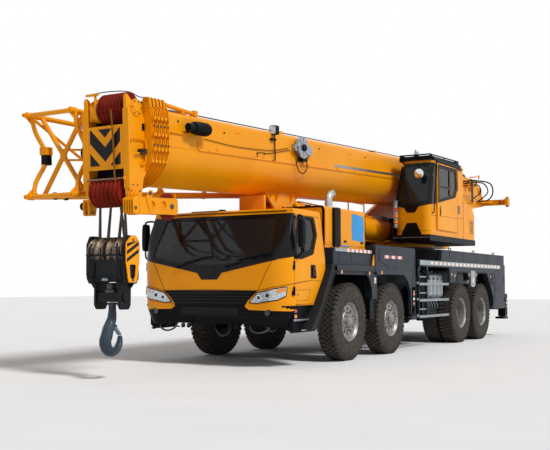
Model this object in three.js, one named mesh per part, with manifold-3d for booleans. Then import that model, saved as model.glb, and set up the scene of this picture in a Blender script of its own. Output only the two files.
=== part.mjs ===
// Four-axle truck crane with a five-section telescopic boom, in millimetres, +Z up.
// The carrier faces -Y, its left side is +X, and the tyres stand on z = 0.
// Lengths along the carrier are written from the first axle, and the whole group is
// shifted at the end so that its origin is the middle of its footprint.
import * as THREE from "three";
import { mergeVertices } from "three/addons/utils/BufferGeometryUtils.js";
import Module from "manifold-3d";

const wasm = await Module();
wasm.setup();

// ---- driving dimensions -------------------------------------------------------------
const seatGap = 0.3; // between pieces that rest on each other
const runGap = 0.5; // between a shaft, eye or pad and what it turns or slides in
const clearGap = 8; // round doors and hatches
const floorZ = 0;

const tyre = { radius: 590, width: 310, bead: 292, sides: 20 };
const axles = { first: 0, second: 1580, third: 5080, fourth: 6400 };
const frontTrack = 2300; // between the middles of the two front tyres
const rearOuterFace = 1325; // outer side of the twin tyres, from the middle
const twinGap = 45;
const kingpinX = 900;
const sideX = 1370; // half the width over the decks

const rail = {
  inner: 340,
  outer: 440,
  bottom: 830,
  top: 1080,
  front: -1500,
  dropRear: -620,
  dropBottom: 680,
};
const torsionBox = { front: 2640, rear: 8340, bottom: 880, top: 1480 };

const cab = {
  halfWidth: 1270,
  front: -1900,
  rear: -790,
  floor: 862,
  roof: 2210,
  wall: 60,
  cornerX: 980,
  cornerY: 260,
};

const fender = { ledgeBottom: 1350, ledgeTop: 1450, riserTop: 1690, rear: 720 };
const midBox = { front: 780, rear: 2480, bottom: 1380, top: 1790 };
const deck = { front: 2670, rear: 7970, slabTop: 1600, boxFront: 3830, boxTop: 1820 };
const hood = { halfWidth: 1200, front: -700, rear: 750, top: 2310, trough: 2030, wall: 40 };

const slew = { y: 4900, radius: 780, top: 1900 };
const outrigger = {
  frontY: 2310,
  rearY: 8000,
  depth: 340,
  boxEnd: 1170,
  wall: 20,
  beamHigh: 270,
  frontZ: 770,
  rearZ: 610,
};
// floatReach is how far the float stands past the sleeve; floatSide trims it beside the next beam.
const jack = {
  wide: 170,
  top: 1110,
  foot: 540,
  rodRadius: 55,
  floatReach: 60,
  floatSide: 70,
  floatThick: 50,
};

const boomFoot = { y: 7000, z: 3250 };
const boomSlope = THREE.MathUtils.degToRad(2.7); // the tip lies lower than the foot at rest
const boomTube = { halfWidth: 450, top: 560, bottom: -370, rear: 250, front: -10500, wall: 14 };
const nestStep = 32; // each section is this much smaller all round than the one outside it
const collar = { pitch: 70, thick: 40, proud: 26 };
const sectionRear = -600;
const head = { plate: 40, halfInside: 290, front: -11110 };
const upperSheave = { y: -10925, z: 545, radius: 200, x0: -120, x1: 240 };
const lowerSheave = { y: -10985, z: -465, radius: 190, x0: -230, x1: 230 };

const liftBase = { y: 4500, z: 2200 };
const liftEye = { y: -150, z: 2310 };
const barrel = { radius: 220, bore: 185, start: 200, end: 4200, eye: 110, eyeHalf: 125 };
const liftRod = { radius: 140, rear: 420, eye: 105, eyeHalf: 140 };

const sidePlate = { inner: 500, outer: 570 };
const platform = {
  bottom: 1980,
  top: 2080,
  left: 1290,
  right: 1250,
  leftFront: 3400,
  rightFront: 4100,
  rear: 6050,
};
const operator = { inner: 590, outer: 1280, front: 3560, rear: 5290, roof: 3600, wall: 50 };
const tail = { rear: 9000, halfWidth: 1200 };
const mainWinch = { y: 8050, z: 3450, drum: 200, flange: 320, half: 400 };
const auxWinch = { y: 8690, z: 3400, drum: 160, flange: 250, half: 400 };

// ---- shapes ---------------------------------------------------------------------------
function toSolid(geometry) {
  const bare = geometry.index ? geometry.toNonIndexed() : geometry.clone();
  bare.deleteAttribute("normal");
  bare.deleteAttribute("uv");
  const merged = mergeVertices(bare, 1e-3);
  const mesh = new wasm.Mesh({
    numProp: 3,
    vertProperties: merged.attributes.position.array,
    triVerts: new Uint32Array(merged.index.array),
  });
  return new wasm.Manifold(mesh);
}

function toGeometry(solid) {
  const mesh = solid.getMesh();
  const geometry = new THREE.BufferGeometry();
  geometry.setAttribute("position", new THREE.BufferAttribute(mesh.vertProperties, 3));
  geometry.setIndex(new THREE.BufferAttribute(mesh.triVerts, 1));
  geometry.computeVertexNormals();
  return geometry;
}

const join = (...solids) => solids.reduce((sum, next) => sum.add(next));
const cut = (solid, ...tools) => tools.reduce((rest, tool) => rest.subtract(tool), solid);

function box([x0, x1], [y0, y1], [z0, z1]) {
  const geometry = new THREE.BoxGeometry(x1 - x0, y1 - y0, z1 - z0);
  return toSolid(geometry.translate((x0 + x1) / 2, (y0 + y1) / 2, (z0 + z1) / 2));
}

// The same box on both sides of the middle plane.
const boxPair = ([x0, x1], y, z) => [box([x0, x1], y, z), box([-x1, -x0], y, z)];

function outlineShape(points) {
  const turn = points.reduce((sum, [u, v], i) => {
    const [nextU, nextV] = points[(i + 1) % points.length];
    return sum + u * nextV - nextU * v;
  }, 0);
  const ordered = turn < 0 ? [...points].reverse() : points;
  return new THREE.Shape(ordered.map(([u, v]) => new THREE.Vector2(u, v)));
}

const extrude = (points, depth) =>
  new THREE.ExtrudeGeometry(outlineShape(points), { depth, bevelEnabled: false });

// An outline of [y, z] points drawn out along X.
function slabX(points, x0, x1) {
  const across = new THREE.Matrix4().makeBasis(
    new THREE.Vector3(0, 1, 0),
    new THREE.Vector3(0, 0, 1),
    new THREE.Vector3(1, 0, 0),
  );
  return toSolid(extrude(points, x1 - x0).applyMatrix4(across).translate(x0, 0, 0));
}
const slabPair = (points, x0, x1) => [slabX(points, x0, x1), slabX(points, -x1, -x0)];

// An outline of [x, z] points drawn out along Y.
function slabY(points, y0, y1) {
  return toSolid(extrude(points, y1 - y0).rotateX(Math.PI / 2).translate(0, y1, 0));
}

// An outline of [x, y] points drawn out along Z.
const slabZ = (points, z0, z1) => toSolid(extrude(points, z1 - z0).translate(0, 0, z0));

// A round bar from one point to another.
function bar(from, to, radius, sides = 12) {
  const start = new THREE.Vector3(...from);
  const along = new THREE.Vector3(...to).sub(start);
  const geometry = new THREE.CylinderGeometry(radius, radius, along.length(), sides);
  geometry.translate(0, along.length() / 2, 0);
  const turn = new THREE.Quaternion().setFromUnitVectors(
    new THREE.Vector3(0, 1, 0),
    along.normalize(),
  );
  return toSolid(geometry.applyQuaternion(turn).translate(start.x, start.y, start.z));
}
const discX = (x0, x1, y, z, radius, sides = 20) =>
  bar([x0, y, z], [x1, y, z], radius, sides);

// A profile of [radius, x] points turned about the X axis, with a flat facet at the bottom.
function turnedX(profile, sides) {
  const points = profile.map(([radius, x]) => new THREE.Vector2(radius, x)).reverse();
  const geometry = new THREE.LatheGeometry(points, sides, Math.PI / sides);
  return toSolid(geometry.rotateZ(-Math.PI / 2));
}

// ---- materials ------------------------------------------------------------------------
const finish = (color, roughness, metalness = 0) =>
  new THREE.MeshStandardMaterial({ color, roughness, metalness });
const yellowPaint = finish(0xf5a21b, 0.4);
const greyPaint = finish(0x454f59, 0.5);
const blackPlastic = finish(0x14161a, 0.6);
const tyreRubber = finish(0x3a3734, 0.9);
const wheelSteel = finish(0xb4b1ac, 0.4, 0.6);
const tintedGlass = new THREE.MeshStandardMaterial({
  color: 0x1d2830,
  roughness: 0.1,
  transparent: true,
  opacity: 0.5,
});
const chromedSteel = finish(0xc9ccd0, 0.15, 1);
const galvanised = finish(0xa9b6c0, 0.5, 0.8);
const castSteel = finish(0x2b3036, 0.6, 0.4);
const seatCloth = finish(0x25272b, 0.9);

// ---- assembly -------------------------------------------------------------------------
const crane = new THREE.Group();
const carrier = new THREE.Group();
const upperWorks = new THREE.Group();
const boom = new THREE.Group();
boom.position.set(0, boomFoot.y, boomFoot.z);
boom.rotation.x = boomSlope;
upperWorks.add(boom);
crane.add(carrier, upperWorks);

function addNode(parent, name, solid, material) {
  const mesh = new THREE.Mesh(toGeometry(solid), material);
  mesh.name = name;
  parent.add(mesh);
  return mesh;
}

// A wheel or knuckle is made for the left side; the right one is its mirror image.
function sideGroup(side, y, z) {
  const group = new THREE.Group();
  group.position.set(0, y, z);
  group.scale.x = side === "left" ? 1 : -1;
  carrier.add(group);
  return group;
}

// A point of the carrier's frame as seen in the boom's tilted frame, and back.
function boomHeightAt(y, localZ) {
  const along = (y - boomFoot.y + localZ * Math.sin(boomSlope)) / Math.cos(boomSlope);
  return boomFoot.z + along * Math.sin(boomSlope) + localZ * Math.cos(boomSlope);
}

// ---- frame ------------------------------------------------------------------------------
const lane = (outrigger.depth - 3 * outrigger.wall) / 2;
function laneY(boxY, side) {
  const start = boxY + outrigger.wall + (side === "left" ? 0 : lane + outrigger.wall);
  return [start, start + lane];
}

function outriggerBox(boxY, z) {
  const outer = box(
    [-outrigger.boxEnd, outrigger.boxEnd],
    [boxY, boxY + outrigger.depth],
    [z - outrigger.wall, z + outrigger.beamHigh + outrigger.wall],
  );
  return outer;
}

function makeFrame() {
  // The rails drop below the cab floor ahead of the first axle.
  const width = [rail.inner, rail.outer];
  const dropZ = [rail.dropBottom, cab.floor - seatGap];
  const rails = [
    ...boxPair(width, [cab.rear + 5, torsionBox.front + 60], [rail.bottom, rail.top]),
    ...boxPair(width, [rail.front, rail.dropRear], dropZ),
  ];
  const ties = [820, 2200].map((y) =>
    box([-rail.outer, rail.outer], [y, y + 100], [rail.bottom, rail.top]),
  );
  ties.push(box([-rail.outer, rail.outer], [rail.front, rail.front + 100], dropZ));
  const { front, rear, bottom, top } = torsionBox;
  const back = slabX(
    [
      [front, bottom],
      [front, top],
      [deck.rear, top],
      [rear, 1000],
      [rear, bottom],
    ],
    -rail.outer,
    rail.outer,
  );
  const tanks = [
    outriggerBox(outrigger.frontY, outrigger.frontZ),
    outriggerBox(outrigger.rearY, outrigger.rearZ),
  ];
  const bores = [];
  for (const [boxY, z] of [
    [outrigger.frontY, outrigger.frontZ],
    [outrigger.rearY, outrigger.rearZ],
  ])
    for (const side of ["left", "right"])
      bores.push(
        box(
          [-outrigger.boxEnd - 200, outrigger.boxEnd + 200],
          laneY(boxY, side),
          [z, z + outrigger.beamHigh],
        ),
      );
  return cut(join(...rails, ...ties, back, ...tanks), ...bores);
}
addNode(carrier, "frame", makeFrame(), greyPaint);

addNode(
  carrier,
  "slew_ring",
  bar([0, slew.y, torsionBox.top + seatGap], [0, slew.y, slew.top], slew.radius, 32),
  castSteel,
);

function makeBoomRest() {
  const y = [cab.rear + 15, hood.front - 15];
  const top = boomHeightAt(y[0], boomTube.bottom) - 6;
  const beamTop = cab.roof - 60;
  const legs = boxPair([rail.inner, rail.outer], y, [rail.top + seatGap, beamTop - 90]);
  const beam = box([-rail.outer, rail.outer], y, [beamTop - 100, beamTop]);
  return join(...legs, beam, box([-220, 220], y, [beamTop - 10, top]));
}
addNode(carrier, "boom_rest", makeBoomRest(), yellowPaint);

// ---- axles, knuckles and wheels ---------------------------------------------------------
const axleZ = tyre.radius;
const facetRadius = tyre.radius / Math.cos(Math.PI / tyre.sides);
const grow = facetRadius / tyre.radius;
const discX0 = frontTrack / 2 + 50; // inner face of a front wheel's disc

function makeSteerAxle(y) {
  const beam = box([-kingpinX, kingpinX], [y - 65, y + 65], [axleZ - 80, axleZ + 60]);
  const pins = [1, -1].map((side) =>
    bar([side * kingpinX, y, axleZ - 110], [side * kingpinX, y, axleZ + 110], 60),
  );
  const springs = [];
  for (const side of [1, -1]) {
    const x = [side * rail.inner, side * rail.outer].sort((a, b) => a - b);
    const leaf = [
      [y - 560, rail.bottom - seatGap],
      [y - 560, rail.bottom - 70],
      [y - 80, axleZ + 50],
      [y + 80, axleZ + 50],
      [y + 560, rail.bottom - 70],
      [y + 560, rail.bottom - seatGap],
      [y + 500, rail.bottom - seatGap],
      [y + 80, axleZ + 130],
      [y - 80, axleZ + 130],
      [y - 500, rail.bottom - seatGap],
    ];
    springs.push(slabX(leaf, x[0] + 5, x[1] - 5));
  }
  return join(beam, ...pins, ...springs);
}
addNode(carrier, "axle_1", makeSteerAxle(axles.first), greyPaint);
addNode(carrier, "axle_2", makeSteerAxle(axles.second), greyPaint);

function makeKnuckle() {
  const ears = [
    bar([kingpinX, 0, 110 + runGap], [kingpinX, 0, 155], 70),
    bar([kingpinX, 0, -155], [kingpinX, 0, -110 - runGap], 70),
  ];
  const web = box([kingpinX + 66, kingpinX + 110], [-70, 70], [-155, 155]);
  const drum = discX(kingpinX + 108, discX0 - 30, 0, 0, 200, 16);
  const spindle = discX(kingpinX + 108, discX0 - runGap, 0, 0, 60, 12);
  return join(...ears, web, drum, spindle);
}

function makeTyre() {
  const half = tyre.width / 2;
  const profile = [
    [tyre.bead, -half + 25],
    [tyre.bead, half - 25],
    [400, half],
    [530, half - 8],
    [tyre.radius, half - 45],
    [tyre.radius, -half + 45],
    [530, -half + 8],
    [400, -half],
    [tyre.bead, -half + 25],
  ];
  return turnedX(
    profile.map(([r, x]) => [r * grow, x + frontTrack / 2]),
    tyre.sides,
  );
}

function makeFrontRim() {
  const seat = tyre.bead - seatGap;
  const profile = [
    [0, 50],
    [0, 150],
    [80, 150],
    [95, 85],
    [235, 85],
    [258, 128],
    [seat, 130],
    [seat, -128],
    [262, -126],
    [262, 50],
    [0, 50],
  ];
  return turnedX(
    profile.map(([r, x]) => [r * grow, x + frontTrack / 2]),
    tyre.sides,
  );
}

function makeTwinWheel() {
  const wide = (rearOuterFace - 700 - twinGap) / 2;
  const tread = (start) => [
    [520, start],
    [tyre.radius, start - 40],
    [tyre.radius, start - wide + 40],
    [520, start - wide],
  ];
  const innerStart = -wide - twinGap;
  const profile = [
    [0, -120],
    [105, -120],
    [150, -285],
    [262, -285],
    [262, -35],
    [tyre.bead, -20],
    ...tread(0),
    [330, -wide - twinGap / 2],
    ...tread(innerStart),
    [262, innerStart - wide + 20],
    [262, -330],
    [0, -330],
  ];
  return turnedX(
    profile.map(([r, x]) => [r * grow, x + rearOuterFace]),
    tyre.sides,
  );
}

for (const side of ["left", "right"]) {
  for (const [number, y] of [
    [1, axles.first],
    [2, axles.second],
  ]) {
    const corner = sideGroup(side, y, axleZ);
    addNode(corner, `knuckle_${number}_${side}`, makeKnuckle(), greyPaint);
    addNode(corner, `tyre_${number}_${side}`, makeTyre(), tyreRubber);
    addNode(corner, `rim_${number}_${side}`, makeFrontRim(), wheelSteel);
  }
  for (const [number, y] of [
    [3, axles.third],
    [4, axles.fourth],
  ])
    addNode(sideGroup(side, y, axleZ), `twin_wheel_${number}_${side}`, makeTwinWheel(), tyreRubber);
}

function makeRearBogie() {
  const hubFace = rearOuterFace - 330 - runGap;
  const pieces = [];
  for (const y of [axles.third, axles.fourth]) {
    pieces.push(discX(-hubFace, hubFace, y, axleZ, 90, 8));
    pieces.push(discX(-150, 150, y, axleZ, 230, 12));
    for (const side of [1, -1])
      pieces.push(discX(side * 740, side * (hubFace - 15), y, axleZ, 200, 16));
  }
  const middle = (axles.third + axles.fourth) / 2;
  const spring = [
    [axles.third - 120, axleZ + 40],
    [axles.third - 120, axleZ + 120],
    [middle - 130, torsionBox.bottom - seatGap],
    [middle + 130, torsionBox.bottom - seatGap],
    [axles.fourth + 120, axleZ + 120],
    [axles.fourth + 120, axleZ + 40],
    [middle + 120, axleZ + 60],
    [middle - 120, axleZ + 60],
  ];
  return join(...pieces, ...slabPair(spring, 330, rail.outer - 10));
}
addNode(carrier, "rear_bogie", makeRearBogie(), greyPaint);

// ---- driver's cab -------------------------------------------------------------------------
// Seen from above the front bows a little and turns the corners in two facets a side.
function cabPlan(inset) {
  const half = cab.halfWidth - inset;
  const front = cab.front + inset;
  const corner = cab.cornerX - inset / 2;
  const side = [
    [half, cab.rear - inset],
    [half, front + cab.cornerY],
    [half - 60, front + 120],
    [corner, front + 20],
    [0, front],
  ];
  const mirrored = side.slice(0, -1).reverse().map(([x, y]) => [-x, y]);
  return [...side, ...mirrored];
}

function cabSide(inset) {
  const front = cab.front + inset - 40;
  return [
    [front, cab.floor + inset],
    [front, 1430],
    [front + 360, cab.roof - inset],
    [cab.rear - inset, cab.roof - inset],
    [cab.rear - inset, 1370],
    [cab.rear - inset - 310, cab.floor + inset],
  ];
}

// The sides lean inwards a little above the door's waist.
function cabFace(inset) {
  const half = cab.halfWidth - inset;
  const side = [
    [half - 30, cab.floor - 5 + inset],
    [half, 1250],
    [half, 1500],
    [half - 90, cab.roof + 5 - inset],
  ];
  const mirrored = [...side].reverse().map(([x, z]) => [-x, z]);
  return [...side, ...mirrored];
}

function cabBody(inset) {
  const plan = slabZ(cabPlan(inset), cab.floor + inset, cab.roof - inset);
  const side = slabX(cabSide(inset), -1500, 1500);
  const face = slabY(cabFace(inset), cab.front - 100, cab.rear + 10);
  return plan.intersect(side).intersect(face);
}

const doorFront = -1700;
const mirror = { y: -1640, bottom: 1650, top: 2060 };
const doorHinge = { x: 1268, y: -1700, radius: 12, heights: [1000, 1350], knuckle: 60 };
const doorOutline = (gap) => [
  [doorFront + gap, 872 + gap],
  [doorFront + gap, 1480],
  [doorFront + 190 + gap, 2120 - gap],
  [cab.rear - 75 - gap, 2120 - gap],
  [cab.rear - 30 - gap, 1900],
  [cab.rear - 30 - gap, 1385],
  [cab.rear - 330 - gap, 872 + gap],
];
const doorWindow = [
  [doorFront + 55, 1560],
  [doorFront + 215, 2070],
  [-1110, 2070],
  [-1075, 1850],
  [-1220, 1640],
];
const windscreenOutline = (gap) => {
  const side = [
    [1030 - gap, 2130 - gap],
    [1075 - gap, 1490 + gap],
    [205 - gap, 1320 + gap],
    [130 - gap, 1225 + gap],
  ];
  return [...side, ...[...side].reverse().map(([x, z]) => [-x, z])];
};

const cabWallSolid = cut(cabBody(0), cabBody(cab.wall));

// All that lies between the two side walls, for cutting a door out of its side wall alone.
function betweenSides(inset) {
  const half = cab.halfWidth - inset;
  const side = [
    [half - 30, cab.floor - 100],
    [half, 1250],
    [half, 1500],
    [half - 90, cab.roof + 100],
  ];
  const mirrored = [...side].reverse().map(([x, z]) => [-x, z]);
  return slabY([...side, ...mirrored], cab.front - 100, cab.rear + 100);
}

function makeCabShell() {
  const screenCut = slabY(windscreenOutline(0), cab.front - 200, -1300);
  const doorCuts = slabPair(doorOutline(0), 900, 1500).map((slab) => cut(slab, betweenSides(cab.wall)));
  const knuckles = [1, -1].flatMap((side) => makeKnuckles(side, false));
  return join(cut(cabWallSolid, screenCut, ...doorCuts), ...knuckles);
}

// Hinge knuckles: the shell's stand under the door's, on one axis.
function makeKnuckles(side, onDoor) {
  const { x, y, radius, heights, knuckle } = doorHinge;
  return heights.map((z) => {
    const bottom = onDoor ? z + knuckle + runGap : z;
    const high = [bottom, bottom + knuckle];
    const leafX = [side * (x - 43), side * x].sort((a, b) => a - b);
    const leafY = onDoor ? [y + 4, y + 20] : [y - 16, y - 2];
    const barrelOf = bar([side * x, y, high[0]], [side * x, y, high[1]], radius, 10);
    return join(barrelOf, box(leafX, leafY, high));
  });
}

// The mirror stands off the front edge of the door on two arms.
function makeMirror(side) {
  const x = [side * 1300, side * 1390].sort((a, b) => a - b);
  const arms = [
    bar([side * 1200, mirror.y + 160, 2091], [side * 1340, mirror.y, mirror.top - 30], 16, 8),
    bar([side * 1245, mirror.y, 1525], [side * 1340, mirror.y, mirror.bottom + 30], 16, 8),
  ];
  const y = [mirror.y - 55, mirror.y + 55];
  return join(...arms, box(x, y, [mirror.bottom, mirror.top]));
}

function makeDoor(side) {
  const [x0, x1] = side > 0 ? [900, 1500] : [-1500, -900];
  const skin = cut(cabBody(0), betweenSides(cab.wall - clearGap));
  const panel = skin.intersect(slabX(doorOutline(clearGap), x0, x1));
  const fittings = [makeMirror(side), ...makeKnuckles(side, true)];
  return join(cut(panel, slabX(doorWindow, x0, x1)), ...fittings);
}

function makeWindscreen() {
  const skin = cut(cabBody(12), cabBody(36));
  return skin.intersect(slabY(windscreenOutline(seatGap), cab.front - 200, -1380));
}

function makeCabInterior() {
  const floorTop = cab.floor + cab.wall;
  const parts = [box([-1150, 1150], [-1640, -1170], [floorTop + seatGap, floorTop + 60])];
  const dash = [
    [-1745, 1150],
    [-1745, 1330],
    [-1620, 1380],
    [-1520, 1260],
    [-1560, floorTop + 20],
    [-1640, floorTop + 20],
  ];
  parts.push(slabX(dash, -1020, 1020));
  for (const side of [1, -1]) {
    const x = [side * 400, side * 900].sort((a, b) => a - b);
    parts.push(box([x[0] + 60, x[1] - 60], [-1350, -1180], [floorTop + 30, 1250]));
    parts.push(box(x, [-1420, -960], [1230, 1370]));
    parts.push(slabX([[-1010, 1300], [-920, 1300], [-870, 1950], [-950, 1960]], x[0], x[1]));
  }
  parts.push(bar([650, -1600, 1300], [650, -1470, 1530], 30, 8));
  parts.push(bar([650, -1485, 1500], [650, -1470, 1527], 225, 20));
  return join(...parts);
}

addNode(carrier, "cab_shell", makeCabShell(), yellowPaint);
addNode(carrier, "windscreen", makeWindscreen(), tintedGlass);
addNode(carrier, "cab_interior", makeCabInterior(), seatCloth);
addNode(carrier, "door_left", makeDoor(1), yellowPaint);
addNode(carrier, "door_right", makeDoor(-1), yellowPaint);

function makeFrontBumper() {
  const plan = [
    [1150, rail.front - seatGap],
    [1150, -1690],
    [1080, -1810],
    [900, cab.front + 30],
  ];
  const mirrored = [...plan].reverse().map(([x, y]) => [-x, y]);
  const nose = slabZ([...plan, ...mirrored], 570, 850);
  const skirt = [
    [cab.front + 200, 500],
    [-1430, 500],
    [-1115, 850],
    [cab.front + 100, 850],
  ];
  return join(nose, ...slabPair(skirt, 1090, 1225));
}
addNode(carrier, "front_bumper", makeFrontBumper(), blackPlastic);

// ---- engine and its hood ----------------------------------------------------------------
function makeEngine() {
  const block = box([-320, 320], [-620, 700], [770, 1640]);
  const feet = [-420, 420].map((y) =>
    box([-rail.inner + seatGap, rail.inner - seatGap], [y, y + 120], [900, 1000]),
  );
  return join(block, ...feet);
}
addNode(carrier, "engine_block", makeEngine(), castSteel);

function makeEngineHood() {
  const outline = (inset, bottom) => {
    const side = [
      [hood.halfWidth - inset, bottom],
      [hood.halfWidth - inset, hood.top - inset],
      [560 + inset, hood.top - inset],
      [500 + inset, hood.trough - inset],
    ];
    return [...side, ...[...side].reverse().map(([x, z]) => [-x, z])];
  };
  const foot = fender.riserTop + seatGap;
  const outer = slabY(outline(0, foot), hood.front, hood.rear);
  const inner = slabY(
    outline(hood.wall, foot - 50),
    hood.front + hood.wall,
    hood.rear - hood.wall,
  );
  const exhaust = [
    bar([1050, -250, hood.top - 20], [1050, -250, 2420], 62, 12),
    bar([1050, -250, 2400], [1050, -150, 2480], 62, 12),
  ];
  return join(cut(outer, inner), ...exhaust);
}
addNode(carrier, "engine_hood", makeEngineHood(), yellowPaint);

// ---- decks --------------------------------------------------------------------------------
function makeFrontDeck() {
  const { front, rear, bottom, top } = midBox;
  const wing = 450; // inner edge of the fender platforms
  const middle = box([-sideX + 10, sideX - 10], [front, rear], [bottom, top]);
  const skirts = boxPair([1300, sideX - 10], [2300, rear], [jack.top + 15, bottom + 10]);
  const feet = [front + 20, rear - 150].map((y) =>
    box([-rail.outer, rail.outer], [y, y + 80], [rail.top + seatGap, bottom + 10]),
  );
  const ledges = boxPair([wing, sideX - 10], [-640, front + 10], [fender.ledgeBottom, fender.ledgeTop]);
  const risers = boxPair([wing, 1320], [-640, fender.rear], [fender.ledgeTop - 10, fender.riserTop]);
  const arch = [
    [-755, fender.ledgeTop],
    [-600, fender.ledgeTop],
    [-560, fender.ledgeBottom],
    [-640, 1290],
    [-1180, 520],
    [-1395, 520],
    [-1075, 860],
    [-755, 1375],
  ];
  return join(middle, ...skirts, ...feet, ...ledges, ...risers, ...slabPair(arch, 1100, sideX - 10));
}
addNode(carrier, "front_deck", makeFrontDeck(), greyPaint);

function makeRearDeck() {
  const slab = box([-sideX, sideX], [deck.front, deck.rear], [torsionBox.top + seatGap, deck.slabTop]);
  const upper = slabX(
    [
      [deck.boxFront, deck.slabTop - 10],
      [deck.boxFront + 60, deck.boxTop],
      [deck.rear, deck.boxTop],
      [deck.rear, deck.slabTop - 10],
    ],
    -sideX + 20,
    sideX - 20,
  );
  const wall = [
    [4250, 1490],
    [4250, 1200],
    [4520, 1200],
    [4620, 1280],
    [4700, 1420],
    [5310, 1420],
    [5400, 1280],
    [5880, 1280],
    [5960, 1420],
    [6620, 1420],
    [6760, 1280],
    [7070, 900],
    [7070, 620],
    [deck.rear, 620],
    [deck.rear, 1490],
  ];
  const lockers = boxPair([900, sideX - 5], [7070, deck.rear], [620, 1490]);
  const ringHole = bar([0, slew.y, 1400], [0, slew.y, 1900], slew.radius + 20, 32);
  return cut(join(slab, upper, ...slabPair(wall, 1310, sideX), ...lockers), ringHole);
}
addNode(carrier, "rear_deck", makeRearDeck(), greyPaint);

function makeFuelTank() {
  const shape = [];
  const centre = [1100, 1130];
  for (let i = 0; i < 16; i += 1) {
    const angle = (i / 16) * 2 * Math.PI;
    shape.push([centre[0] + 175 * Math.cos(angle), centre[1] + 250 * Math.sin(angle)]);
  }
  const tank = slabY(shape, 3300, 4130);
  const brackets = [3420, 3920].map((y) =>
    box([rail.outer + seatGap, 1000], [y, y + 70], [900, 1000]),
  );
  return join(tank, ...brackets);
}
addNode(carrier, "fuel_tank", makeFuelTank(), galvanised);

function makeLadder() {
  const top = torsionBox.top + seatGap - runGap;
  const stiles = [2690, 3080].map((y) => box([1300, 1360], [y, y + 40], [540, top]));
  const treads = [1140, 850, 560].map((z) => box([1290, sideX], [2680, 4200], [z, z + 45]));
  return join(...stiles, ...treads);
}
addNode(carrier, "access_ladder", makeLadder(), galvanised);

// ---- outriggers -----------------------------------------------------------------------------
function makeOutrigger(place, side) {
  const boxY = place === "front" ? outrigger.frontY : outrigger.rearY;
  const z = place === "front" ? outrigger.frontZ : outrigger.rearZ;
  const [y0, y1] = laneY(boxY, side);
  const middle = (y0 + y1) / 2;
  const half = jack.wide / 2;
  const shift = z - outrigger.frontZ; // the rear jacks hang lower with their box
  const sleeveX = [sideX - 10 - jack.wide, sideX - 10];
  const sleeveZ = [jack.foot + 60 + shift, jack.top + shift];
  const centreX = (sleeveX[0] + sleeveX[1]) / 2;
  const beam = box(
    [-outrigger.boxEnd + 10, sleeveX[0] + 20],
    [y0 + runGap, y1 - runGap],
    [z + runGap, z + outrigger.beamHigh - runGap],
  );
  const sleeve = box(sleeveX, [middle - half, middle + half], sleeveZ);
  const bore = bar(
    [centreX, middle, sleeveZ[0] - 50],
    [centreX, middle, sleeveZ[1] - 30],
    jack.rodRadius + runGap,
    16,
  );
  const group = sideGroup(side, 0, 0);
  const name = `${place}_${side}`;
  addNode(group, `outrigger_beam_${name}`, cut(join(beam, sleeve), bore), greyPaint);
  const floatTop = sleeveZ[0] - 10;
  const rod = bar([centreX, middle, floatTop - 20], [centreX, middle, sleeveZ[1] - 40], jack.rodRadius, 16);
  const foot = bar(
    [centreX, middle, floatTop - jack.floatThick],
    [centreX, middle, floatTop],
    half + jack.floatReach,
    16,
  );
  const trim = box(
    [centreX - 200, sideX],
    [middle - half - jack.floatSide, middle + half + jack.floatSide],
    [floatTop - jack.floatThick - 5, floatTop + 5],
  );
  addNode(group, `outrigger_jack_${name}`, join(rod, foot.intersect(trim)), chromedSteel);
}
for (const place of ["front", "rear"])
  for (const side of ["left", "right"]) makeOutrigger(place, side);

// ---- turntable --------------------------------------------------------------------------------
function makeTurntable() {
  const ringDisc = bar([0, slew.y, slew.top + runGap], [0, slew.y, 1960], slew.radius - 10, 32);
  const floor = box([-sidePlate.outer, sidePlate.outer], [4700, 6350], [1930, 2010]);
  const height = [platform.bottom, platform.top];
  const leftWing = box(
    [sidePlate.inner, platform.left],
    [platform.leftFront, platform.rear],
    height,
  );
  const rightWing = box(
    [-platform.right, -sidePlate.inner],
    [platform.rightFront, platform.rear],
    height,
  );
  const cheek = [
    [3800, platform.bottom],
    [3950, 2350],
    [6450, 3480],
    [7200, 3640],
    [8450, 3640],
    [tail.rear, 3240],
    [tail.rear, 3060],
    [7700, 2880],
    [6450, 1935],
    [4700, 1935],
  ];
  const cheeks = slabPair(cheek, sidePlate.inner, sidePlate.outer);
  const beam = box([-tail.halfWidth, tail.halfWidth], [tail.rear - 130, tail.rear], [3070, 3200]);
  const ears = boxPair([barrel.eyeHalf + runGap, 180], [4360, 4640], [1940, 2330]);
  const cover = slabX([[5350, 2070], [5350, 2850], [5900, 2780], [6040, 2600], [6040, 2070]], 600, 1285);
  const rearStep = box([-1240, -560], [4300, 6000], [platform.top - 10, platform.top + 120]);
  return join(ringDisc, floor, leftWing, rightWing, ...cheeks, beam, ...ears, cover, rearStep);
}
addNode(upperWorks, "turntable", makeTurntable(), yellowPaint);

function makeWinch(winch) {
  const drum = discX(-winch.half, winch.half, winch.y, winch.z, winch.drum, 20);
  const flanges = [-1, 1].map((side) =>
    discX(side * (winch.half - 30), side * winch.half, winch.y, winch.z, winch.flange, 20),
  );
  const reach = sidePlate.inner - runGap;
  return join(drum, ...flanges, discX(-reach, reach, winch.y, winch.z, 60, 12));
}
addNode(upperWorks, "main_winch", makeWinch(mainWinch), castSteel);
addNode(upperWorks, "aux_winch", makeWinch(auxWinch), castSteel);

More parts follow.
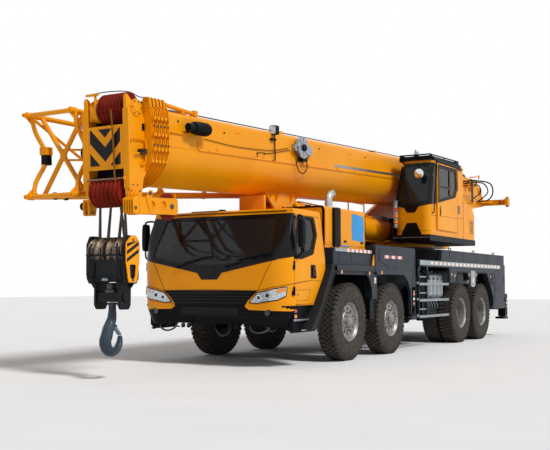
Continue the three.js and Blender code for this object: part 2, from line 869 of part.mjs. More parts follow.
// ---- operator's cab ------------------------------------------------------------------------------
const operatorFloor = platform.top + seatGap;
function operatorBody(inset) {
  const x0 = operator.inner + inset;
  const x1 = operator.outer - inset;
  const front = operator.front + inset;
  const rear = operator.rear - inset;
  const plan = [
    [x0, rear],
    [x1, rear],
    [x1, front + 170],
    [x1 - 90, front + 40],
    [(x0 + x1) / 2, front],
    [x0 + 90, front + 40],
    [x0, front + 170],
  ];
  const side = [
    [operator.front - 100, operatorFloor + inset],
    [operator.front - 100, 2700],
    [operator.front - 60 + inset, operator.roof - 120 - inset / 2],
    [operator.front + 90 + inset, operator.roof - inset],
    [rear - 60, operator.roof - inset],
    [rear, operator.roof - 80 - inset / 2],
    [rear, operatorFloor + inset],
  ];
  const body = slabZ(plan, operatorFloor + inset, operator.roof - inset);
  return body.intersect(slabX(side, x0 - 10, x1 + 10));
}
const operatorWall = cut(operatorBody(0), operatorBody(operator.wall));
const operatorDoorHole = [
  [3830, 2220],
  [3830, 3420],
  [4860, 3420],
  [4860, 2220],
];
const operatorScreen = (gap) => [
  [operator.inner + 60 + gap, 2640 + gap],
  [operator.inner + 60 + gap, 3440 - gap],
  [operator.outer - 60 - gap, 3440 - gap],
  [operator.outer - 60 - gap, 2640 + gap],
];

function makeOperatorCab() {
  const screenHole = slabY(operatorScreen(0), 3300, 3900);
  const doorHole = slabX(operatorDoorHole, 1150, 1400);
  const rightHole = slabX([[3850, 2700], [3850, 3400], [5000, 3400], [5000, 2700]], 500, 700);
  const rearHole = slabY([[700, 2800], [700, 3380], [1170, 3380], [1170, 2800]], 5200, 5400);
  const shell = cut(operatorWall, screenHole, doorHole, rightHole, rearHole);
  const railOut = operator.outer + 38;
  const track = box([operator.outer - 10, railOut], [3760, 5250], [3470 + runGap, 3500]);
  return join(shell, track);
}
addNode(upperWorks, "operator_cab", makeOperatorCab(), yellowPaint);

const operatorSkin = cut(operatorBody(8), operatorBody(30));
addNode(
  upperWorks,
  "operator_windscreen",
  operatorSkin.intersect(slabY(operatorScreen(seatGap), 3300, 3740)),
  tintedGlass,
);

function makeOperatorDoor() {
  const x = [operator.outer + 5, operator.outer + 36];
  const outline = [
    [3780, 2190],
    [3780, 3470],
    [4900, 3470],
    [4900, 2190],
  ];
  const window = [
    [3850, 2700],
    [3850, 3380],
    [4810, 3380],
    [4840, 3050],
    [4780, 2860],
  ];
  return cut(slabX(outline, ...x), slabX(window, x[0] - 10, x[1] + 10));
}
addNode(upperWorks, "operator_door", makeOperatorDoor(), yellowPaint);

function makeOperatorSeat() {
  const floorTop = operatorFloor + operator.wall;
  const base = box([740, 1130], [4300, 4700], [floorTop + seatGap, 2450]);
  const cushion = box([700, 1170], [4250, 4750], [2440, 2580]);
  const back = slabX([[4680, 2560], [4780, 2560], [4860, 3200], [4770, 3210]], 700, 1170);
  const consoles = [
    box([650, 710], [4150, 4650], [2400, 2680]),
    box([1160, 1215], [4150, 4650], [2400, 2680]),
  ];
  const floorMat = box([660, 1210], [3900, 4760], [floorTop + seatGap, floorTop + 30]);
  const dashPost = slabX([[3850, 2560], [3960, 2700], [4010, 2660], [3990, 2160], [3910, 2160]], 780, 1090);
  return join(base, cushion, back, ...consoles, floorMat, dashPost);
}
addNode(upperWorks, "operator_seat", makeOperatorSeat(), seatCloth);

// ---- boom ------------------------------------------------------------------------------------------
// The section is flat on top with small corners and hangs in a half ellipse below the seam.
function boomOutline(shrink) {
  const half = boomTube.halfWidth - shrink;
  const top = boomTube.top - shrink;
  const bottom = boomTube.bottom + shrink;
  const seam = 100;
  const corner = 60;
  const points = [
    [half - corner, top],
    [half, top - corner],
  ];
  const steps = 8;
  for (let i = 0; i <= steps; i += 1) {
    const angle = (i / steps) * Math.PI;
    points.push([half * Math.cos(angle), seam - (seam - bottom) * Math.sin(angle)]);
  }
  points.push([-half, top - corner], [-half + corner, top]);
  return points;
}

function boomSleeve(shrink, wall, y0, y1) {
  const outer = slabY(boomOutline(shrink), y0, y1);
  return cut(outer, slabY(boomOutline(shrink + wall), y0 - 1, y1 + 1));
}

function makeBoomBase() {
  const { rear, front, wall, halfWidth } = boomTube;
  const tube = boomSleeve(0, wall, front, rear);
  const ring = boomSleeve(-collar.proud, collar.proud + wall, front, front + collar.thick);
  const foot = cut(slabY(boomOutline(5), rear - 20, rear), box([-200, 200], [200, 300], [-150, 350]));
  const bosses = [1, -1].map((side) =>
    discX(side * (halfWidth - 14), side * (sidePlate.inner - runGap), 0, 0, 190, 20),
  );
  const away = Math.cos(boomSlope);
  const lean = Math.sin(boomSlope);
  const pinY = (liftEye.y - boomFoot.y) * away + (liftEye.z - boomFoot.z) * lean;
  const pinZ = -(liftEye.y - boomFoot.y) * lean + (liftEye.z - boomFoot.z) * away;
  const lug = [
    [pinY - 520, -330],
    [pinY - 90, pinZ - 70],
    [pinY + 60, pinZ - 90],
    [pinY + 560, -330],
    [pinY + 560, -240],
    [pinY - 520, -240],
  ];
  const lugs = cut(
    join(...slabPair(lug, liftRod.eyeHalf + 8, liftRod.eyeHalf + 48)),
    slabY(boomOutline(wall / 2), pinY - 700, pinY + 700),
  );
  return join(tube, ring, foot, ...bosses, lugs);
}
addNode(boom, "boom_base", makeBoomBase(), yellowPaint);

// Each inner section has wear pads at its rear end and a collar at its front end.
function makeSection(index) {
  const shrink = index * nestStep;
  const { wall } = boomTube;
  const front = boomTube.front - index * collar.pitch;
  const rear = sectionRear - index * 40;
  const tube = boomSleeve(shrink, wall, front, rear);
  const pads = boomSleeve(shrink - nestStep + wall + runGap, nestStep - runGap - 2, rear - 60, rear);
  const proud = collar.proud - index * 4;
  const rim = boomSleeve(-proud, proud + shrink + wall, front, front + collar.thick);
  return join(tube, pads, rim);
}
for (const index of [1, 2, 3])
  addNode(boom, `boom_section_${index + 1}`, makeSection(index), yellowPaint);

function makeHead() {
  const { plate, halfInside, front } = head;
  const rear = boomTube.front - 4 * collar.pitch + collar.thick - 5;
  const outline = [
    [rear, 380],
    [rear - 100, 560],
    [front + 120, 610],
    [front + 15, 700],
    [front, 640],
    [front, -520],
    [front + 60, -570],
    [rear - 110, -570],
    [rear - 60, -300],
    [rear, -240],
  ];
  const plates = slabPair(outline, halfInside, halfInside + plate);
  const sheaves = [upperSheave, lowerSheave].flatMap(({ x0, x1, y, z, radius }) => [
    discX(x0, x1, y, z, radius, 20),
    discX(-halfInside - 5, halfInside + 5, y, z, 60, 12),
  ]);
  const shield = box([-halfInside - 5, halfInside + 5], [front, front + 25], [-180, 313]);
  const armY = [front - 100, front + 780];
  const arm = cut(
    box([halfInside + plate + 5, 485], armY, [-750, -540]),
    box([375, 445], [armY[0] + 560, armY[1] + 50], [-800, -500]),
  );
  const armTie = box([halfInside + 5, 400], [front + 60, rear - 150], [-568, -545]);
  const armSheave = discX(390, 430, armY[1] - 130, -645, 170, 16);
  const armPin = discX(365, 455, armY[1] - 130, -645, 30, 8);
  return join(...plates, ...sheaves, shield, arm, armTie, armSheave, armPin);
}
addNode(boom, "boom_section_5", join(makeSection(4), makeHead()), yellowPaint);

// ---- jib, stowed on the right of the boom -----------------------------------------------------------
function makeJib() {
  const near = -610;
  const stations = [-11120, -9300, -7500, -5700, -3900];
  const frameAt = (i) => {
    const t = i / (stations.length - 1);
    const half = 520 - 270 * t;
    const middle = 53 + 15 * t;
    const far = -1250 + 280 * t;
    return {
      y: stations[i],
      corners: [
        [i === 0 ? -510 : near, middle - half],
        [i === 0 ? -510 : near, middle + half],
        [far, middle + half],
        [far, middle - half],
      ],
    };
  };
  const chord = 38;
  const lace = 24;
  const gusset = 42; // half the block where tubes meet
  const pieces = [];
  const point = (frame, k) => [frame.corners[k][0], frame.y, frame.corners[k][1]];
  for (let i = 0; i < stations.length; i += 1) {
    const here = frameAt(i);
    for (let k = 0; k < 4; k += 1) {
      const [x, y, z] = point(here, k);
      const g = gusset;
      pieces.push(box([x - g, x + g], [y - g, y + g], [z - g, z + g]));
      pieces.push(bar(point(here, k), point(here, (k + 1) % 4), i === 0 ? chord : lace, 4));
    }
    if (i === 0) pieces.push(bar(point(here, 0), point(here, 2), lace, 4));
    if (i + 1 === stations.length) continue;
    const next = frameAt(i + 1);
    for (let k = 0; k < 4; k += 1) {
      pieces.push(bar(point(here, k), point(next, k), chord, 4));
      const across = (k + (i % 2 ? 1 : 0)) % 4;
      const other = (k + (i % 2 ? 0 : 1)) % 4;
      pieces.push(bar(point(here, across), point(next, other), lace, 4));
    }
  }
  for (const i of [1, 2, 3]) {
    const here = frameAt(i);
    const z = here.corners[1][1] - 40;
    const x = [near - 20, -boomTube.halfWidth - seatGap];
    pieces.push(box(x, [here.y - 40, here.y + 40], [z - 40, z + 40]));
  }
  return join(...pieces);
}
addNode(boom, "jib", makeJib(), yellowPaint);

// ---- lift cylinder ------------------------------------------------------------------------------------
const lift = new THREE.Group();
lift.position.set(0, liftBase.y, liftBase.z);
lift.rotation.x = -Math.atan2(liftEye.z - liftBase.z, liftBase.y - liftEye.y);
upperWorks.add(lift);
const liftLength = Math.hypot(liftEye.z - liftBase.z, liftBase.y - liftEye.y);

function makeBarrel() {
  const body = bar([0, -barrel.start, 0], [0, -barrel.end, 0], barrel.radius, 24);
  const bore = bar([0, -barrel.start - 60, 0], [0, -barrel.end - 10, 0], barrel.bore, 24);
  const gland = cut(
    bar([0, -barrel.end + 60, 0], [0, -barrel.end, 0], barrel.bore + 5, 24),
    bar([0, -barrel.end + 70, 0], [0, -barrel.end - 10, 0], liftRod.radius + 2, 24),
  );
  const eye = discX(-barrel.eyeHalf, barrel.eyeHalf, 0, 0, barrel.eye, 20);
  const neck = box([-100, 100], [-barrel.start - 20, -40], [-90, 90]);
  return join(cut(body, bore), gland, eye, neck);
}
addNode(lift, "lift_cylinder_barrel", makeBarrel(), yellowPaint);

function makeLiftRod() {
  const rod = bar([0, -liftRod.rear, 0], [0, -liftLength + 60, 0], liftRod.radius, 24);
  const piston = bar(
    [0, -liftRod.rear, 0],
    [0, -liftRod.rear - 120, 0],
    barrel.bore - runGap,
    24,
  );
  const eye = discX(-liftRod.eyeHalf, liftRod.eyeHalf, -liftLength, 0, liftRod.eye, 20);
  return join(rod, piston, eye);
}
addNode(lift, "lift_cylinder_rod", makeLiftRod(), chromedSteel);

// ---- hook block ------------------------------------------------------------------------------------------
function toWorld(point) {
  const lean = Math.sin(boomSlope);
  const away = Math.cos(boomSlope);
  return {
    y: boomFoot.y + point.y * away - point.z * lean,
    z: boomFoot.z + point.y * lean + point.z * away,
  };
}
const blockAxis = toWorld(lowerSheave);
const blockTop = 1740;
const crossBottom = 930;
const block = new THREE.Group();
block.position.set(0, blockAxis.y, 0);
upperWorks.add(block);

function makeHookBlock() {
  const deep = 140; // half the depth of the cheeks
  const cheek = [
    [-deep + 40, blockTop],
    [deep - 40, blockTop],
    [deep, blockTop - 90],
    [deep, 1200],
    [deep - 40, 1150],
    [40 - deep, 1150],
    [-deep, 1200],
    [-deep, blockTop - 90],
  ];
  const cheeks = slabPair(cheek, 255, 300);
  const sheaves = discX(-260, 260, 0, 1530, 165, 20);
  const body = box([-260, 260], [-120, 120], [1155, 1420]);
  const lower = boxPair([155, 200], [-105, 105], [840, 1160]);
  const cross = box([-160, 160], [-95, 95], [crossBottom, crossBottom + 130]);
  const rise = blockAxis.z - lowerSheave.radius - seatGap;
  const falls = [-200, -80, 80, 200].map((x) => bar([x, 0, 1650], [x, 0, rise], 13, 6));
  const guard = slabX([[-100, 1180], [-130, 1660], [0, 1735], [130, 1660], [100, 1180]], 298, 318);
  return join(...cheeks, sheaves, body, ...lower, cross, guard, ...falls);
}
addNode(block, "hook_block", makeHookBlock(), castSteel);

// The hook opens to the rear and turns on its shank in the cross bar.
function makeHook() {
  const centreZ = 460;
  const reach = 138;
  const thick = 50;
  const points = [];
  points.push(new THREE.Vector3(0, 0, crossBottom - seatGap));
  points.push(new THREE.Vector3(0, 0, 800));
  points.push(new THREE.Vector3(0, -12, 690));
  for (const degrees of [140, 180, 225, 270, 315, 350]) {
    const angle = THREE.MathUtils.degToRad(degrees);
    points.push(new THREE.Vector3(0, reach * Math.cos(angle), centreZ + reach * Math.sin(angle)));
  }
  points.push(new THREE.Vector3(0, reach - 4, 530));
  const path = new THREE.CatmullRomCurve3(points, false, "centripetal");
  const section = new THREE.Shape(
    Array.from({ length: 8 }, (_, i) => {
      const angle = (i / 8) * 2 * Math.PI;
      return new THREE.Vector2(thick * Math.cos(angle), thick * Math.sin(angle));
    }),
  );
  return toSolid(new THREE.ExtrudeGeometry(section, { steps: 24, extrudePath: path }));
}
addNode(block, "hook", makeHook(), castSteel);

// ---- the whole crane --------------------------------------------------------------------
const bounds = new THREE.Box3().setFromObject(crane, true);
crane.position.set(0, -(bounds.min.y + bounds.max.y) / 2, floorZ - bounds.min.z);

export default crane;
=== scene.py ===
# Four-axle truck crane with a telescopic boom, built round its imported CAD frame.
# Lengths are in metres. The shapes of the carrier are written with y from the first axle,
# the shapes of the boom with their origin at the boom's foot pin, and so on; a place matrix
# then puts each piece into the shared frame.
import math

import bmesh
import bpy
from mathutils import Matrix, Vector
from mathutils.geometry import tessellate_polygon


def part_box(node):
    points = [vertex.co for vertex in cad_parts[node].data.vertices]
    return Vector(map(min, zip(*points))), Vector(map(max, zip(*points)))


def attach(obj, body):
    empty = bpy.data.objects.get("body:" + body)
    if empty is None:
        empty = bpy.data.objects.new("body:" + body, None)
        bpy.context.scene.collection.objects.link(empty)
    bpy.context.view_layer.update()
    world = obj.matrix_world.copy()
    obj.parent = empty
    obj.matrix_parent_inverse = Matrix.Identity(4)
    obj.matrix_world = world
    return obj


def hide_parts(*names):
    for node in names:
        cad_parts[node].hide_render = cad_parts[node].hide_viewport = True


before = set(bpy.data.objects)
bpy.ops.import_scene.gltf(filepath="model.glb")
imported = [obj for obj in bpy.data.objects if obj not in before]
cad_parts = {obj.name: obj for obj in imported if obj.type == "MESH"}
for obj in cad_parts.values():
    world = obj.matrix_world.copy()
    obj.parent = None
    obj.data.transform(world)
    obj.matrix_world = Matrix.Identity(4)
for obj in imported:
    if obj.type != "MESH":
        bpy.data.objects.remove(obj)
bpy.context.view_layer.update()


# Places in the shared frame.
def middleOf(node):
    low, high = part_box(node)
    return (low + high) / 2


axleY = middleOf("axle_1").y
ground = Matrix.Translation((0, axleY, 0))
boomSlope = math.radians(2.7)
boomFoot = (7.0, 3.25)
boomPlace = ground @ Matrix.Translation((0, *boomFoot)) @ Matrix.Rotation(boomSlope, 4, "X")
liftSlope = -math.atan2(0.11, 4.65)
liftPlace = ground @ Matrix.Translation((0, 4.5, 2.2)) @ Matrix.Rotation(liftSlope, 4, "X")
hookY = middleOf("hook_block").y
blockPlace = Matrix.Translation((0, hookY, 0))
mirrorAll = Matrix.Scale(-1, 4, (1, 0, 0))

cameraFacts = {"x": 7.18, "y": -12.28, "z": 1.13, "tilt": 92.8, "turn": 30.45, "lens": 58.39,
    "shiftY": 0.0313}


def makeCamera():
    data = bpy.data.cameras.new("camera")
    data.lens = cameraFacts["lens"]
    data.sensor_width = 36
    data.shift_y = cameraFacts["shiftY"]
    data.clip_end = 300
    camera = bpy.data.objects.new("camera", data)
    camera.location = (cameraFacts["x"], cameraFacts["y"] + axleY, cameraFacts["z"])
    camera.rotation_euler = (math.radians(cameraFacts["tilt"]), 0, math.radians(cameraFacts["turn"]))
    bpy.context.scene.collection.objects.link(camera)
    bpy.context.scene.camera = camera


makeCamera()
print("camera placed")


def linear(code):
    parts = [int(code[i : i + 2], 16) / 255 for i in (0, 2, 4)]
    return (*[p / 12.92 if p <= 0.04045 else ((p + 0.055) / 1.055) ** 2.4 for p in parts], 1)


# Adds one node with its settings and links. stops fills a colour ramp.
def addNode(tree, kind, inputs=None, stops=None, **settings):
    node = tree.nodes.new("ShaderNode" + kind)
    for name, value in settings.items():
        setattr(node, name, value)
    for name, value in (inputs or {}).items():
        if isinstance(value, bpy.types.NodeSocket):
            tree.links.new(value, node.inputs[name])
        else:
            node.inputs[name].default_value = value
    if stops:
        elements = node.color_ramp.elements
        while len(elements) < len(stops):
            elements.new(0.5)
        for element, (place, code) in zip(elements, stops):
            element.position = place
            element.color = linear(code)
    return node


# A noise or cell pattern whose features are this many millimetres across.
def scaleFor(millimetres):
    return 1000 / millimetres


def startMaterial(name, inputs):
    material = bpy.data.materials.new(name)
    material.use_nodes = True
    tree = material.node_tree
    tree.nodes.clear()
    shader = addNode(tree, "BsdfPrincipled", inputs)
    addNode(tree, "OutputMaterial", {"Surface": shader.outputs["BSDF"]})
    place = addNode(tree, "TexCoord").outputs["Object"]
    return material, tree, shader, place


# Enamel sprayed on steel: glossy, with a faint orange peel and slow changes of tone.
# Road dust gathers on the lower parts of the carrier.
def enamel(name, light, dark, roughness, coat, dust=0.0, dustTone="8A7F70"):
    material, tree, shader, place = startMaterial(name,
        {"Coat Weight": coat, "Coat Roughness": 0.12, "Specular IOR Level": 0.14})
    tone = addNode(tree, "TexNoise", {"Vector": place, "Scale": scaleFor(700), "Detail": 3.0})
    color = addNode(tree, "ValToRGB", {"Fac": tone.outputs["Fac"]},
        stops=[(0.3, dark), (0.7, light)]).outputs["Color"]
    if dust:
        spot = addNode(tree, "SeparateXYZ", {"Vector": addNode(tree, "NewGeometry").outputs["Position"]})
        low = addNode(tree, "MapRange", {"Value": spot.outputs["Z"], "From Min": 0.3, "From Max": 1.5,
            "To Min": dust, "To Max": 0.0})
        patches = addNode(tree, "TexNoise", {"Vector": place, "Scale": scaleFor(90), "Detail": 6.0})
        share = addNode(tree, "Math", {0: low.outputs["Result"], 1: patches.outputs["Fac"]},
            operation="MULTIPLY")
        film = addNode(
            tree, "Mix", {"Factor": share.outputs["Value"], "B": linear(dustTone)}, data_type="RGBA"
        )
        tree.links.new(color, film.inputs["A"])
        color = film.outputs["Result"]
    tree.links.new(color, shader.inputs["Base Color"])
    wear = addNode(tree, "TexNoise", {"Vector": place, "Scale": scaleFor(150), "Detail": 5.0})
    gloss = addNode(tree, "MapRange", {"Value": wear.outputs["Fac"], "To Min": roughness - 0.08,
        "To Max": roughness + 0.12})
    tree.links.new(gloss.outputs["Result"], shader.inputs["Roughness"])
    # Orange peel is about 3 mm across, drawn at 14 mm so that it shows.
    peel = addNode(tree, "TexNoise", {"Vector": place, "Scale": scaleFor(14), "Detail": 1.0})
    bump = addNode(tree, "Bump", {"Height": peel.outputs["Fac"], "Distance": 0.0006, "Strength": 0.25})
    tree.links.new(bump.outputs["Normal"], shader.inputs["Normal"])
    return material


# Moulded ABS, nylon or rubber: matt, with the leather grain of the mould. The grain is about
# 1 mm, drawn at 4 mm or more so that it shows.
def moulded(name, light, dark, roughness, grain=4):
    material, tree, shader, place = startMaterial(name, {"Roughness": roughness, "Specular IOR Level": 0.08})
    tone = addNode(tree, "TexNoise", {"Vector": place, "Scale": scaleFor(220), "Detail": 4.0})
    color = addNode(tree, "ValToRGB", {"Fac": tone.outputs["Fac"]}, stops=[(0.3, dark), (0.7, light)])
    tree.links.new(color.outputs["Color"], shader.inputs["Base Color"])
    cells = addNode(tree, "TexVoronoi", {"Vector": place, "Scale": scaleFor(grain)})
    bump = addNode(tree, "Bump", {"Height": cells.outputs["Distance"], "Distance": grain / 10000,
        "Strength": 0.4})
    tree.links.new(bump.outputs["Normal"], shader.inputs["Normal"])
    return material


# Bare, plated or silvered metal: its roughness and tone go up and down in blotches.
def metal(name, light, dark, roughness, spread=0.12, blotch=40, metallic=1.0):
    material, tree, shader, place = startMaterial(name, {"Metallic": metallic})
    pattern = addNode(tree, "TexNoise", {"Vector": place, "Scale": scaleFor(blotch), "Detail": 5.0})
    color = addNode(tree, "ValToRGB", {"Fac": pattern.outputs["Fac"]}, stops=[(0.3, dark), (0.7, light)])
    tree.links.new(color.outputs["Color"], shader.inputs["Base Color"])
    gloss = addNode(
        tree,
        "MapRange",
        {"Value": pattern.outputs["Fac"], "To Min": roughness - spread, "To Max": roughness + spread},
    )
    tree.links.new(gloss.outputs["Result"], shader.inputs["Roughness"])
    bump = addNode(tree, "Bump", {"Height": pattern.outputs["Fac"], "Distance": 0.0005, "Strength": 0.2})
    tree.links.new(bump.outputs["Normal"], shader.inputs["Normal"])
    return material


# Tyre rubber, moulded: carbon black gone brown-grey with road dust, in patches.
def tyreCompound(name):
    material, tree, shader, place = startMaterial(name, {"Roughness": 0.85, "Specular IOR Level": 0.15})
    dust = addNode(tree, "TexNoise", {"Vector": place, "Scale": scaleFor(60), "Detail": 8.0,
        "Roughness": 0.7})
    stops = [(0.25, "2C2927"), (0.5, "413D39"), (0.8, "59534D")]
    color = addNode(tree, "ValToRGB", {"Fac": dust.outputs["Fac"]}, stops=stops)
    tree.links.new(color.outputs["Color"], shader.inputs["Base Color"])
    grit = addNode(tree, "TexNoise", {"Vector": place, "Scale": scaleFor(5), "Detail": 4.0})
    bump = addNode(tree, "Bump", {"Height": grit.outputs["Fac"], "Distance": 0.001, "Strength": 0.5})
    tree.links.new(bump.outputs["Normal"], shader.inputs["Normal"])
    return material


# Tinted float glass: smooth, dark blue-grey, half seen through, with a film of dust.
def tintedGlass(name, code, alpha):
    material, tree, shader, place = startMaterial(
        name, {"Base Color": linear(code), "Alpha": alpha, "Specular IOR Level": 0.35, "Coat Weight": 0.1}
    )
    dust = addNode(tree, "TexNoise", {"Vector": place, "Scale": scaleFor(300), "Detail": 4.0})
    film = addNode(tree, "MapRange", {"Value": dust.outputs["Fac"], "To Min": 0.02, "To Max": 0.1})
    tree.links.new(film.outputs["Result"], shader.inputs["Roughness"])
    return material


# Moulded acrylic lens: clear gloss over small prisms.
def acrylicLens(name, light, dark, prism, metallic=0.0):
    material, tree, shader, place = startMaterial(name,
        {"Roughness": 0.12, "IOR": 1.49, "Coat Weight": 0.8, "Coat Roughness": 0.03,
        "Metallic": metallic})
    prisms = addNode(tree, "TexVoronoi", {"Vector": place, "Scale": scaleFor(prism)})
    color = addNode(tree, "ValToRGB", {"Fac": prisms.outputs["Distance"]}, stops=[(0.0, light), (0.7, dark)])
    tree.links.new(color.outputs["Color"], shader.inputs["Base Color"])
    bump = addNode(tree, "Bump", {"Height": prisms.outputs["Distance"], "Distance": 0.002, "Strength": 0.3})
    tree.links.new(bump.outputs["Normal"], shader.inputs["Normal"])
    return material


# Wire rope: oiled strands laid in a helix, seen as slanting bands 25 mm apart, drawn at 60 mm.
def wireRope(name):
    material, tree, shader, place = startMaterial(name, {"Roughness": 0.5, "Metallic": 0.7})
    strands = addNode(tree, "TexWave", {"Vector": place, "Scale": scaleFor(60), "Distortion": 0.4},
        bands_direction="DIAGONAL")
    color = addNode(tree, "ValToRGB", {"Fac": strands.outputs["Fac"]},
        stops=[(0.2, "24211E"), (0.7, "77706A")])
    tree.links.new(color.outputs["Color"], shader.inputs["Base Color"])
    bump = addNode(tree, "Bump", {"Height": strands.outputs["Fac"], "Distance": 0.004, "Strength": 0.6})
    tree.links.new(bump.outputs["Normal"], shader.inputs["Normal"])
    return material


# Woven polyester seat cloth: a plain weave with threads about 1 mm apart, drawn at 6 mm.
def wovenCloth(name, light, dark):
    material, tree, shader, place = startMaterial(name, {"Roughness": 0.9, "Sheen Weight": 0.3})
    threads = addNode(
        tree,
        "TexChecker",
        {"Vector": place, "Scale": scaleFor(6), "Color1": linear(light), "Color2": linear(dark)},
    )
    tree.links.new(threads.outputs["Color"], shader.inputs["Base Color"])
    bump = addNode(tree, "Bump", {"Height": threads.outputs["Fac"], "Distance": 0.001, "Strength": 0.4})
    tree.links.new(bump.outputs["Normal"], shader.inputs["Normal"])
    return material


mats = {
    "yellow": enamel("yellowEnamel", "F39E0B", "EA9405", 0.34, 0.08),
    "grey": enamel("chassisEnamel", "2C333C", "242A32", 0.45, 0.05, 0.3, "4E4B46"),
    "greyDark": enamel("underbodyEnamel", "1C2126", "15191D", 0.55, 0.0, 0.4, "433F3A"),
    "black": moulded("mouldedAbs", "101215", "090A0D", 0.42),
    "rubber": moulded("mouldedRubber", "151516", "0C0C0D", 0.75, 6),
    "blackGloss": enamel("glossBlackEnamel", "0D0F12", "08090C", 0.24, 0.1),
    "tyre": tyreCompound("tyreCompound"),
    "silver": metal("silverWheelEnamel", "9A9894", "777470", 0.42, 0.1, 60, 0.45),
    "glass": tintedGlass("tintedGlass", "121A22", 0.72),
    "glassDark": tintedGlass("darkTintedGlass", "10161D", 0.86),
    "mirror": metal("silveredGlass", "DDE3E8", "C8D0D8", 0.08, 0.03, 200),
    "chrome": metal("hardChrome", "D8DADD", "C4C7CB", 0.14, 0.05, 80),
    "zinc": metal("galvanisedSteel", "9AA5AE", "77828B", 0.42, 0.14, 25, 0.8),
    "alloy": metal("brushedAluminium", "AFB7BD", "8F979D", 0.34, 0.1, 60, 0.9),
    "castBlack": enamel("blackCastingEnamel", "16181C", "0E1013", 0.42, 0.04),
    "steel": metal("oiledSteel", "5A5F66", "34393F", 0.4, 0.12, 30, 0.8),
    "slate": enamel("slateHookEnamel", "3A4753", "2B3640", 0.38, 0.15),
    "red": moulded("castNylonSheave", "8E2818", "611709", 0.5, 12),
    "rope": wireRope("wireRope"),
    "brass": metal("ropeWornSheave", "9C8B74", "544A40", 0.5, 0.1, 20, 0.8),
    "clear": acrylicLens("clearLampLens", "F4F8FA", "A9B4BC", 22, 0.35),
    "amber": acrylicLens("amberLens", "FFB347", "E27B12", 9),
    "redLens": acrylicLens("redLens", "E8402A", "A81E12", 9),
    "white": acrylicLens("whiteReflector", "F4F1EA", "D8D4CC", 7),
    "blue": enamel("blueFilm", "3A9ADB", "2C8CCB", 0.38, 0.05),
    "cloth": wovenCloth("seatCloth", "33363B", "1F2125"),
    "exhaust": metal("exhaustSteel", "C9CCCE", "9A9EA1", 0.3, 0.1, 70, 0.9),
    # mat is the ribbed floor mat; it also lines the insides of both cabs, partly as painted shade.
    "mat": moulded("ribbedFloorMatAndShadeLining", "24272B", "17191C", 0.8, 20),
}
print("materials made")


# A bag is a list of (vertices, faces, material name). The functions below add closed shapes to it.
def put(bag, verts, faces, mat):
    bag.append(([Vector(v) for v in verts], [tuple(f) for f in faces], mat))


boxFaces = [(0, 1, 3, 2), (4, 6, 7, 5), (0, 4, 5, 1), (2, 3, 7, 6), (0, 2, 6, 4), (1, 5, 7, 3)]


def block(bag, x, y, z, mat):
    xs, ys, zs = sorted(x), sorted(y), sorted(z)
    put(bag, [(a, b, c) for a in xs for b in ys for c in zs], boxFaces, mat)


axisOrder = {"x": lambda u, v, w: (w, u, v), "y": lambda u, v, w: (u, w, v), "z": lambda u, v, w: (u, v, w)}


def signedArea(loop):
    return sum(a[0] * b[1] - b[0] * a[1] for a, b in zip(loop, loop[1:] + loop[:1])) / 2


def slab(bag, axis, outline, low, high, mat, holes=()):
    # An outline, with holes, drawn out along an axis: (y, z) for x, (x, z) for y, (x, y) for z.
    loops = [list(outline)] + [list(h) for h in holes]
    loops = [l if (signedArea(l) > 0) == (i == 0) else l[::-1] for i, l in enumerate(loops)]
    flat = [p for l in loops for p in l]
    turn = axisOrder[axis]
    low, high = min(low, high), max(low, high)
    verts = [turn(u, v, low) for u, v in flat] + [turn(u, v, high) for u, v in flat]
    count = len(flat)
    if len(loops) == 1:
        caps = [tuple(range(count))]
    else:
        caps = [tuple(t) for t in tessellate_polygon([[(u, v, 0) for u, v in l] for l in loops])]
        caps = [c if signedArea([flat[i] for i in c]) > 0 else c[::-1] for c in caps]
    faces = [c[::-1] for c in caps] + [tuple(i + count for i in c) for c in caps]
    start = 0
    for l in loops:
        n = len(l)
        for i in range(n):
            a, b = start + i, start + (i + 1) % n
            faces.append((a, b, b + count, a + count))
        start += n
    if axis == "y":
        faces = [f[::-1] for f in faces]
    put(bag, verts, faces, mat)


def rounded(points, radius, steps=4):
    # The outline with its corners turned into arcs. radius is one number or one for each corner.
    out = []
    n = len(points)
    for i, p in enumerate(points):
        r = radius[i] if isinstance(radius, (list, tuple)) else radius
        here = Vector(p)
        before, after = Vector(points[i - 1]) - here, Vector(points[(i + 1) % n]) - here
        reach = min(before.length, after.length) * 0.45
        angle = before.angle(after)
        cutBack = min(r / max(math.tan(angle / 2), 1e-4), reach)
        if r <= 0 or cutBack < 1e-5:
            out.append(tuple(here))
            continue
        a, b = here + before.normalized() * cutBack, here + after.normalized() * cutBack
        for k in range(steps + 1):
            t = k / steps
            out.append(tuple(a * (1 - t) ** 2 + here * 2 * t * (1 - t) + b * t * t))
    return out


def ringPoints(radius, count, centre=(0, 0), stretch=1.0, turn=0.0):
    return [
        (
            centre[0] + radius * math.cos(2 * math.pi * i / count + turn),
            centre[1] + radius * stretch * math.sin(2 * math.pi * i / count + turn),
        )
        for i in range(count)
    ]


def rect(u0, u1, v0, v1):
    return [(u0, v0), (u1, v0), (u1, v1), (u0, v1)]


def turned(bag, axis, centre, profile, mat, steps=32, caps=True):
    # A profile of (radius, along) turned about a line through centre along an axis.
    place = axisOrder[axis]
    centre = Vector(centre)
    verts, faces = [], []
    for radius, along in profile:
        for i in range(steps):
            angle = 2 * math.pi * i / steps
            verts.append(centre + Vector(place(radius * math.cos(angle), radius * math.sin(angle), along)))
    rows = len(profile)
    for r in range(rows - 1):
        for i in range(steps):
            j = (i + 1) % steps
            faces.append((r * steps + i, r * steps + j, (r + 1) * steps + j, (r + 1) * steps + i))
    if caps:
        faces.append(tuple(range(steps))[::-1])
        faces.append(tuple((rows - 1) * steps + i for i in range(steps)))
    if axis == "y":
        faces = [f[::-1] for f in faces]
    put(bag, verts, faces, mat)


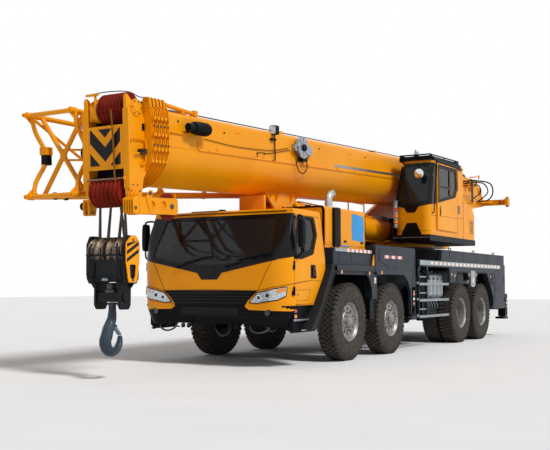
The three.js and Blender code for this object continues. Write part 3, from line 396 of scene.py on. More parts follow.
def disc(bag, axis, centre, radius, low, high, mat, steps=24, soft=0.0):
    # A short cylinder, its rims rounded by soft.
    if soft:
        profile = [(radius - soft, low), (radius, low + soft), (radius, high - soft), (radius - soft, high)]
    else:
        profile = [(radius, low), (radius, high)]
    turned(bag, axis, centre, profile, mat, steps)


def smoothPath(points, steps=6):
    # A Catmull-Rom curve through the points.
    pts = [Vector(p) for p in points]
    pts = [pts[0] * 2 - pts[1]] + pts + [pts[-1] * 2 - pts[-2]]
    out = []
    for i in range(1, len(pts) - 2):
        a, b, c, d = pts[i - 1 : i + 3]
        for k in range(steps):
            t = k / steps
            square, cube = 2 * a - 5 * b + 4 * c - d, 3 * b - a - 3 * c + d
            out.append(0.5 * (2 * b + (c - a) * t + square * t * t + cube * t**3))
    out.append(pts[-2])
    return out


def tube(bag, points, radius, mat, sides=10, closed=False, flat=1.0):
    # A round bar along the points. radius may be one number or one for each point.
    pts = [Vector(p) for p in points]
    radii = radius if isinstance(radius, (list, tuple)) else [radius] * len(pts)
    count = len(pts)
    verts, faces = [], []
    side = None
    for i, p in enumerate(pts):
        if closed:
            ahead = (pts[(i + 1) % count] - pts[i - 1]).normalized()
        else:
            ahead = (pts[min(i + 1, count - 1)] - pts[max(i - 1, 0)]).normalized()
        if side is None:
            helper = Vector((0, 0, 1)) if abs(ahead.z) < 0.9 else Vector((1, 0, 0))
            side = ahead.cross(helper).normalized()
        side = (side - ahead * side.dot(ahead)).normalized()
        up = side.cross(ahead)
        for k in range(sides):
            angle = 2 * math.pi * k / sides
            verts.append(p + radii[i] * (side * math.cos(angle) + up * math.sin(angle) * flat))
    last = count if closed else count - 1
    for i in range(last):
        j = (i + 1) % count
        for k in range(sides):
            m = (k + 1) % sides
            faces.append((i * sides + k, j * sides + k, j * sides + m, i * sides + m))
    if not closed:
        faces.append(tuple(range(sides)))
        faces.append(tuple((count - 1) * sides + k for k in range(sides))[::-1])
    put(bag, verts, faces, mat)


def bar(bag, start, end, radius, mat, sides=12):
    tube(bag, [start, end], radius, mat, sides)


def loft(bag, rings, mat, capEnds=True):
    # A closed skin through rings of equal count.
    count = len(rings[0])
    verts = [p for ring in rings for p in ring]
    faces = []
    for r in range(len(rings) - 1):
        for i in range(count):
            j = (i + 1) % count
            faces.append((r * count + i, r * count + j, (r + 1) * count + j, (r + 1) * count + i))
    if capEnds:
        faces.append(tuple(range(count))[::-1])
        faces.append(tuple((len(rings) - 1) * count + i for i in range(count)))
    put(bag, verts, faces, mat)


def moved(bag, matrix):
    # A copy of the bag under a matrix, turned right side out again if it mirrors.
    flip = matrix.determinant() < 0
    return [([matrix @ v for v in verts], [f[::-1] for f in faces] if flip else faces, mat) for verts,
        faces, mat in bag]


def boltsOn(bag, axis, places, radius, low, high, mat, sides=6):
    # places are (u, v) points in the plane across the axis.
    for u, v in places:
        disc(bag, axis, axisOrder[axis](u, v, 0), radius, low, high, mat, sides)


def makePiece(name, bag, body, place=ground, nodes=(), soften=0.0, sharp=42, segments=2):
    # One object from a bag: its edges softened by a bevel, smooth where faces meet gently.
    names = []
    for _, _, mat in bag:
        if mat not in names:
            names.append(mat)
    joined = bmesh.new()
    for verts, faces, mat in bag:
        made = [joined.verts.new(place @ v) for v in verts]
        for f in faces:
            try:
                face = joined.faces.new([made[i] for i in f])
            except ValueError:
                continue
            face.material_index = names.index(mat)
    if place.determinant() < 0:
        bmesh.ops.reverse_faces(joined, faces=joined.faces[:])
    bmesh.ops.recalc_face_normals(joined, faces=joined.faces[:])
    if soften:
        wanted = []
        for edge in joined.edges:
            crisp = len(edge.link_faces) == 2 and edge.calc_face_angle(0) > math.radians(sharp)
            if crisp and edge.calc_length() > soften * 1.5:
                wanted.append(edge)
        bmesh.ops.bevel(joined, geom=wanted, offset=soften, segments=segments, profile=0.5,
            affect="EDGES", clamp_overlap=True)
    for face in joined.faces:
        face.smooth = True
    for edge in joined.edges:
        edge.smooth = len(edge.link_faces) != 2 or edge.calc_face_angle(0) < math.radians(sharp)
    mesh = bpy.data.meshes.new(name)
    joined.to_mesh(mesh)
    joined.free()
    for mat in names:
        mesh.materials.append(mats[mat])
    piece = bpy.data.objects.new(name, mesh)
    bpy.context.scene.collection.objects.link(piece)
    weighted = piece.modifiers.new("flatFaces", "WEIGHTED_NORMAL")
    weighted.keep_sharp = True
    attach(piece, body)
    if nodes:
        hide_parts(*nodes)
    return piece


# A curved plate: an outline with holes, laid on the surface place(u, v, depth) and given its
# thickness from depth to depth + thick.
def skin(bag, outline, place, thick, mat, holes=(), step=0.07, depth=0.0):
    loops = [list(outline)] + [list(h) for h in holes]
    sheet = bmesh.new()
    corners = [sheet.verts.new((u, v, 0)) for loop in loops for u, v in loop]
    for t in tessellate_polygon([[(u, v, 0) for u, v in loop] for loop in loops]):
        sheet.faces.new([corners[i] for i in t])
    for k, normal in ((0, (1, 0, 0)), (1, (0, 1, 0))):
        low, high = min(p[k] for p in outline), max(p[k] for p in outline)
        count = int((high - low) / step)
        for i in range(1, count + 1):
            at = low + (high - low) * i / (count + 1)
            geom = sheet.verts[:] + sheet.edges[:] + sheet.faces[:]
            bmesh.ops.bisect_plane(sheet, geom=geom, plane_co=[c * at for c in normal], plane_no=normal)
    sheet.verts.index_update()
    outer = [Vector(place(v.co.x, v.co.y, depth)) for v in sheet.verts]
    inner = [Vector(place(v.co.x, v.co.y, depth + thick)) for v in sheet.verts]
    count = len(outer)
    faces = [tuple(v.index for v in f.verts) for f in sheet.faces]
    faces += [tuple(v.index + count for v in f.verts)[::-1] for f in sheet.faces]
    for e in sheet.edges:
        if len(e.link_faces) == 1:
            a, b = e.verts[0].index, e.verts[1].index
            faces.append((a, b, b + count, a + count))
    sheet.free()
    put(bag, outer + inner, faces, mat)


def strip(points, wide):
    # The outline of a flat band along points.
    pts = [Vector(p) for p in points]
    left, right = [], []
    for i, p in enumerate(pts):
        ahead = (pts[min(i + 1, len(pts) - 1)] - pts[max(i - 1, 0)]).normalized()
        side = Vector((-ahead.y, ahead.x)) * wide / 2
        left.append(tuple(p + side))
        right.append(tuple(p - side))
    return left + right[::-1]


# An outline made larger or smaller about its middle.
def grown(outline, share):
    u = sum(p[0] for p in outline) / len(outline)
    v = sum(p[1] for p in outline) / len(outline)
    return [(u + (a - u) * share, v + (b - v) * share) for a, b in outline]


def flipped(outline):
    return [(-u, v) for u, v in outline[::-1]]


# A crowned cushion: sides pulled in between its corners, sewn channels, a welt cord round the edge.
def cushionBag(size, channels=3, crown=0.03):
    bag = []
    sx, sy, sz = (s / 2 for s in size)
    n = 16
    verts, faces = [], []
    for sign in (1, -1):
        base = len(verts)
        for i in range(n + 1):
            for j in range(n + 1):
                u, v = 2 * i / n - 1, 2 * j / n - 1
                pull = 1 - 0.05 * (1 - u**4) * abs(v) ** 3 - 0.05 * (1 - v**4) * abs(u) ** 3
                full = max(0, (1 - u**6) * (1 - v**6))
                off = v * (channels + 1) / 2 - round(v * (channels + 1) / 2)
                sewn = 0.35 * math.exp(-((off / 0.07) ** 2))
                height = sz * (0.45 + 0.55 * full**0.4) + (crown * full * (1 - sewn) if sign > 0 else 0)
                verts.append((sx * u * pull, sy * v * pull, sign * height))
        for i in range(n):
            for j in range(n):
                a = base + i * (n + 1) + j
                faces.append((a, a + n + 1, a + n + 2, a + 1))
    rim = [i * (n + 1) for i in range(n)] + [n * (n + 1) + j for j in range(n)]
    rim += [i * (n + 1) + n for i in range(n, 0, -1)] + list(range(n, 0, -1))
    half = (n + 1) ** 2
    faces += [(a, rim[(k + 1) % len(rim)], rim[(k + 1) % len(rim)] + half, a + half) for k,
        a in enumerate(rim)]
    put(bag, verts, faces, "cloth")
    tube(bag, [verts[i] for i in rim], 0.006, "black", 6, closed=True)
    return bag


# Wheels. Profiles are (radius, x) with x from the middle of the tyre, outward.
tyreFacts = {
    "radius": 0.588,
    "half": 0.154,
    "blocks": 46,
    "blockDepth": 0.024,
    "nuts": 10,
    "handHoles": 10,
    "frontX": 1.15,
    "rearOuterX": 1.325,
}


def tyreBag(middleX):
    bag = []
    top, half = tyreFacts["radius"], tyreFacts["half"]
    base = top - tyreFacts["blockDepth"]
    wall = [
        (0.290, half - 0.032),
        (0.300, half - 0.016),
        (0.318, half - 0.006),
        (0.330, half - 0.010),
        (0.370, half - 0.002),
        (0.420, half),
        (0.424, half + 0.003),
        (0.434, half + 0.003),
        (0.438, half),
        (0.480, half - 0.003),
        (0.520, half - 0.010),
        (base - 0.016, half - 0.024),
        (base, half - 0.040),
    ]
    profile = [(r, middleX + x) for r, x in wall] + [(r, middleX - x) for r, x in wall[::-1]]
    turned(bag, "x", (0, 0, 0), profile + [profile[0]], "tyre", 64, caps=False)
    # Rows of tread blocks: two shoulders and three between, as (from, to, lag, share of the pitch).
    rows = [
        (0.078, 0.128, 0.0, 0.62),
        (-0.128, -0.078, 0.5, 0.62),
        (0.028, 0.070, 0.5, 0.7),
        (-0.021, 0.021, 0.0, 0.7),
        (-0.070, -0.028, 0.5, 0.7),
    ]
    pitch = 2 * math.pi / tyreFacts["blocks"]
    for i in range(tyreFacts["blocks"]):
        for row, (x0, x1, lag, fill) in enumerate(rows):
            start = (i + lag) * pitch
            angles = [start - pitch * fill / 2, start + pitch * fill / 2]
            verts = []
            skew = 0.18 * pitch * (1 if row % 2 else -1)
            for r in (base - 0.004, top):
                for x in (x0, x1):
                    for a in angles:
                        turn = a + (skew if x == x1 else -skew) * (row > 1)
                        verts.append((middleX + x, r * math.cos(turn), r * math.sin(turn)))
            put(bag, verts, boxFaces, "tyre")
        # Shoulder lugs run down the side wall.
        lug = [(top - 0.001, 0.124), (0.574, 0.137), (0.538, 0.149), (0.530, 0.142), (0.556, 0.120)]
        for side in (1, -1):
            start = (i + (0 if side > 0 else 0.5)) * pitch
            verts = []
            for a in (start - pitch * 0.27, start + pitch * 0.27):
                for r, x in lug:
                    verts.append((middleX + side * x, r * math.cos(a), r * math.sin(a)))
            faces = [(0, 1, 2, 3, 4), (9, 8, 7, 6, 5)]
            faces += [(k, (k + 1) % 5, (k + 1) % 5 + 5, k + 5) for k in range(5)]
            put(bag, verts, faces, "tyre")
    return bag


def rimBag(outerX, discX, hubX, hubRadius, flange=0.306, depth=0.26):
    # The well and flange, then a disc with hand holes, a hub and its nuts.
    bag = []
    well = [
        (flange, outerX),
        (flange + 0.004, outerX - 0.008),
        (flange - 0.002, outerX - 0.016),
        (0.286, outerX - 0.024),
        (0.283, outerX - depth + 0.02),
        (flange - 0.004, outerX - depth + 0.012),
        (flange - 0.004, outerX - depth),
        (0.268, outerX - depth),
        (0.252, discX - 0.05),
        (0.252, discX - 0.02),
        (0.262, outerX - 0.03),
        (0.288, outerX - 0.012),
        (0.296, outerX),
        (flange, outerX),
    ]
    turned(bag, "x", (0, 0, 0), well, "silver", 56, caps=False)
    holes = []
    for n in range(tyreFacts["handHoles"]):
        middle = 2 * math.pi * (n + 0.5) / tyreFacts["handHoles"]
        around = ringPoints(1, 12)
        turns = [(0.196 + 0.020 * v, middle + 0.135 * u) for u, v in around]
        holes.append([(r * math.cos(a), r * math.sin(a)) for r, a in turns])
    slab(bag, "x", ringPoints(0.253, 60), discX - 0.012, discX, "silver", holes)
    shape = [
        (hubRadius + 0.078, discX - 0.004),
        (hubRadius + 0.066, discX + 0.010),
        (hubRadius + 0.020, discX + 0.012),
        (hubRadius + 0.004, discX + 0.020),
        (hubRadius, hubX - 0.022),
        (hubRadius - 0.012, hubX - 0.012),
        (hubRadius * 0.62, hubX - 0.008),
        (hubRadius * 0.58, hubX),
        (hubRadius * 0.2, hubX + 0.003),
    ]
    turned(bag, "x", (0, 0, 0), shape, "silver", 40)
    nuts = ringPoints(hubRadius + 0.044, tyreFacts["nuts"])
    boltsOn(bag, "x", nuts, 0.019, discX + 0.008, discX + 0.024, "silver")
    boltsOn(bag, "x", nuts, 0.010, discX + 0.02, discX + 0.042, "steel", 8)
    caps = ringPoints(hubRadius * 0.78, tyreFacts["nuts"], turn=math.pi / tyreFacts["nuts"])
    boltsOn(bag, "x", caps, 0.008, hubX - 0.012, hubX - 0.002, "steel")
    disc(bag, "x", (0, 0.24, 0.02), 0.006, discX, discX + 0.05, "rubber", 8)
    return bag


def makeWheels():
    frontX, outerX = tyreFacts["frontX"], tyreFacts["rearOuterX"]
    tyreShape, frontRim = tyreBag(frontX), rimBag(frontX + 0.132, frontX + 0.088, frontX + 0.158, 0.098)
    twinTyres = tyreBag(outerX - 0.150) + tyreBag(outerX - 0.499)
    twinRim = rimBag(outerX - 0.018, outerX - 0.235, outerX - 0.118, 0.118)
    turned(twinRim, "x", (0, 0, 0), [(0.29, outerX - 0.27), (0.29, outerX - 0.64), (0.26, outerX - 0.64),
        (0.26, outerX - 0.27), (0.29, outerX - 0.27)], "silver", 40, caps=False)
    for number, nodeY in [(n,
            middleOf(f"twin_wheel_{n}_left" if n > 2 else f"tyre_{n}_left").y) for n in (1, 2, 3, 4)]:
        for side in ("left", "right"):
            place = Matrix.Translation((0, nodeY, 0.59))
            if side == "right":
                place = place @ mirrorAll
            body = f"wheel_{number}_{side}"
            if number < 3:
                makePiece(f"tyre_{number}_{side}_treaded", tyreShape, body, place,
                    [f"tyre_{number}_{side}"])
                makePiece(f"rim_{number}_{side}_drilled", frontRim, body, place, [f"rim_{number}_{side}"],
                    0.003)
            else:
                makePiece(f"tyres_{number}_{side}_treaded", twinTyres, body, place,
                    [f"twin_wheel_{number}_{side}"])
                makePiece(f"rim_{number}_{side}_dished", twinRim, body, place, (), 0.003)


makeWheels()
print("wheels made")


# Boom sections, with x across, y along and z up from the foot pin.
boomFacts = {
    "half": 0.45,
    "top": 0.56,
    "bottom": -0.37,
    "seam": 0.1,
    "corner": 0.075,
    "wall": 0.014,
    "step": 0.032,
    "rear": 0.25,
    "front": -10.5,
    "collarPitch": 0.07,
    "collarThick": 0.04,
    "collarProud": 0.026,
}


def boomOutline(shrink, steps=20):
    half = boomFacts["half"] - shrink
    top, bottom, seam = boomFacts["top"] - shrink, boomFacts["bottom"] + shrink, boomFacts["seam"]
    corner = boomFacts["corner"]
    arc = [(half - corner * (1 - math.cos(a)), top - corner * (1 - math.sin(a))) for a in
           [math.pi / 2 * (1 - k / 4) for k in range(5)]]
    bowl = [(half * math.cos(math.pi * k / steps), seam - (seam - bottom) * math.sin(math.pi * k / steps))
            for k in range(steps + 1)]
    left = [(-x, z) for x, z in arc[::-1]]
    return arc + bowl + left


def sleeve(bag, shrink, wall, y0, y1, mat="yellow"):
    slab(bag, "y", boomOutline(shrink), y0, y1, mat, [boomOutline(shrink + wall)])


def collarBag(index):
    # A ring with a thin lip before and behind it, rope guides on top and lugs down the sides.
    bag = []
    shrink = index * boomFacts["step"]
    front = boomFacts["front"] - index * boomFacts["collarPitch"]
    back = front + boomFacts["collarThick"]
    proud = boomFacts["collarProud"] - index * 0.004
    inner = shrink + boomFacts["wall"]
    slab(bag, "y", boomOutline(-proud + 0.012), front, back, "yellow", [boomOutline(inner)])
    slab(bag, "y", boomOutline(-proud - 0.008), front + 0.012, front + 0.026, "yellow", [boomOutline(inner)])
    top = boomFacts["top"]
    for side in (1, -1):
        for x0, x1, high in [(0.30, 0.43, 0.13), (0.06, 0.14, 0.10)]:
            ear = rounded([(x0, top), (x0 + 0.012, top + high), (x1 - 0.012, top + high), (x1, top)],
                [0, 0.05, 0.05, 0], 5)
            hole = ringPoints(0.022, 10, ((x0 + x1) / 2, top + high - 0.045))
            slab(bag, "y", [(side * x, z) for x, z in ear], front + 0.004, back - 0.004, "yellow",
                 [[(side * x, z) for x, z in hole]])
        bar(bag, (side * 0.29, (front + back) / 2, top + 0.075),
            (side * 0.13, (front + back) / 2, top + 0.075), 0.011, "steel", 8)
        for z in (0.40, 0.20, 0.02, -0.12):
            reach = boomFacts["half"] + 0.022 if z > 0.1 else boomFacts["half"] * math.sqrt(
                1 - ((boomFacts["seam"] - z) / 0.47) ** 2) + 0.024
            block(bag, (side * (reach - 0.02), side * (reach + 0.026)), (front + 0.006, back - 0.010),
                (z, z + 0.05), "yellow")
            disc(bag, "y", (side * (reach + 0.012), 0, z + 0.025), 0.013, front - 0.008, back + 0.004,
                "yellow", 8)
        for z in (0.33, 0.10):
            disc(bag, "x", (0, front + 0.019, z), 0.012, side * (boomFacts["half"] + 0.018),
                side * (boomFacts["half"] + 0.034), "steel", 6)
    return bag


def makeBoomBase():
    bag = collarBag(0)
    sleeve(bag, 0, boomFacts["wall"], boomFacts["front"] + 0.02, boomFacts["rear"])
    slab(bag, "y", boomOutline(0.005), boomFacts["rear"] - 0.02, boomFacts["rear"], "yellow",
         [rect(-0.2, 0.2, -0.12, 0.3)])
    half = boomFacts["half"]
    for side in (1, -1):
        turned(bag, "x", (0, 0, 0), [(0.19, side * (half - 0.014)), (0.19, side * 0.49),
            (0.12, side * 0.4995)], "yellow", 36)
        # The long seam weld where side plate meets bowl, and the doubler strip over it.
        block(bag, (side * (half - 0.004), side * (half + 0.006)), (boomFacts["front"] + 0.1, -0.35),
            (0.105, 0.117), "yellow")
        for y, z in [(-8.9, 0.43), (-5.3, 0.43), (-2.2, 0.46)]:
            for k in range(3):
                disc(bag, "x", (0, y + 0.05 * k, z), 0.009, side * half, side * (half + 0.012), "yellow", 6)
        for y in (-9.4, -8.2, -7.0, -5.8, -4.6, -3.4, -2.2, -1.0):
            tube(bag, [(side * half, y, 0.13), (side * (half + 0.03), y, 0.135),
                (side * (half + 0.034), y, 0.16), (side * (half + 0.01), y, 0.17)], 0.006, "yellow", 6)
    # Lugs that the lift cylinder's eye hangs from, with their doubler plates and gussets.
    dy, dz = -0.15 - boomFoot[0], 2.31 - boomFoot[1]
    pinY = dy * math.cos(boomSlope) + dz * math.sin(boomSlope)
    pinZ = -dy * math.sin(boomSlope) + dz * math.cos(boomSlope)
    for side in (1, -1):
        lug = rounded([(pinY - 0.52, -0.33), (pinY - 0.13, pinZ - 0.075), (pinY + 0.10, pinZ - 0.095),
            (pinY + 0.56, -0.33), (pinY + 0.56, -0.24), (pinY - 0.52, -0.24)],
            [0.02, 0.12, 0.12, 0.02, 0, 0], 5)
        slab(bag, "x", lug, side * 0.148, side * 0.188, "yellow")
        disc(bag, "x", (0, pinY, pinZ), 0.115, side * 0.188, side * 0.204, "yellow", 32, 0.003)
        disc(bag, "x", (0, pinY, pinZ), 0.062, side * 0.2, side * 0.222, "steel", 28, 0.004)
        block(bag, (side * 0.2, side * 0.235), (pinY - 0.05, pinY + 0.05), (pinZ + 0.055, pinZ + 0.075),
            "yellow")
        for y in (-0.4, -0.22, 0.24, 0.42):
            rib = [(side * 0.188, -0.34), (side * 0.188, pinZ + 0.12), (side * 0.27, -0.33)]
            if abs(y) > 0.3:
                rib[1] = (side * 0.188, -0.42)
            slab(bag, "y", rib, pinY + y, pinY + y + 0.014, "yellow")
    makePiece("boom_base_welded", bag, "boom_base", boomPlace, ["boom_base"], 0.004)


def makeMiddleSections():
    for index in (1, 2, 3):
        shrink = index * boomFacts["step"]
        bag = collarBag(index)
        rear = -0.6 - index * 0.04
        front = boomFacts["front"] - index * boomFacts["collarPitch"]
        sleeve(bag, shrink, boomFacts["wall"], front + 0.02, rear)
        sleeve(bag, shrink - 0.015, 0.014, rear - 0.06, rear, "black")
        name = f"boom_section_{index + 1}"
        makePiece(name + "_welded", bag, name, boomPlace, [name], 0.004)


makeBoomBase()
makeMiddleSections()
print("boom sections made")

# The head of the last section: two cheek plates, two packs of sheaves and the shield between.
headFacts = {
    "inner": 0.290,
    "outer": 0.330,
    "front": -11.11,
    "rear": -10.745,
    "upper": {"y": -10.925, "z": 0.545, "radius": 0.196, "x": (-0.12, 0.24), "count": 6},
    "lower": {"y": -10.985, "z": -0.465, "radius": 0.188, "x": (-0.235, 0.235), "count": 7},
}


def sheavePack(bag, facts, mat):
    low, high = facts["x"]
    wide = (high - low) / facts["count"]
    radius = facts["radius"]
    centre = (0, facts["y"], facts["z"])
    for i in range(facts["count"]):
        x = low + wide * i
        profile = [(0.07, x + 0.004), (radius - 0.06, x + 0.006), (radius - 0.05, x + 0.002),
            (radius - 0.004, x + 0.002), (radius, x + 0.006), (radius - 0.004, x + wide * 0.24),
            (radius - 0.034, x + wide * 0.42), (radius - 0.034, x + wide * 0.58),
            (radius - 0.004, x + wide * 0.76), (radius, x + wide - 0.006),
            (radius - 0.004, x + wide - 0.002), (radius - 0.05, x + wide - 0.002),
            (radius - 0.06, x + wide - 0.006), (0.07, x + wide - 0.004),]
        turned(bag, "x", centre, profile, mat, 40)
    disc(bag, "x", centre, 0.055, low - 0.03, high + 0.03, "steel", 20)


def makeHead():
    bag = collarBag(4)
    shrink = 4 * boomFacts["step"]
    front = boomFacts["front"] - 4 * boomFacts["collarPitch"]
    sleeve(bag, shrink, boomFacts["wall"], front - 0.02, -0.76)
    sleeve(bag, shrink - 0.015, 0.014, -0.82, -0.76, "black")
    rear, face, inner, outer = headFacts["rear"], headFacts["front"], headFacts["inner"], headFacts["outer"]
    cheek = rounded([(rear, 0.38), (rear - 0.10, 0.56), (face + 0.12, 0.61), (face + 0.015, 0.70),
        (face, 0.64), (face, -0.52), (face + 0.06, -0.57), (rear - 0.11, -0.57), (rear - 0.06, -0.30),
        (rear, -0.24)], [0.03, 0.06, 0.10, 0.03, 0.03, 0.05, 0.05, 0.06, 0.05, 0.02], 4)
    for side in (1, -1):
        slab(bag, "x", cheek, side * inner, side * outer, "yellow")
        # Edge flange along the front and doubler discs at the pins.
        flange = rounded([(face - 0.004, 0.52), (face - 0.004, -0.44), (face + 0.022, -0.44),
            (face + 0.022, 0.52)], 0.008, 2)
        slab(bag, "x", flange, side * (inner - 0.012), side * (outer + 0.034), "yellow")
        for pin in (headFacts["upper"], headFacts["lower"]):
            disc(bag, "x", (0, pin["y"], pin["z"]), 0.105, side * outer, side * (outer + 0.012), "yellow",
                32, 0.002)
            disc(bag, "x", (0, pin["y"], pin["z"]), 0.055, side * (outer + 0.010), side * (outer + 0.018),
                "yellow", 24, 0.003)
            boltsOn(bag, "x", ringPoints(0.082, 6, (pin["y"], pin["z"])), 0.009, side * (outer + 0.012),
                side * (outer + 0.022), "steel")
        rib = [(rear - 0.02, 0.02), (rear - 0.26, -0.04), (rear - 0.26, -0.026), (rear - 0.02, 0.034)]
        slab(bag, "x", rib, side * outer, side * (outer + 0.008), "yellow")
        # Box that carries the cheeks back to the tube.
        slab(bag, "y", [(side * (outer - 0.02), 0.40), (side * outer, 0.40), (side * outer, -0.22),
            (side * (outer - 0.02), -0.22)], rear - 0.02, front + 0.01, "yellow")
    block(bag, (outer, outer + 0.012), (rear - 0.005, rear - 0.075), (0.28, 0.36), "black")
    # Pipe loop, lever and its bracket on the left cheek.
    x = outer + 0.03
    tube(bag, smoothPath([(x, rear - 0.30, 0.13), (x, rear - 0.33, 0.15), (x, rear - 0.30, 0.17),
        (x, rear - 0.12, 0.17), (x, rear - 0.05, 0.15), (x, rear - 0.05, -0.05), (x, rear - 0.07, -0.12),
        (x, rear - 0.12, -0.14)]), 0.011, "yellow", 8)
    bar(bag, (outer, rear - 0.30, 0.13), (x, rear - 0.30, 0.13), 0.010, "yellow", 8)
    bar(bag, (outer, rear - 0.12, -0.14), (x, rear - 0.12, -0.14), 0.010, "yellow", 8)
    block(bag, (outer, outer + 0.05), (rear - 0.13, rear - 0.05), (-0.02, 0.05), "steel")
    tube(bag, [(outer + 0.045, rear - 0.09, 0.02), (outer + 0.06, rear - 0.22, 0.015)], 0.010, "black", 8)
    disc(bag, "x", (0, rear - 0.22, 0.015), 0.02, outer + 0.05, outer + 0.075, "black", 12, 0.004)
    # Guide post with a rope along the top of the left cheek.
    bar(bag, (-0.17, face + 0.03, 0.55), (-0.17, face + 0.03, 0.74), 0.016, "yellow", 10)
    block(bag, (-0.31, -0.13), (face + 0.01, face + 0.05), (0.715, 0.74), "yellow")
    tube(bag, smoothPath([(-0.29, face + 0.03, 0.735), (-0.02, face + 0.08, 0.755),
        (0.2, face + 0.2, 0.752), (0.26, rear - 0.02, 0.70), (0.26, rear + 0.16, 0.72)]), 0.007, "rope",
        6)
    # Curved rope guard beside the upper pack, on the right.
    guard = rounded([(face + 0.02, 0.40), (face + 0.02, 0.62), (face + 0.16, 0.72), (face + 0.26, 0.62),
        (face + 0.26, 0.42)], [0.02, 0.10, 0.10, 0.08, 0.02], 5)
    slab(bag, "x", guard, -0.255, -0.235, "yellow")
    turned(bag, "x", (0, face + 0.14, 0.52), [(0.13, -0.235), (0.13, -0.15), (0.12, -0.148),
        (0.12, -0.233)], "yellow", 28)
    makePiece("boom_section_5_head", bag, "boom_section_5", boomPlace, ["boom_section_5"],
        0.004)

    bag = []
    sheavePack(bag, headFacts["upper"], "red")
    sheavePack(bag, headFacts["lower"], "red")
    # Rope lying in the grooves, over the top pack and under the shield.
    for facts, start, stop in [(headFacts["upper"], 0.1, 3.4), (headFacts["lower"], 2.4, 4.9)]:
        low, high = facts["x"]
        wide = (high - low) / facts["count"]
        for i in range(facts["count"]):
            x = low + wide * (i + 0.5)
            r = facts["radius"] - 0.026
            angles = [start + (stop - start) * k / 14 for k in range(15)]
            line = [(x, facts["y"] + r * math.cos(a), facts["z"] + r * math.sin(a)) for a in angles]
            tube(bag, line, 0.010, "red", 6)
    makePiece("head_sheaves", bag, "boom_section_5", boomPlace, ())

    # Shield with chevrons between the packs.
    bag = []
    slab(bag, "y", rounded(rect(-0.287, 0.287, -0.20, 0.33), 0.03, 3), face, face + 0.025, "yellow")
    slab(bag, "y", rounded(rect(-0.245, 0.245, -0.155, 0.30), 0.03, 3), face - 0.004, face + 0.002, "yellow")
    w, low, high = 0.240, -0.150, 0.295
    chevrons = [[(-0.11, high), (0.11, high), (0, high - 0.11)],
        [(-w, high), (-w + 0.02, high), (0, 0.075), (w - 0.02, high), (w, high), (w, 0.13), (0, -0.105),
        (-w, 0.13)], [(-w, 0.015), (-0.075, low), (-w, low)], [(w, 0.015), (w, low), (0.075, low)],]
    for shape in chevrons:
        slab(bag, "y", shape, face - 0.006, face - 0.003, "blackGloss")
    bar(bag, (-0.30, face - 0.015, -0.315), (0.30, face - 0.015, -0.315), 0.011, "brass", 10)
    for side in (1, -1):
        block(bag, (side * 0.288, side * 0.310), (face - 0.03, face + 0.02), (-0.335, -0.295), "yellow")
    # Black sheet behind the slot over the lower pack, as painted shade in the pocket there, and a hanging
    # line down the face.
    block(bag, (-0.285, 0.285), (face + 0.17, face + 0.19), (-0.42, 0.45), "black")
    tube(bag, smoothPath([(0.10, face - 0.01, 0.52), (0.135, face - 0.035, 0.40),
        (0.150, face - 0.03, 0.05), (0.158, face - 0.03, -0.25), (0.16, face - 0.02, -0.34)]), 0.011,
        "rubber", 6)
    makePiece("head_shield", bag, "boom_section_5", boomPlace, (), 0.002)

    # Single-line sheave on its box arm, low on the left.
    bag = []
    tail = -10.33
    x0, x1, z0, z1, nose = 0.336, 0.484, -0.748, -0.542, -11.205
    holes = [ringPoints(0.045, 20, (-10.84, -0.635)), ringPoints(0.045, 20, (-10.62, -0.630))]
    side = rounded([(-11.10, z0), (-10.36, z0), (tail, z0 + 0.04), (tail, z1 - 0.02), (-10.37, z1),
        (-11.10, z1 - 0.012)], [0.01, 0.02, 0.03, 0.03, 0.02, 0.01], 3)
    slab(bag, "x", side, x1 - 0.014, x1, "yellow", holes)
    slab(bag, "x", side, x0, x0 + 0.014, "yellow")
    block(bag, (x0 + 0.01, x1 - 0.01), (-11.10, -10.60), (z1 - 0.016, z1 - 0.002), "yellow")
    block(bag, (x0 + 0.01, x1 - 0.01), (-11.10, -10.60), (z0 + 0.002, z0 + 0.016), "yellow")
    for hole in ((-10.84, -0.635), (-10.62, -0.630)):
        turned(bag, "x", (0, *hole), [(0.045, x1 - 0.05), (0.058, x1 - 0.05), (0.058, x1 + 0.004),
            (0.045, x1 + 0.004), (0.045, x1 - 0.05)], "yellow", 24, caps=False)
        disc(bag, "x", (0, *hole), 0.018, x0 + 0.02, x1 - 0.04, "steel", 12)
    block(bag, (x0 + 0.02, x1 - 0.02), (-10.90, -10.55), (z0 + 0.05, z1 - 0.05), "yellow")
    block(bag, (x0 - 0.012, x1 + 0.008), (-11.10, -11.085), (z0 - 0.012, z1 + 0.02), "yellow")
    for k in range(5):
        x = x0 - 0.005 + (x1 - x0 - 0.004) * k / 4
        plate = rounded([(-11.09, z0 - 0.01), (nose, z0 + 0.01), (nose, z1 - 0.02), (-11.09, z1 + 0.02)],
            0.02, 2)
        slab(bag, "x", plate, x, x + 0.012, "yellow")
    disc(bag, "x", (0, -11.165, z0 + 0.07), 0.02, x0 - 0.01, x1 + 0.012, "steel", 12)
    strap = rounded([(-11.05, -0.575), (-10.99, -0.50), (-10.93, -0.50), (-10.90, z0 + 0.02),
        (-11.05, z0)], 0.02, 2)
    slab(bag, "x", strap, 0.331, 0.345, "yellow")
    slab(bag, "x", [(-10.97, -0.55), (-10.90, -0.46), (-10.84, -0.46), (-10.90, z0 + 0.02)], x1 + 0.002,
        x1 + 0.012, "yellow")
    disc(bag, "x", (0, -10.90, -0.50), 0.022, x1 + 0.002, x1 + 0.028, "steel", 12)
    block(bag, (0.295, 0.40), (-11.03, -10.90), (-0.568, -0.545), "yellow")
    radius = 0.168
    profile = [(0.04, 0.385), (radius - 0.02, 0.391), (radius, 0.391), (radius - 0.006, 0.402),
        (radius - 0.028, 0.407), (radius - 0.028, 0.413), (radius - 0.006, 0.418), (radius, 0.429),
        (radius - 0.02, 0.429), (0.04, 0.435)]
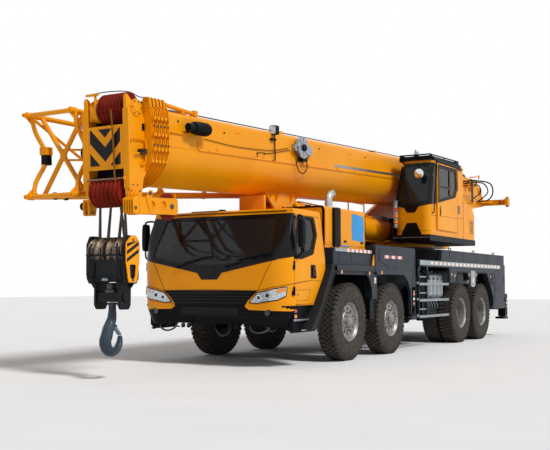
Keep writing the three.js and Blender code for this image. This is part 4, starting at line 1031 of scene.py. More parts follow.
    turned(bag, "x", (0, -10.46, -0.645), profile, "red", 40)
    disc(bag, "x", (0, -10.46, -0.645), 0.032, x0 - 0.01, x1 + 0.014, "steel", 20, 0.003)
    block(bag, (x0 + 0.02, x1 - 0.02), (-10.372, -10.35), (z1 - 0.03, z1 + 0.06), "yellow")
    block(bag, (0.40, 0.47), (-10.35, -10.31), (-0.66, -0.60), "yellow")
    makePiece("runner_sheave_arm", bag, "boom_section_5", boomPlace, (), 0.003)

    # Foot bracket under the right cheek, with its stop.
    bag = []
    foot = rounded([(face + 0.04, -0.54), (face + 0.04, -0.74), (face + 0.16, -0.74),
        (face + 0.20, -0.54)], 0.02, 2)
    slab(bag, "x", foot, -0.345, -0.315, "yellow")
    slab(bag, "x", foot, -0.42, -0.395, "yellow")
    disc(bag, "x", (0, face + 0.10, -0.70), 0.024, -0.435, -0.30, "steel", 12)
    disc(bag, "x", (0, face + 0.10, -0.62), 0.05, -0.49, -0.425, "black", 20, 0.01)
    block(bag, (-0.42, -0.30), (face + 0.05, face + 0.18), (-0.57, -0.545), "yellow")
    makePiece("head_foot_bracket", bag, "boom_section_5", boomPlace, (), 0.003)


makeHead()
print("boom head made")


# The lattice jib, folded back along the right of the boom.
jibFacts = {
    "stations": [-11.12, -9.3, -7.5, -5.7, -3.9],
    "near": -0.61,
    "nearFront": -0.51,
    "chord": 0.034,
    "lace": 0.021,
}


def jibCorners(i):
    t = i / (len(jibFacts["stations"]) - 1)
    half, middle, far = 0.52 - 0.27 * t, 0.053 + 0.015 * t, -1.25 + 0.28 * t
    near = jibFacts["nearFront"] if i == 0 else jibFacts["near"]
    y = jibFacts["stations"][i]
    places = [(near, middle - half), (near, middle + half), (far, middle + half), (far, middle - half)]
    return [Vector((x, y, z)) for x, z in places]


def lugPlate(bag, at, reach, drop, mat="yellow"):
    # A flat lug with a pin through it, standing out from a chord's end.
    outline = rounded([(at.y + 0.05, at.z - drop), (at.y + 0.05, at.z + drop),
        (at.y - reach, at.z + drop * 0.7), (at.y - reach, at.z - drop * 0.7)], [0.005, 0.005, 0.03, 0.03],
        4)
    for x in (-0.024, 0.012):
        slab(bag, "x", outline, at.x + x, at.x + x + 0.012, mat,
            [ringPoints(0.017, 12, (at.y - reach + 0.035, at.z))])


def makeJib():
    bag = []
    chord, lace = jibFacts["chord"], jibFacts["lace"]
    frames = [jibCorners(i) for i in range(5)]
    for i, here in enumerate(frames):
        for k in range(4):
            if i == 0 and k in (0, 2):
                continue
            bar(bag, here[k], here[(k + 1) % 4], chord * 0.9 if i == 0 else lace, "yellow", 10)
        for k, corner in enumerate(here):
            disc(bag, "y", (corner.x, 0, corner.z), chord + 0.007, corner.y - 0.05, corner.y + 0.05,
                "yellow", 14, 0.006)
            toMiddle = 1 if corner.z < 0 else -1
            plate = [(corner.y - 0.10, corner.z), (corner.y + 0.16, corner.z),
                (corner.y + 0.05, corner.z + toMiddle * 0.12)]
            slab(bag, "x", plate, corner.x - 0.006, corner.x + 0.006, "yellow")
        if i == 4:
            continue
        after = frames[i + 1]
        for k in range(4):
            bar(bag, here[k], after[k], chord, "yellow", 12)
            across, other = (k + i % 2) % 4, (k + 1 - i % 2) % 4
            bar(bag, here[across], after[other], lace, "yellow", 10)
    tip = frames[0]
    # Front frame: crossed braces set behind the tips, and bowed posts clamped in the middle.
    back = Vector((0, 0.22, 0))
    bar(bag, tip[2] + back, tip[0] + back, lace * 1.5, "yellow", 10)
    bar(bag, tip[3] + back, tip[1] + back, lace * 1.5, "yellow", 10)
    cross = (tip[0] + tip[2]) / 2 + back
    disc(bag, "y", (cross.x, 0, cross.z), 0.055, cross.y - 0.012, cross.y + 0.012, "yellow", 20, 0.003)
    for sideX, top, low in ((1, tip[2], tip[3]), (0.25, tip[1], tip[0])):
        middle = (top + low) / 2 + Vector((0.05 * sideX, 0.24, 0))
        tube(bag, smoothPath([top + Vector((0.02, 0.03, 0)),
            (top * 0.62 + middle * 0.38) + Vector((0, -0.01, 0)), middle,
            (low * 0.62 + middle * 0.38) + Vector((0, -0.01, 0)), low + Vector((0.02, 0.03, 0))]), 0.030,
            "yellow", 10)
        if sideX == 1:
            block(bag, (middle.x - 0.06, middle.x + 0.06), (middle.y - 0.06, middle.y + 0.055),
                (middle.z + 0.03, middle.z + 0.13), "yellow")
            block(bag, (middle.x - 0.045, middle.x + 0.05), (middle.y - 0.05, middle.y + 0.045),
                (middle.z - 0.10, middle.z + 0.035), "black")
            for z in (-0.09, -0.04, 0.01):
                disc(bag, "z", (middle.x, middle.y, 0), 0.058, middle.z + z, middle.z + z + 0.02, "black",
                    14, 0.004)
    for corner in (tip[2], tip[3]):
        lugPlate(bag, corner, 0.10, 0.035)
        block(bag, (corner.x - 0.055, corner.x + 0.03), (corner.y - 0.07, corner.y + 0.07),
            (corner.z - 0.012, corner.z + 0.012), "yellow")
    for corner in (tip[0], tip[1]):
        lugPlate(bag, corner, 0.06, 0.04)
    # Clamp drum and sheave seen between the lattice and the head.
    disc(bag, "x", (0, tip[0].y + 0.30, 0.06), 0.10, -0.59, -0.52, "black", 24, 0.015)
    disc(bag, "x", (0, tip[0].y + 0.30, 0.06), 0.04, -0.63, -0.50, "steel", 12)
    for z in (-0.02, 0.11):
        bar(bag, (-0.56, tip[0].y + 0.3, z), (-0.95, tip[0].y + 0.22, z + 0.02), 0.014, "yellow", 8)
    bar(bag, (-0.6, -10.9, 0.50), (-1.2, -10.2, 0.50), 0.014, "rope", 8)
    for y in (-10.75, -10.55):
        disc(bag, "y", (-1.215, 0, -0.44), 0.05, y, y + 0.05, "black", 14, 0.006)
    for i in (1, 2, 3):
        here = frames[i]
        z = here[1].z - 0.04
        block(bag, (-0.63, -boomFacts["half"] - 0.0005), (here[0].y - 0.05, here[0].y + 0.05),
            (z - 0.025, z + 0.025), "yellow")
        gusset = [(-0.46, z - 0.02), (-0.46, z - 0.12), (-0.60, z - 0.02)]
        for y in (-0.035, 0.025):
            slab(bag, "y", gusset, here[0].y + y, here[0].y + y + 0.01, "yellow")
        block(bag, (-0.456, -0.4503), (here[0].y - 0.09, here[0].y + 0.09), (z - 0.15, z + 0.07), "yellow")
    makePiece("jib_lattice", bag, "boom_base", boomPlace, ["jib"], 0.0)


makeJib()
print("jib made")

# Hook block: x across, y along the crane from the block's own axis, z up from the floor.
blockFacts = {
    "cheekX": (0.262, 0.290),
    "top": 1.735,
    "sheaveZ": 1.545,
    "sheaveRadius": 0.163,
    "sheaves": [-0.205, -0.085, 0.085, 0.205],
    "lineTop": 2.145,
}


def makeHookBlock():
    bag = []
    x0, x1 = blockFacts["cheekX"]
    top = blockFacts["top"]
    cheek = rounded([(-0.09, top), (0.09, top), (0.14, top - 0.10), (0.14, 1.22), (0.10, 1.155),
        (-0.10, 1.155), (-0.14, 1.22), (-0.14, top - 0.10)],
        [0.03, 0.03, 0.05, 0.03, 0.02, 0.02, 0.03, 0.05], 4)
    for side in (1, -1):
        slab(bag, "x", cheek, side * x0, side * x1, "castBlack",
            [ringPoints(0.05, 20, (0.0, 1.40))] if side < 0 else ())
        rim = strip([(-0.135, 1.25), (-0.137, top - 0.11), (-0.09, top - 0.012)], 0.014)
        slab(bag, "x", rim, side * (x1 - 0.002), side * (x1 + 0.006), "castBlack")
        disc(bag, "x", (0, 0, blockFacts["sheaveZ"]), 0.062, side * x1, side * (x1 + 0.012), "castBlack",
            28, 0.003)
        disc(bag, "x", (0, 0, blockFacts["sheaveZ"]), 0.036, side * (x1 + 0.012), side * (x1 + 0.018),
            "steel", 20)
        # Hoop bars down the front and back, from the rod to the lower frame, with gussets and rod ends.
        for face in (-1, 1):
            hoop = [(0.195, 0.150, top - 0.10), (0.215, 0.175, 1.58), (0.215, 0.178, 1.45),
                (0.205, 0.165, 1.28), (0.19, 0.145, 1.17)]
            tube(bag, smoothPath([(side * x, face * y, z) for x, y, z in hoop], 5), 0.013, "castBlack", 8)
            slab(bag, "y", [(side * 0.2, 1.158), (side * 0.255, 1.158), (side * 0.2, 1.09)], face * 0.09,
                face * 0.102, "castBlack")
            for z in (1.50, 1.235):
                disc(bag, "y", (side * 0.245, 0, z), 0.022, face * 0.128, face * 0.158, "castBlack", 12,
                    0.004)
        lower = rounded([(-0.105, 1.175), (0.105, 1.175), (0.105, 0.90), (0.07, 0.845), (-0.07, 0.845),
            (-0.105, 0.90)], [0.01, 0.01, 0.04, 0.03, 0.03, 0.04], 4)
        slab(bag, "x", lower, side * 0.168, side * 0.200, "castBlack")
        block(bag, (side * 0.19, side * 0.265), (-0.10, 0.10), (1.155, 1.20), "castBlack")
        disc(bag, "x", (0, 0, 0.99), 0.055, side * 0.198, side * 0.222, "castBlack", 24, 0.004)
        boltsOn(bag, "x", [(y, z) for y in (-0.075, 0.075) for z in (0.92, 1.11)], 0.011, side * 0.2,
            side * 0.212, "steel")
        boltsOn(bag, "x", [(y, z) for y in (-0.10, 0.10) for z in (1.24, 1.36)], 0.012, side * x1,
            side * (x1 + 0.01), "steel")
    # Four sheaves with worn bright grooves.
    radius, centre = blockFacts["sheaveRadius"], (0, 0, blockFacts["sheaveZ"])
    for x in blockFacts["sheaves"]:
        profile = [(0.05, x - 0.056), (radius - 0.03, x - 0.052), (radius, x - 0.056),
            (radius, x - 0.046), (radius - 0.03, x - 0.014), (radius - 0.036, x),
            (radius - 0.03, x + 0.014), (radius, x + 0.046), (radius, x + 0.056),
            (radius - 0.03, x + 0.052), (0.05, x + 0.056)]
        turned(bag, "x", centre, profile, "brass", 40)
        reach = radius - 0.02
        angles = [math.pi * 0.9 + math.pi * 1.2 * k / 12 for k in range(13)]
        line = [(x, reach * math.cos(a), centre[2] + reach * math.sin(a)) for a in angles]
        tube(bag, line, 0.012, "rope", 6)
    disc(bag, "x", centre, 0.035, -0.262, 0.262, "steel", 16)
    # Weights and covers below the sheaves.
    for face in (-1, 1):
        plate = rounded(rect(-0.255, 0.255, 1.175, 1.475), 0.02, 3)
        slab(bag, "y", plate, face * 0.108, face * 0.124, "castBlack")
        slab(bag, "y", rounded(rect(-0.18, 0.18, 1.26, 1.42), 0.03, 3), face * 0.122, face * 0.128,
            "blackGloss")
        bar(bag, (-0.285, face * 0.150, 1.50), (0.285, face * 0.150, 1.50), 0.013, "castBlack", 10)
        bar(bag, (-0.262, face * 0.140, 1.205), (0.262, face * 0.140, 1.205), 0.011, "castBlack", 10)
    block(bag, (-0.262, 0.262), (-0.11, 0.11), (1.178, 1.36), "castBlack")
    bar(bag, (-0.262, 0, top - 0.03), (0.262, 0, top - 0.03), 0.014, "castBlack", 10)
    # Trunnion, its nut and the guard over the shank.
    slab(bag, "y", rounded(rect(-0.17, 0.17, 0.935, 1.045), 0.02, 3), -0.088, 0.088, "castBlack")
    disc(bag, "z", (0, 0, 0), 0.095, 1.045, 1.085, "steel", 32, 0.006)
    disc(bag, "z", (0, 0, 0), 0.072, 1.085, 1.15, "steel", 6, 0.004)
    disc(bag, "z", (0, 0, 0), 0.062, 1.15, 1.168, "steel", 20, 0.004)
    block(bag, (-0.03, 0.06), (-0.16, -0.145), (1.19, 1.22), "zinc")
    # The lines of rope up to the head. Two of them cross on the left.
    base, rise = 1.60, blockFacts["lineTop"]
    ends = [(-0.205, -0.205), (-0.085, -0.030), (0.085, 0.150), (0.205, 0.110), (0.215, 0.180)]
    for low, high in ends:
        for y in (-0.016, 0.016):
            tube(bag, [(low, y, base), (low * 0.8 + high * 0.2, y, base + 0.1), (high, y * 0.4, rise)],
                0.010, "rope", 8)
    makePiece("hook_block_forged", bag, "hook_block", blockPlace, ["hook_block"], 0.003)

    # Striped guard on the left cheek, with a hand hole.
    bag = []
    guardX = 0.304
    outline = rounded([(-0.075, 1.17), (-0.125, 1.40), (-0.130, 1.64), (-0.03, 1.735), (0.06, 1.735),
        (0.130, 1.64), (0.12, 1.40), (0.075, 1.17)], [0.03, 0.05, 0.06, 0.05, 0.05, 0.06, 0.05, 0.03], 4)
    hole = rounded([(-0.042, 1.215), (-0.062, 1.385), (0.062, 1.385), (0.042, 1.215)], 0.03, 4)
    slab(bag, "x", outline, guardX, guardX + 0.010, "yellow", [hole])
    for low in (1.43, 1.52, 1.61):
        band = [(-0.112, low - 0.02), (0.105, low + 0.10), (0.105, low + 0.145), (-0.112, low + 0.025)]
        band = [(y, min(z, 1.722 - max(0, abs(y) - 0.05) * 0.8)) for y, z in band]
        slab(bag, "x", band, guardX + 0.0095, guardX + 0.0115, "blackGloss")
    for z in (1.20, 1.68):
        disc(bag, "x", (0, 0, z), 0.016, 0.288, guardX + 0.016, "steel", 10)
    makePiece("hook_block_guard", bag, "hook_block", blockPlace, (), 0.002)


def makeHook():
    bag = []
    centre = 0.462
    # Stations along the hook: (y, z, half its depth, half its width). Those of the bowl are written by
    # angle and radius about its centre.
    stations = [(0, 0.929, 0.046, 0.046), (0, 0.84, 0.046, 0.046), (0, 0.79, 0.052, 0.052),
        (-0.008, 0.735, 0.056, 0.058), (-0.035, 0.675, 0.062, 0.066), (-0.075, 0.615, 0.066, 0.076)]
    bowl = [(150, 0.122, 0.068, 0.080), (172, 0.128, 0.068, 0.082), (195, 0.130, 0.066, 0.082),
        (220, 0.132, 0.064, 0.080), (245, 0.133, 0.062, 0.076), (270, 0.134, 0.058, 0.070),
        (295, 0.136, 0.052, 0.062), (320, 0.138, 0.046, 0.054), (345, 0.142, 0.040, 0.046),
        (5, 0.148, 0.034, 0.038), (22, 0.158, 0.024, 0.030)]
    for degrees, r, radial, across in bowl:
        a = math.radians(degrees)
        stations.append((r * math.cos(a), centre + r * math.sin(a), radial, across))
    path = [Vector((0, y, z)) for y, z, _, _ in stations]
    rings = []
    for i, (_, _, radial, across) in enumerate(stations):
        ahead = (path[min(i + 1, len(path) - 1)] - path[max(i - 1, 0)]).normalized()
        out = Vector((0, ahead.z, -ahead.y))
        ring = []
        for k in range(20):
            a = 2 * math.pi * k / 20
            # The back of the hook is narrower than its inside, as a forged section is.
            taper = 1 - 0.22 * max(0, math.cos(a)) if i > 4 else 1
            ring.append(path[i] + out * radial * math.cos(a) + Vector((across * math.sin(a) * taper, 0, 0)))
        rings.append(ring)
    loft(bag, rings, "slate")
    disc(bag, "z", (0, 0, 0), 0.060, 0.900, 0.925, "slate", 28, 0.004)
    # Spring latch from the neck to the point.
    latch = [(-0.002, 0.655), (0.03, 0.665), (0.142, 0.545), (0.135, 0.525)]
    slab(bag, "x", latch, -0.028, -0.022, "zinc")
    slab(bag, "x", latch, 0.022, 0.028, "zinc")
    slab(bag, "x", [(0.02, 0.64), (0.03, 0.652), (0.14, 0.54), (0.133, 0.528)], -0.024, 0.024, "zinc")
    disc(bag, "x", (0, 0.012, 0.648), 0.013, -0.062, 0.062, "steel", 12)
    makePiece("hook_forged", bag, "hook", blockPlace, ["hook"], 0.0, 60)


makeHookBlock()
makeHook()
print("hook block made")

# Lift cylinder, with y running down from its foot pin along its own axis.
liftFacts = {"barrel": 0.22, "bore": 0.186, "start": 0.2, "end": 4.2, "rod": 0.14,
    "length": math.hypot(0.11, 4.65)}


def makeLiftCylinder():
    bag = []
    r, bore, start, end = liftFacts["barrel"], liftFacts["bore"], liftFacts["start"], liftFacts["end"]
    turned(bag, "y", (0, 0, 0), [(0.10, -start + 0.03), (r - 0.05, -start + 0.02), (r, -start - 0.03),
        (r, -end + 0.16), (r + 0.018, -end + 0.15), (r + 0.018, -end + 0.02), (r + 0.008, -end),
        (0.146, -end), (0.146, -end + 0.08), (bore, -end + 0.09), (bore, -start - 0.08),
        (0.05, -start - 0.07)], "yellow", 48, caps=False)
    disc(bag, "y", (0, 0, 0), bore, -start - 0.08, -start + 0.02, "yellow", 40)
    boltsOn(bag, "y", ringPoints(r - 0.03, 16), 0.013, -end - 0.016, -end, "steel")
    turned(bag, "x", (0, 0, 0), [(0.11, -0.124), (0.11, 0.124), (0.062, 0.124), (0.062, -0.124),
        (0.11, -0.124)], "yellow", 36, caps=False)
    disc(bag, "x", (0, 0, 0), 0.061, -0.13, 0.13, "steel", 28, 0.004)
    slab(bag, "x", [(-0.05, 0.10), (-start - 0.02, 0.12), (-start - 0.02, -0.12), (-0.05, -0.10)], -0.1,
        0.1, "yellow")
    for z in (r + 0.012, -r - 0.012):
        tube(bag, smoothPath([(0.06, -start - 0.10, z * 0.9), (0.06, -start - 0.25, z),
            (0.06, -end + 0.55, z), (0.06, -end + 0.35, z * 0.92)]), 0.014, "yellow", 8)
    for y in (0.9, 1.9, 2.9):
        turned(bag, "y", (0, 0, 0), [(r + 0.004, -y), (r + 0.004, -y - 0.05), (r - 0.01, -y - 0.05),
            (r - 0.01, -y), (r + 0.004, -y)], "yellow", 40, caps=False)
        block(bag, (0.03, 0.09), (-y, -y - 0.05), (r - 0.01, r + 0.03), "steel")
    block(bag, (-0.09, 0.09), (-start - 0.06, -start - 0.34), (r - 0.03, r + 0.075), "steel")
    makePiece("lift_barrel_welded", bag, "lift_barrel", liftPlace, ["lift_cylinder_barrel"],
        0.003)
    bag = []
    length = liftFacts["length"]
    disc(bag, "y", (0, 0, 0), liftFacts["rod"], -0.42, -length + 0.10, "chrome", 48)
    disc(bag, "y", (0, 0, 0), 0.184, -0.54, -0.42, "steel", 40, 0.004)
    disc(bag, "y", (0, 0, 0), 0.155, -length + 0.10, -length + 0.16, "yellow", 40, 0.008)
    turned(bag, "x", (0, -length, 0), [(0.105, -0.139), (0.105, 0.139), (0.061, 0.139), (0.061, -0.139),
        (0.105, -0.139)], "yellow", 36, caps=False)
    disc(bag, "x", (0, -length, 0), 0.06, -0.1395, 0.1395, "steel", 28)
    disc(bag, "y", (0, 0, 0), 0.09, -length + 0.12, -length + 0.06, "yellow", 24)
    makePiece("lift_rod_chromed", bag, "lift_rod", liftPlace, ["lift_cylinder_rod"], 0.002)


makeLiftCylinder()
print("lift cylinder made")


# Driver's cab. Its skin is laid out flat as (s, z): s runs round the cab from the middle of the
# front, then back along the left side.
cabFacts = {
    "half": 1.268,
    "front": -1.90,
    "rear": -0.792,
    "cornerX": 0.95,
    "cornerY": -1.64,
    "bow": 0.02,
    "floor": 0.862,
    "corner": 0.444,
}


def cabSkin(s, z, depth):
    side = -1 if s < 0 else 1
    s = abs(s)
    cornerX, cornerY = cabFacts["cornerX"], cabFacts["cornerY"]
    if s < cornerX:
        x, y, inX, inY = s, cabFacts["front"] + cabFacts["bow"] * (s / cornerX) ** 2, 0, 1
    elif s < cornerX + cabFacts["corner"]:
        turn = (s - cornerX) / cabFacts["corner"] * math.pi / 2
        x = cornerX + (cabFacts["half"] - cornerX) * math.sin(turn)
        y = cornerY + (cabFacts["front"] + cabFacts["bow"] - cornerY) * math.cos(turn)
        inX, inY = -math.sin(turn), math.cos(turn)
    else:
        x, y, inX, inY = cabFacts["half"], cornerY + s - cornerX - cabFacts["corner"], -1, 0
    lean = -1.94 + 0.4615 * (z - 1.43)
    if y < cornerY:
        y = (y + lean + math.sqrt((y - lean) ** 2 + 0.0016)) / 2
        if lean > cornerY:
            y = max(y, lean)
    else:
        y = max(y, lean)
    width = 1 - 0.0709 * max(0, z - 1.5) / 0.715 - 0.0236 * max(0, 1.25 - z) / 0.39
    return (side * (x * width + inX * depth), y + inY * depth, z)


def sideS(y):
    return cabFacts["cornerX"] + cabFacts["corner"] + y - cabFacts["cornerY"]


def onSide(outline):
    return [(sideS(y), z) for y, z in outline]


doorEdge = [(-1.70, 0.872), (-1.70, 1.48), (-1.51, 2.12), (-0.865, 2.12), (-0.82, 1.90), (-0.82, 1.385),
    (-1.12, 0.872)]
doorPanel = [(-1.692, 0.880), (-1.692, 1.48), (-1.502, 2.112), (-0.873, 2.112), (-0.828, 1.90),
    (-0.828, 1.385), (-1.128, 0.880)]
doorGlass = [(-1.645, 1.56), (-1.485, 2.07), (-1.06, 2.07), (-1.03, 1.85), (-1.18, 1.635)]
screenEdge = [(1.03, 2.13), (1.075, 1.49), (0.205, 1.32), (0.13, 1.225), (-0.13, 1.225), (-0.205, 1.32),
    (-1.075, 1.49), (-1.03, 2.13)]


def makeCabShell():
    bag = []
    rear, floor = sideS(cabFacts["rear"]), cabFacts["floor"]
    outline = [(-rear, 1.37), (-rear, 2.165), (rear, 2.165), (rear, 1.37), (rear - 0.31, floor),
        (-rear + 0.31, floor)]
    doorway = onSide(doorEdge)
    holes = [screenEdge, doorway, flipped(doorway)]
    skin(bag, outline, cabSkin, 0.05, "yellow", holes)
    # Dark lining inside the shell: partly trim, partly painted shade, so that the inside seen through the
    # glass is dark.
    skin(bag, grown(outline, 0.995), cabSkin, 0.004, "mat", [grown(hole, 1.004) for hole in holes],
        depth=0.0505)
    block(bag, (-1.12, 1.12), (-1.45, -0.86), (2.135, 2.145), "mat")
    ring = [cabSkin(-rear + 2 * rear * k / 60, 2.165, 0) for k in range(61)]
    edges = []
    for z, inset in [(2.160, 0.012), (2.165, 0.0), (2.190, 0.002), (2.203, 0.014), (2.209, 0.040)]:
        edges.append([Vector((x * (1 - inset / 1.2), y + inset * (1 if y < -1.2 else -1), z)) for x, y,
            _ in ring])
    loft(bag, edges, "yellow")
    # Stiffening ribs pressed into the roof and the visor's gasket.
    for x in (-0.8, -0.4, 0, 0.4, 0.8):
        slab(bag, "z", rounded(rect(x - 0.05, x + 0.05, -1.42, -0.86), 0.04, 3), 2.205, 2.214, "yellow")
    skin(bag, strip([(-1.16, 2.168), (-0.6, 2.172), (0, 2.174), (0.6, 2.172), (1.16, 2.168)], 0.012),
        cabSkin, 0.02, "black", depth=-0.012)
    wall = [(1.17, 2.17), (1.255, 1.5), (1.26, 1.37), (0.45, 1.37), (0.45, 1.60), (-0.45, 1.60),
        (-0.45, 1.37), (-1.26, 1.37), (-1.255, 1.5), (-1.17, 2.17)]
    window = rounded(rect(-0.7, 0.7, 1.68, 2.02), 0.06, 4)
    slab(bag, "y", wall, cabFacts["rear"] - 0.045, cabFacts["rear"], "yellow", [window])
    # Dark lining on the rear wall: partly trim, partly painted shade, as inside the shell.
    slab(bag, "y", grown(wall, 0.98), cabFacts["rear"] - 0.052, cabFacts["rear"] - 0.046, "mat",
        [grown(window, 1.02)])
    slab(bag, "y", window, cabFacts["rear"] - 0.028, cabFacts["rear"] - 0.022, "glassDark")
    slab(bag, "y", rounded(rect(-0.73, 0.73, 1.65, 2.05), 0.07, 4), cabFacts["rear"] - 0.002,
        cabFacts["rear"] + 0.006, "rubber", [window])
    slab(bag, "x", [(-1.10, floor), (-0.795, 1.37), (-0.83, 1.37), (-1.15, floor)], -1.2, 1.2, "greyDark")
    block(bag, (-1.215, 1.215), (-1.60, -1.12), (floor, floor + 0.05), "greyDark")
    block(bag, (-0.98, 0.98), (-1.86, -1.58), (floor, floor + 0.05), "greyDark")
    # Door seals.
    for edge in (onSide(doorEdge), flipped(onSide(doorEdge))):
        loop = [cabSkin(s, z, 0.03) for s, z in rounded(edge, 0.02, 3)]
        tube(bag, loop, 0.006, "rubber", 6, closed=True)
    # Hinge leaves.
    for side in (1, -1):
        for z in (1.0, 1.35):
            disc(bag, "z", (side * 1.268, -1.70, 0), 0.0118, z, z + 0.06, "black", 12, 0.002)
            block(bag, (side * 1.225, side * 1.268), (-1.716, -1.702), (z, z + 0.06), "black")
    makePiece("cab_shell_pressed", bag, "carrier", ground, ["cab_shell"], 0.006, 50)

    # Black surround of the windscreen, the corner posts and the notch under the glass.
    bag = []
    glass = rounded([(0.995, 2.085), (1.03, 1.56), (0.62, 1.475), (0.22, 1.43), (-0.22, 1.43),
        (-0.62, 1.475), (-1.03, 1.56), (-0.995, 2.085)], [0.05, 0.06, 0.1, 0.2, 0.2, 0.1, 0.06, 0.05], 5)
    border = [(1.035, 2.135), (1.08, 1.485), (0.21, 1.313), (0.135, 1.218), (-0.135, 1.218),
        (-0.21, 1.313), (-1.08, 1.485), (-1.035, 2.135)]
    skin(bag, rounded(border, [0.03, 0.03, 0.03, 0.02, 0.02, 0.03, 0.03, 0.03], 3), cabSkin, 0.028,
        "blackGloss", [glass], depth=-0.003)
    skin(bag, rounded([(-0.10, 1.385), (-0.085, 1.245), (0.085, 1.245), (0.10, 1.385)], 0.02, 3), cabSkin,
        0.006, "blackGloss", depth=-0.008)
    post = [(0.985, 2.135), (1.02, 1.485), (1.325, 1.53), (1.33, 1.49), (1.345, 1.49), (1.50, 2.10),
        (1.45, 2.135)]
    for shape in (post, flipped(post)):
        skin(bag, shape, cabSkin, 0.006, "blackGloss", depth=-0.0055)
    makePiece("windscreen_surround", bag, "carrier", ground, (), 0.0)
    bag = []
    skin(bag, glass, cabSkin, 0.006, "glass", depth=0.008)
    makePiece("windscreen_glass", bag, "carrier", ground, ["windscreen"])

    # Wipers.
    bag = []
    for x0, x1, z1 in [(-0.55, -0.06, 1.545), (0.30, 0.86, 1.575)]:
        pivot, tip = cabSkin(x0, 1.405, -0.02), cabSkin(x1, z1, -0.022)
        disc(bag, "y", pivot, 0.022, -0.02, 0.02, "black", 14, 0.004)
        tube(bag, smoothPath([pivot, cabSkin((x0 * 2 + x1) / 3, 1.45, -0.035), tip], 5), 0.007, "black", 8)
        tube(bag, [cabSkin(x1 - 0.38, z1 - 0.085, -0.014), cabSkin(x1 - 0.1, z1 - 0.03, -0.016),
            cabSkin(x1 + 0.12, z1 + 0.005, -0.014)], 0.008, "rubber", 6)
    makePiece("windscreen_wipers", bag, "carrier", ground, ())

    # Grille, headlamps and the seams of the front panels.
    bag = []
    grille = [(0.80, 1.055), (0.655, 0.93), (0.60, 0.85), (-0.60, 0.85), (-0.655, 0.93), (-0.80, 1.055)]
    skin(bag, grille, cabSkin, 0.012, "black", depth=-0.004)
    for k in range(4):
        z = 0.885 + 0.043 * k
        reach = 0.60 + 0.15 * (z - 0.85) / 0.205
        skin(bag, rect(-reach, reach, z, z + 0.022), cabSkin, 0.022, "blackGloss", depth=-0.020)
    skin(bag, strip([(-0.80, 1.058), (0, 1.068), (0.80, 1.058)], 0.014), cabSkin, 0.02, "blackGloss",
        depth=-0.014)
    for side in (1, -1):
        lamp = rounded([(0.655, 0.895), (0.80, 1.042), (1.05, 1.098), (1.225, 1.128), (1.215, 0.985),
            (1.10, 0.932), (0.80, 0.885)], [0.02, 0.03, 0.05, 0.03, 0.03, 0.06, 0.03], 4)
        fix = (lambda shape: shape) if side > 0 else flipped
        skin(bag, fix(lamp), cabSkin, 0.012, "black", depth=-0.003)
        inner = [(0.69, 0.907), (0.81, 1.028), (1.05, 1.084), (1.210, 1.112), (1.202, 0.994),
            (1.10, 0.946), (0.80, 0.898)]
        skin(bag, fix(inner), cabSkin, 0.008, "clear", depth=-0.010, step=0.04)
        for s, z, r in [(0.83, 0.968, 0.042), (0.96, 0.998, 0.048)]:
            at = cabSkin(side * s, z, -0.012)
            disc(bag, "y", (at[0], 0, at[2]), r, at[1] - 0.004, at[1] + 0.006, "chrome", 28, 0.002)
            disc(bag, "y", (at[0], 0, at[2]), r * 0.6, at[1] - 0.009, at[1], "glassDark", 24, 0.003)
        skin(bag, fix(rounded([(1.07, 1.03), (1.075, 1.082), (1.195, 1.103), (1.192, 1.05)], 0.01, 2)),
            cabSkin, 0.004, "amber", depth=-0.012)
        for line in ([(0.80, 1.062), (0.93, 1.33), (1.00, 1.46)],
                [(0.80, 1.062), (1.05, 1.118), (1.25, 1.15), (sideS(-1.2), 1.21)]):
            skin(bag, fix(strip(line, 0.006)), cabSkin, 0.004, "black", depth=-0.002)
    makePiece("cab_front_lamps_and_grille", bag, "carrier", ground, ())

    # Yellow corners under the headlamps.
    bag = []
    for side in (1, -1):
        fix = (lambda shape: shape) if side > 0 else flipped
        corner = rounded([(0.60, 0.850), (0.67, 0.880), (0.82, 0.872), (1.12, 0.922), (1.235, 0.980),
            (1.40, 0.99), (1.40, 0.800), (1.30, 0.785), (0.68, 0.800)],
            [0.02, 0.02, 0.03, 0.05, 0.02, 0.02, 0.02, 0.03, 0.04], 4)
        skin(bag, fix(corner), cabSkin, 0.016, "yellow", depth=-0.012)
    makePiece("cab_lamp_corners", bag, "carrier", ground, (), 0.004)


mirrorFacts = {"x": 1.345, "y": -1.64, "z": 1.855, "wide": 0.045, "high": 0.205}


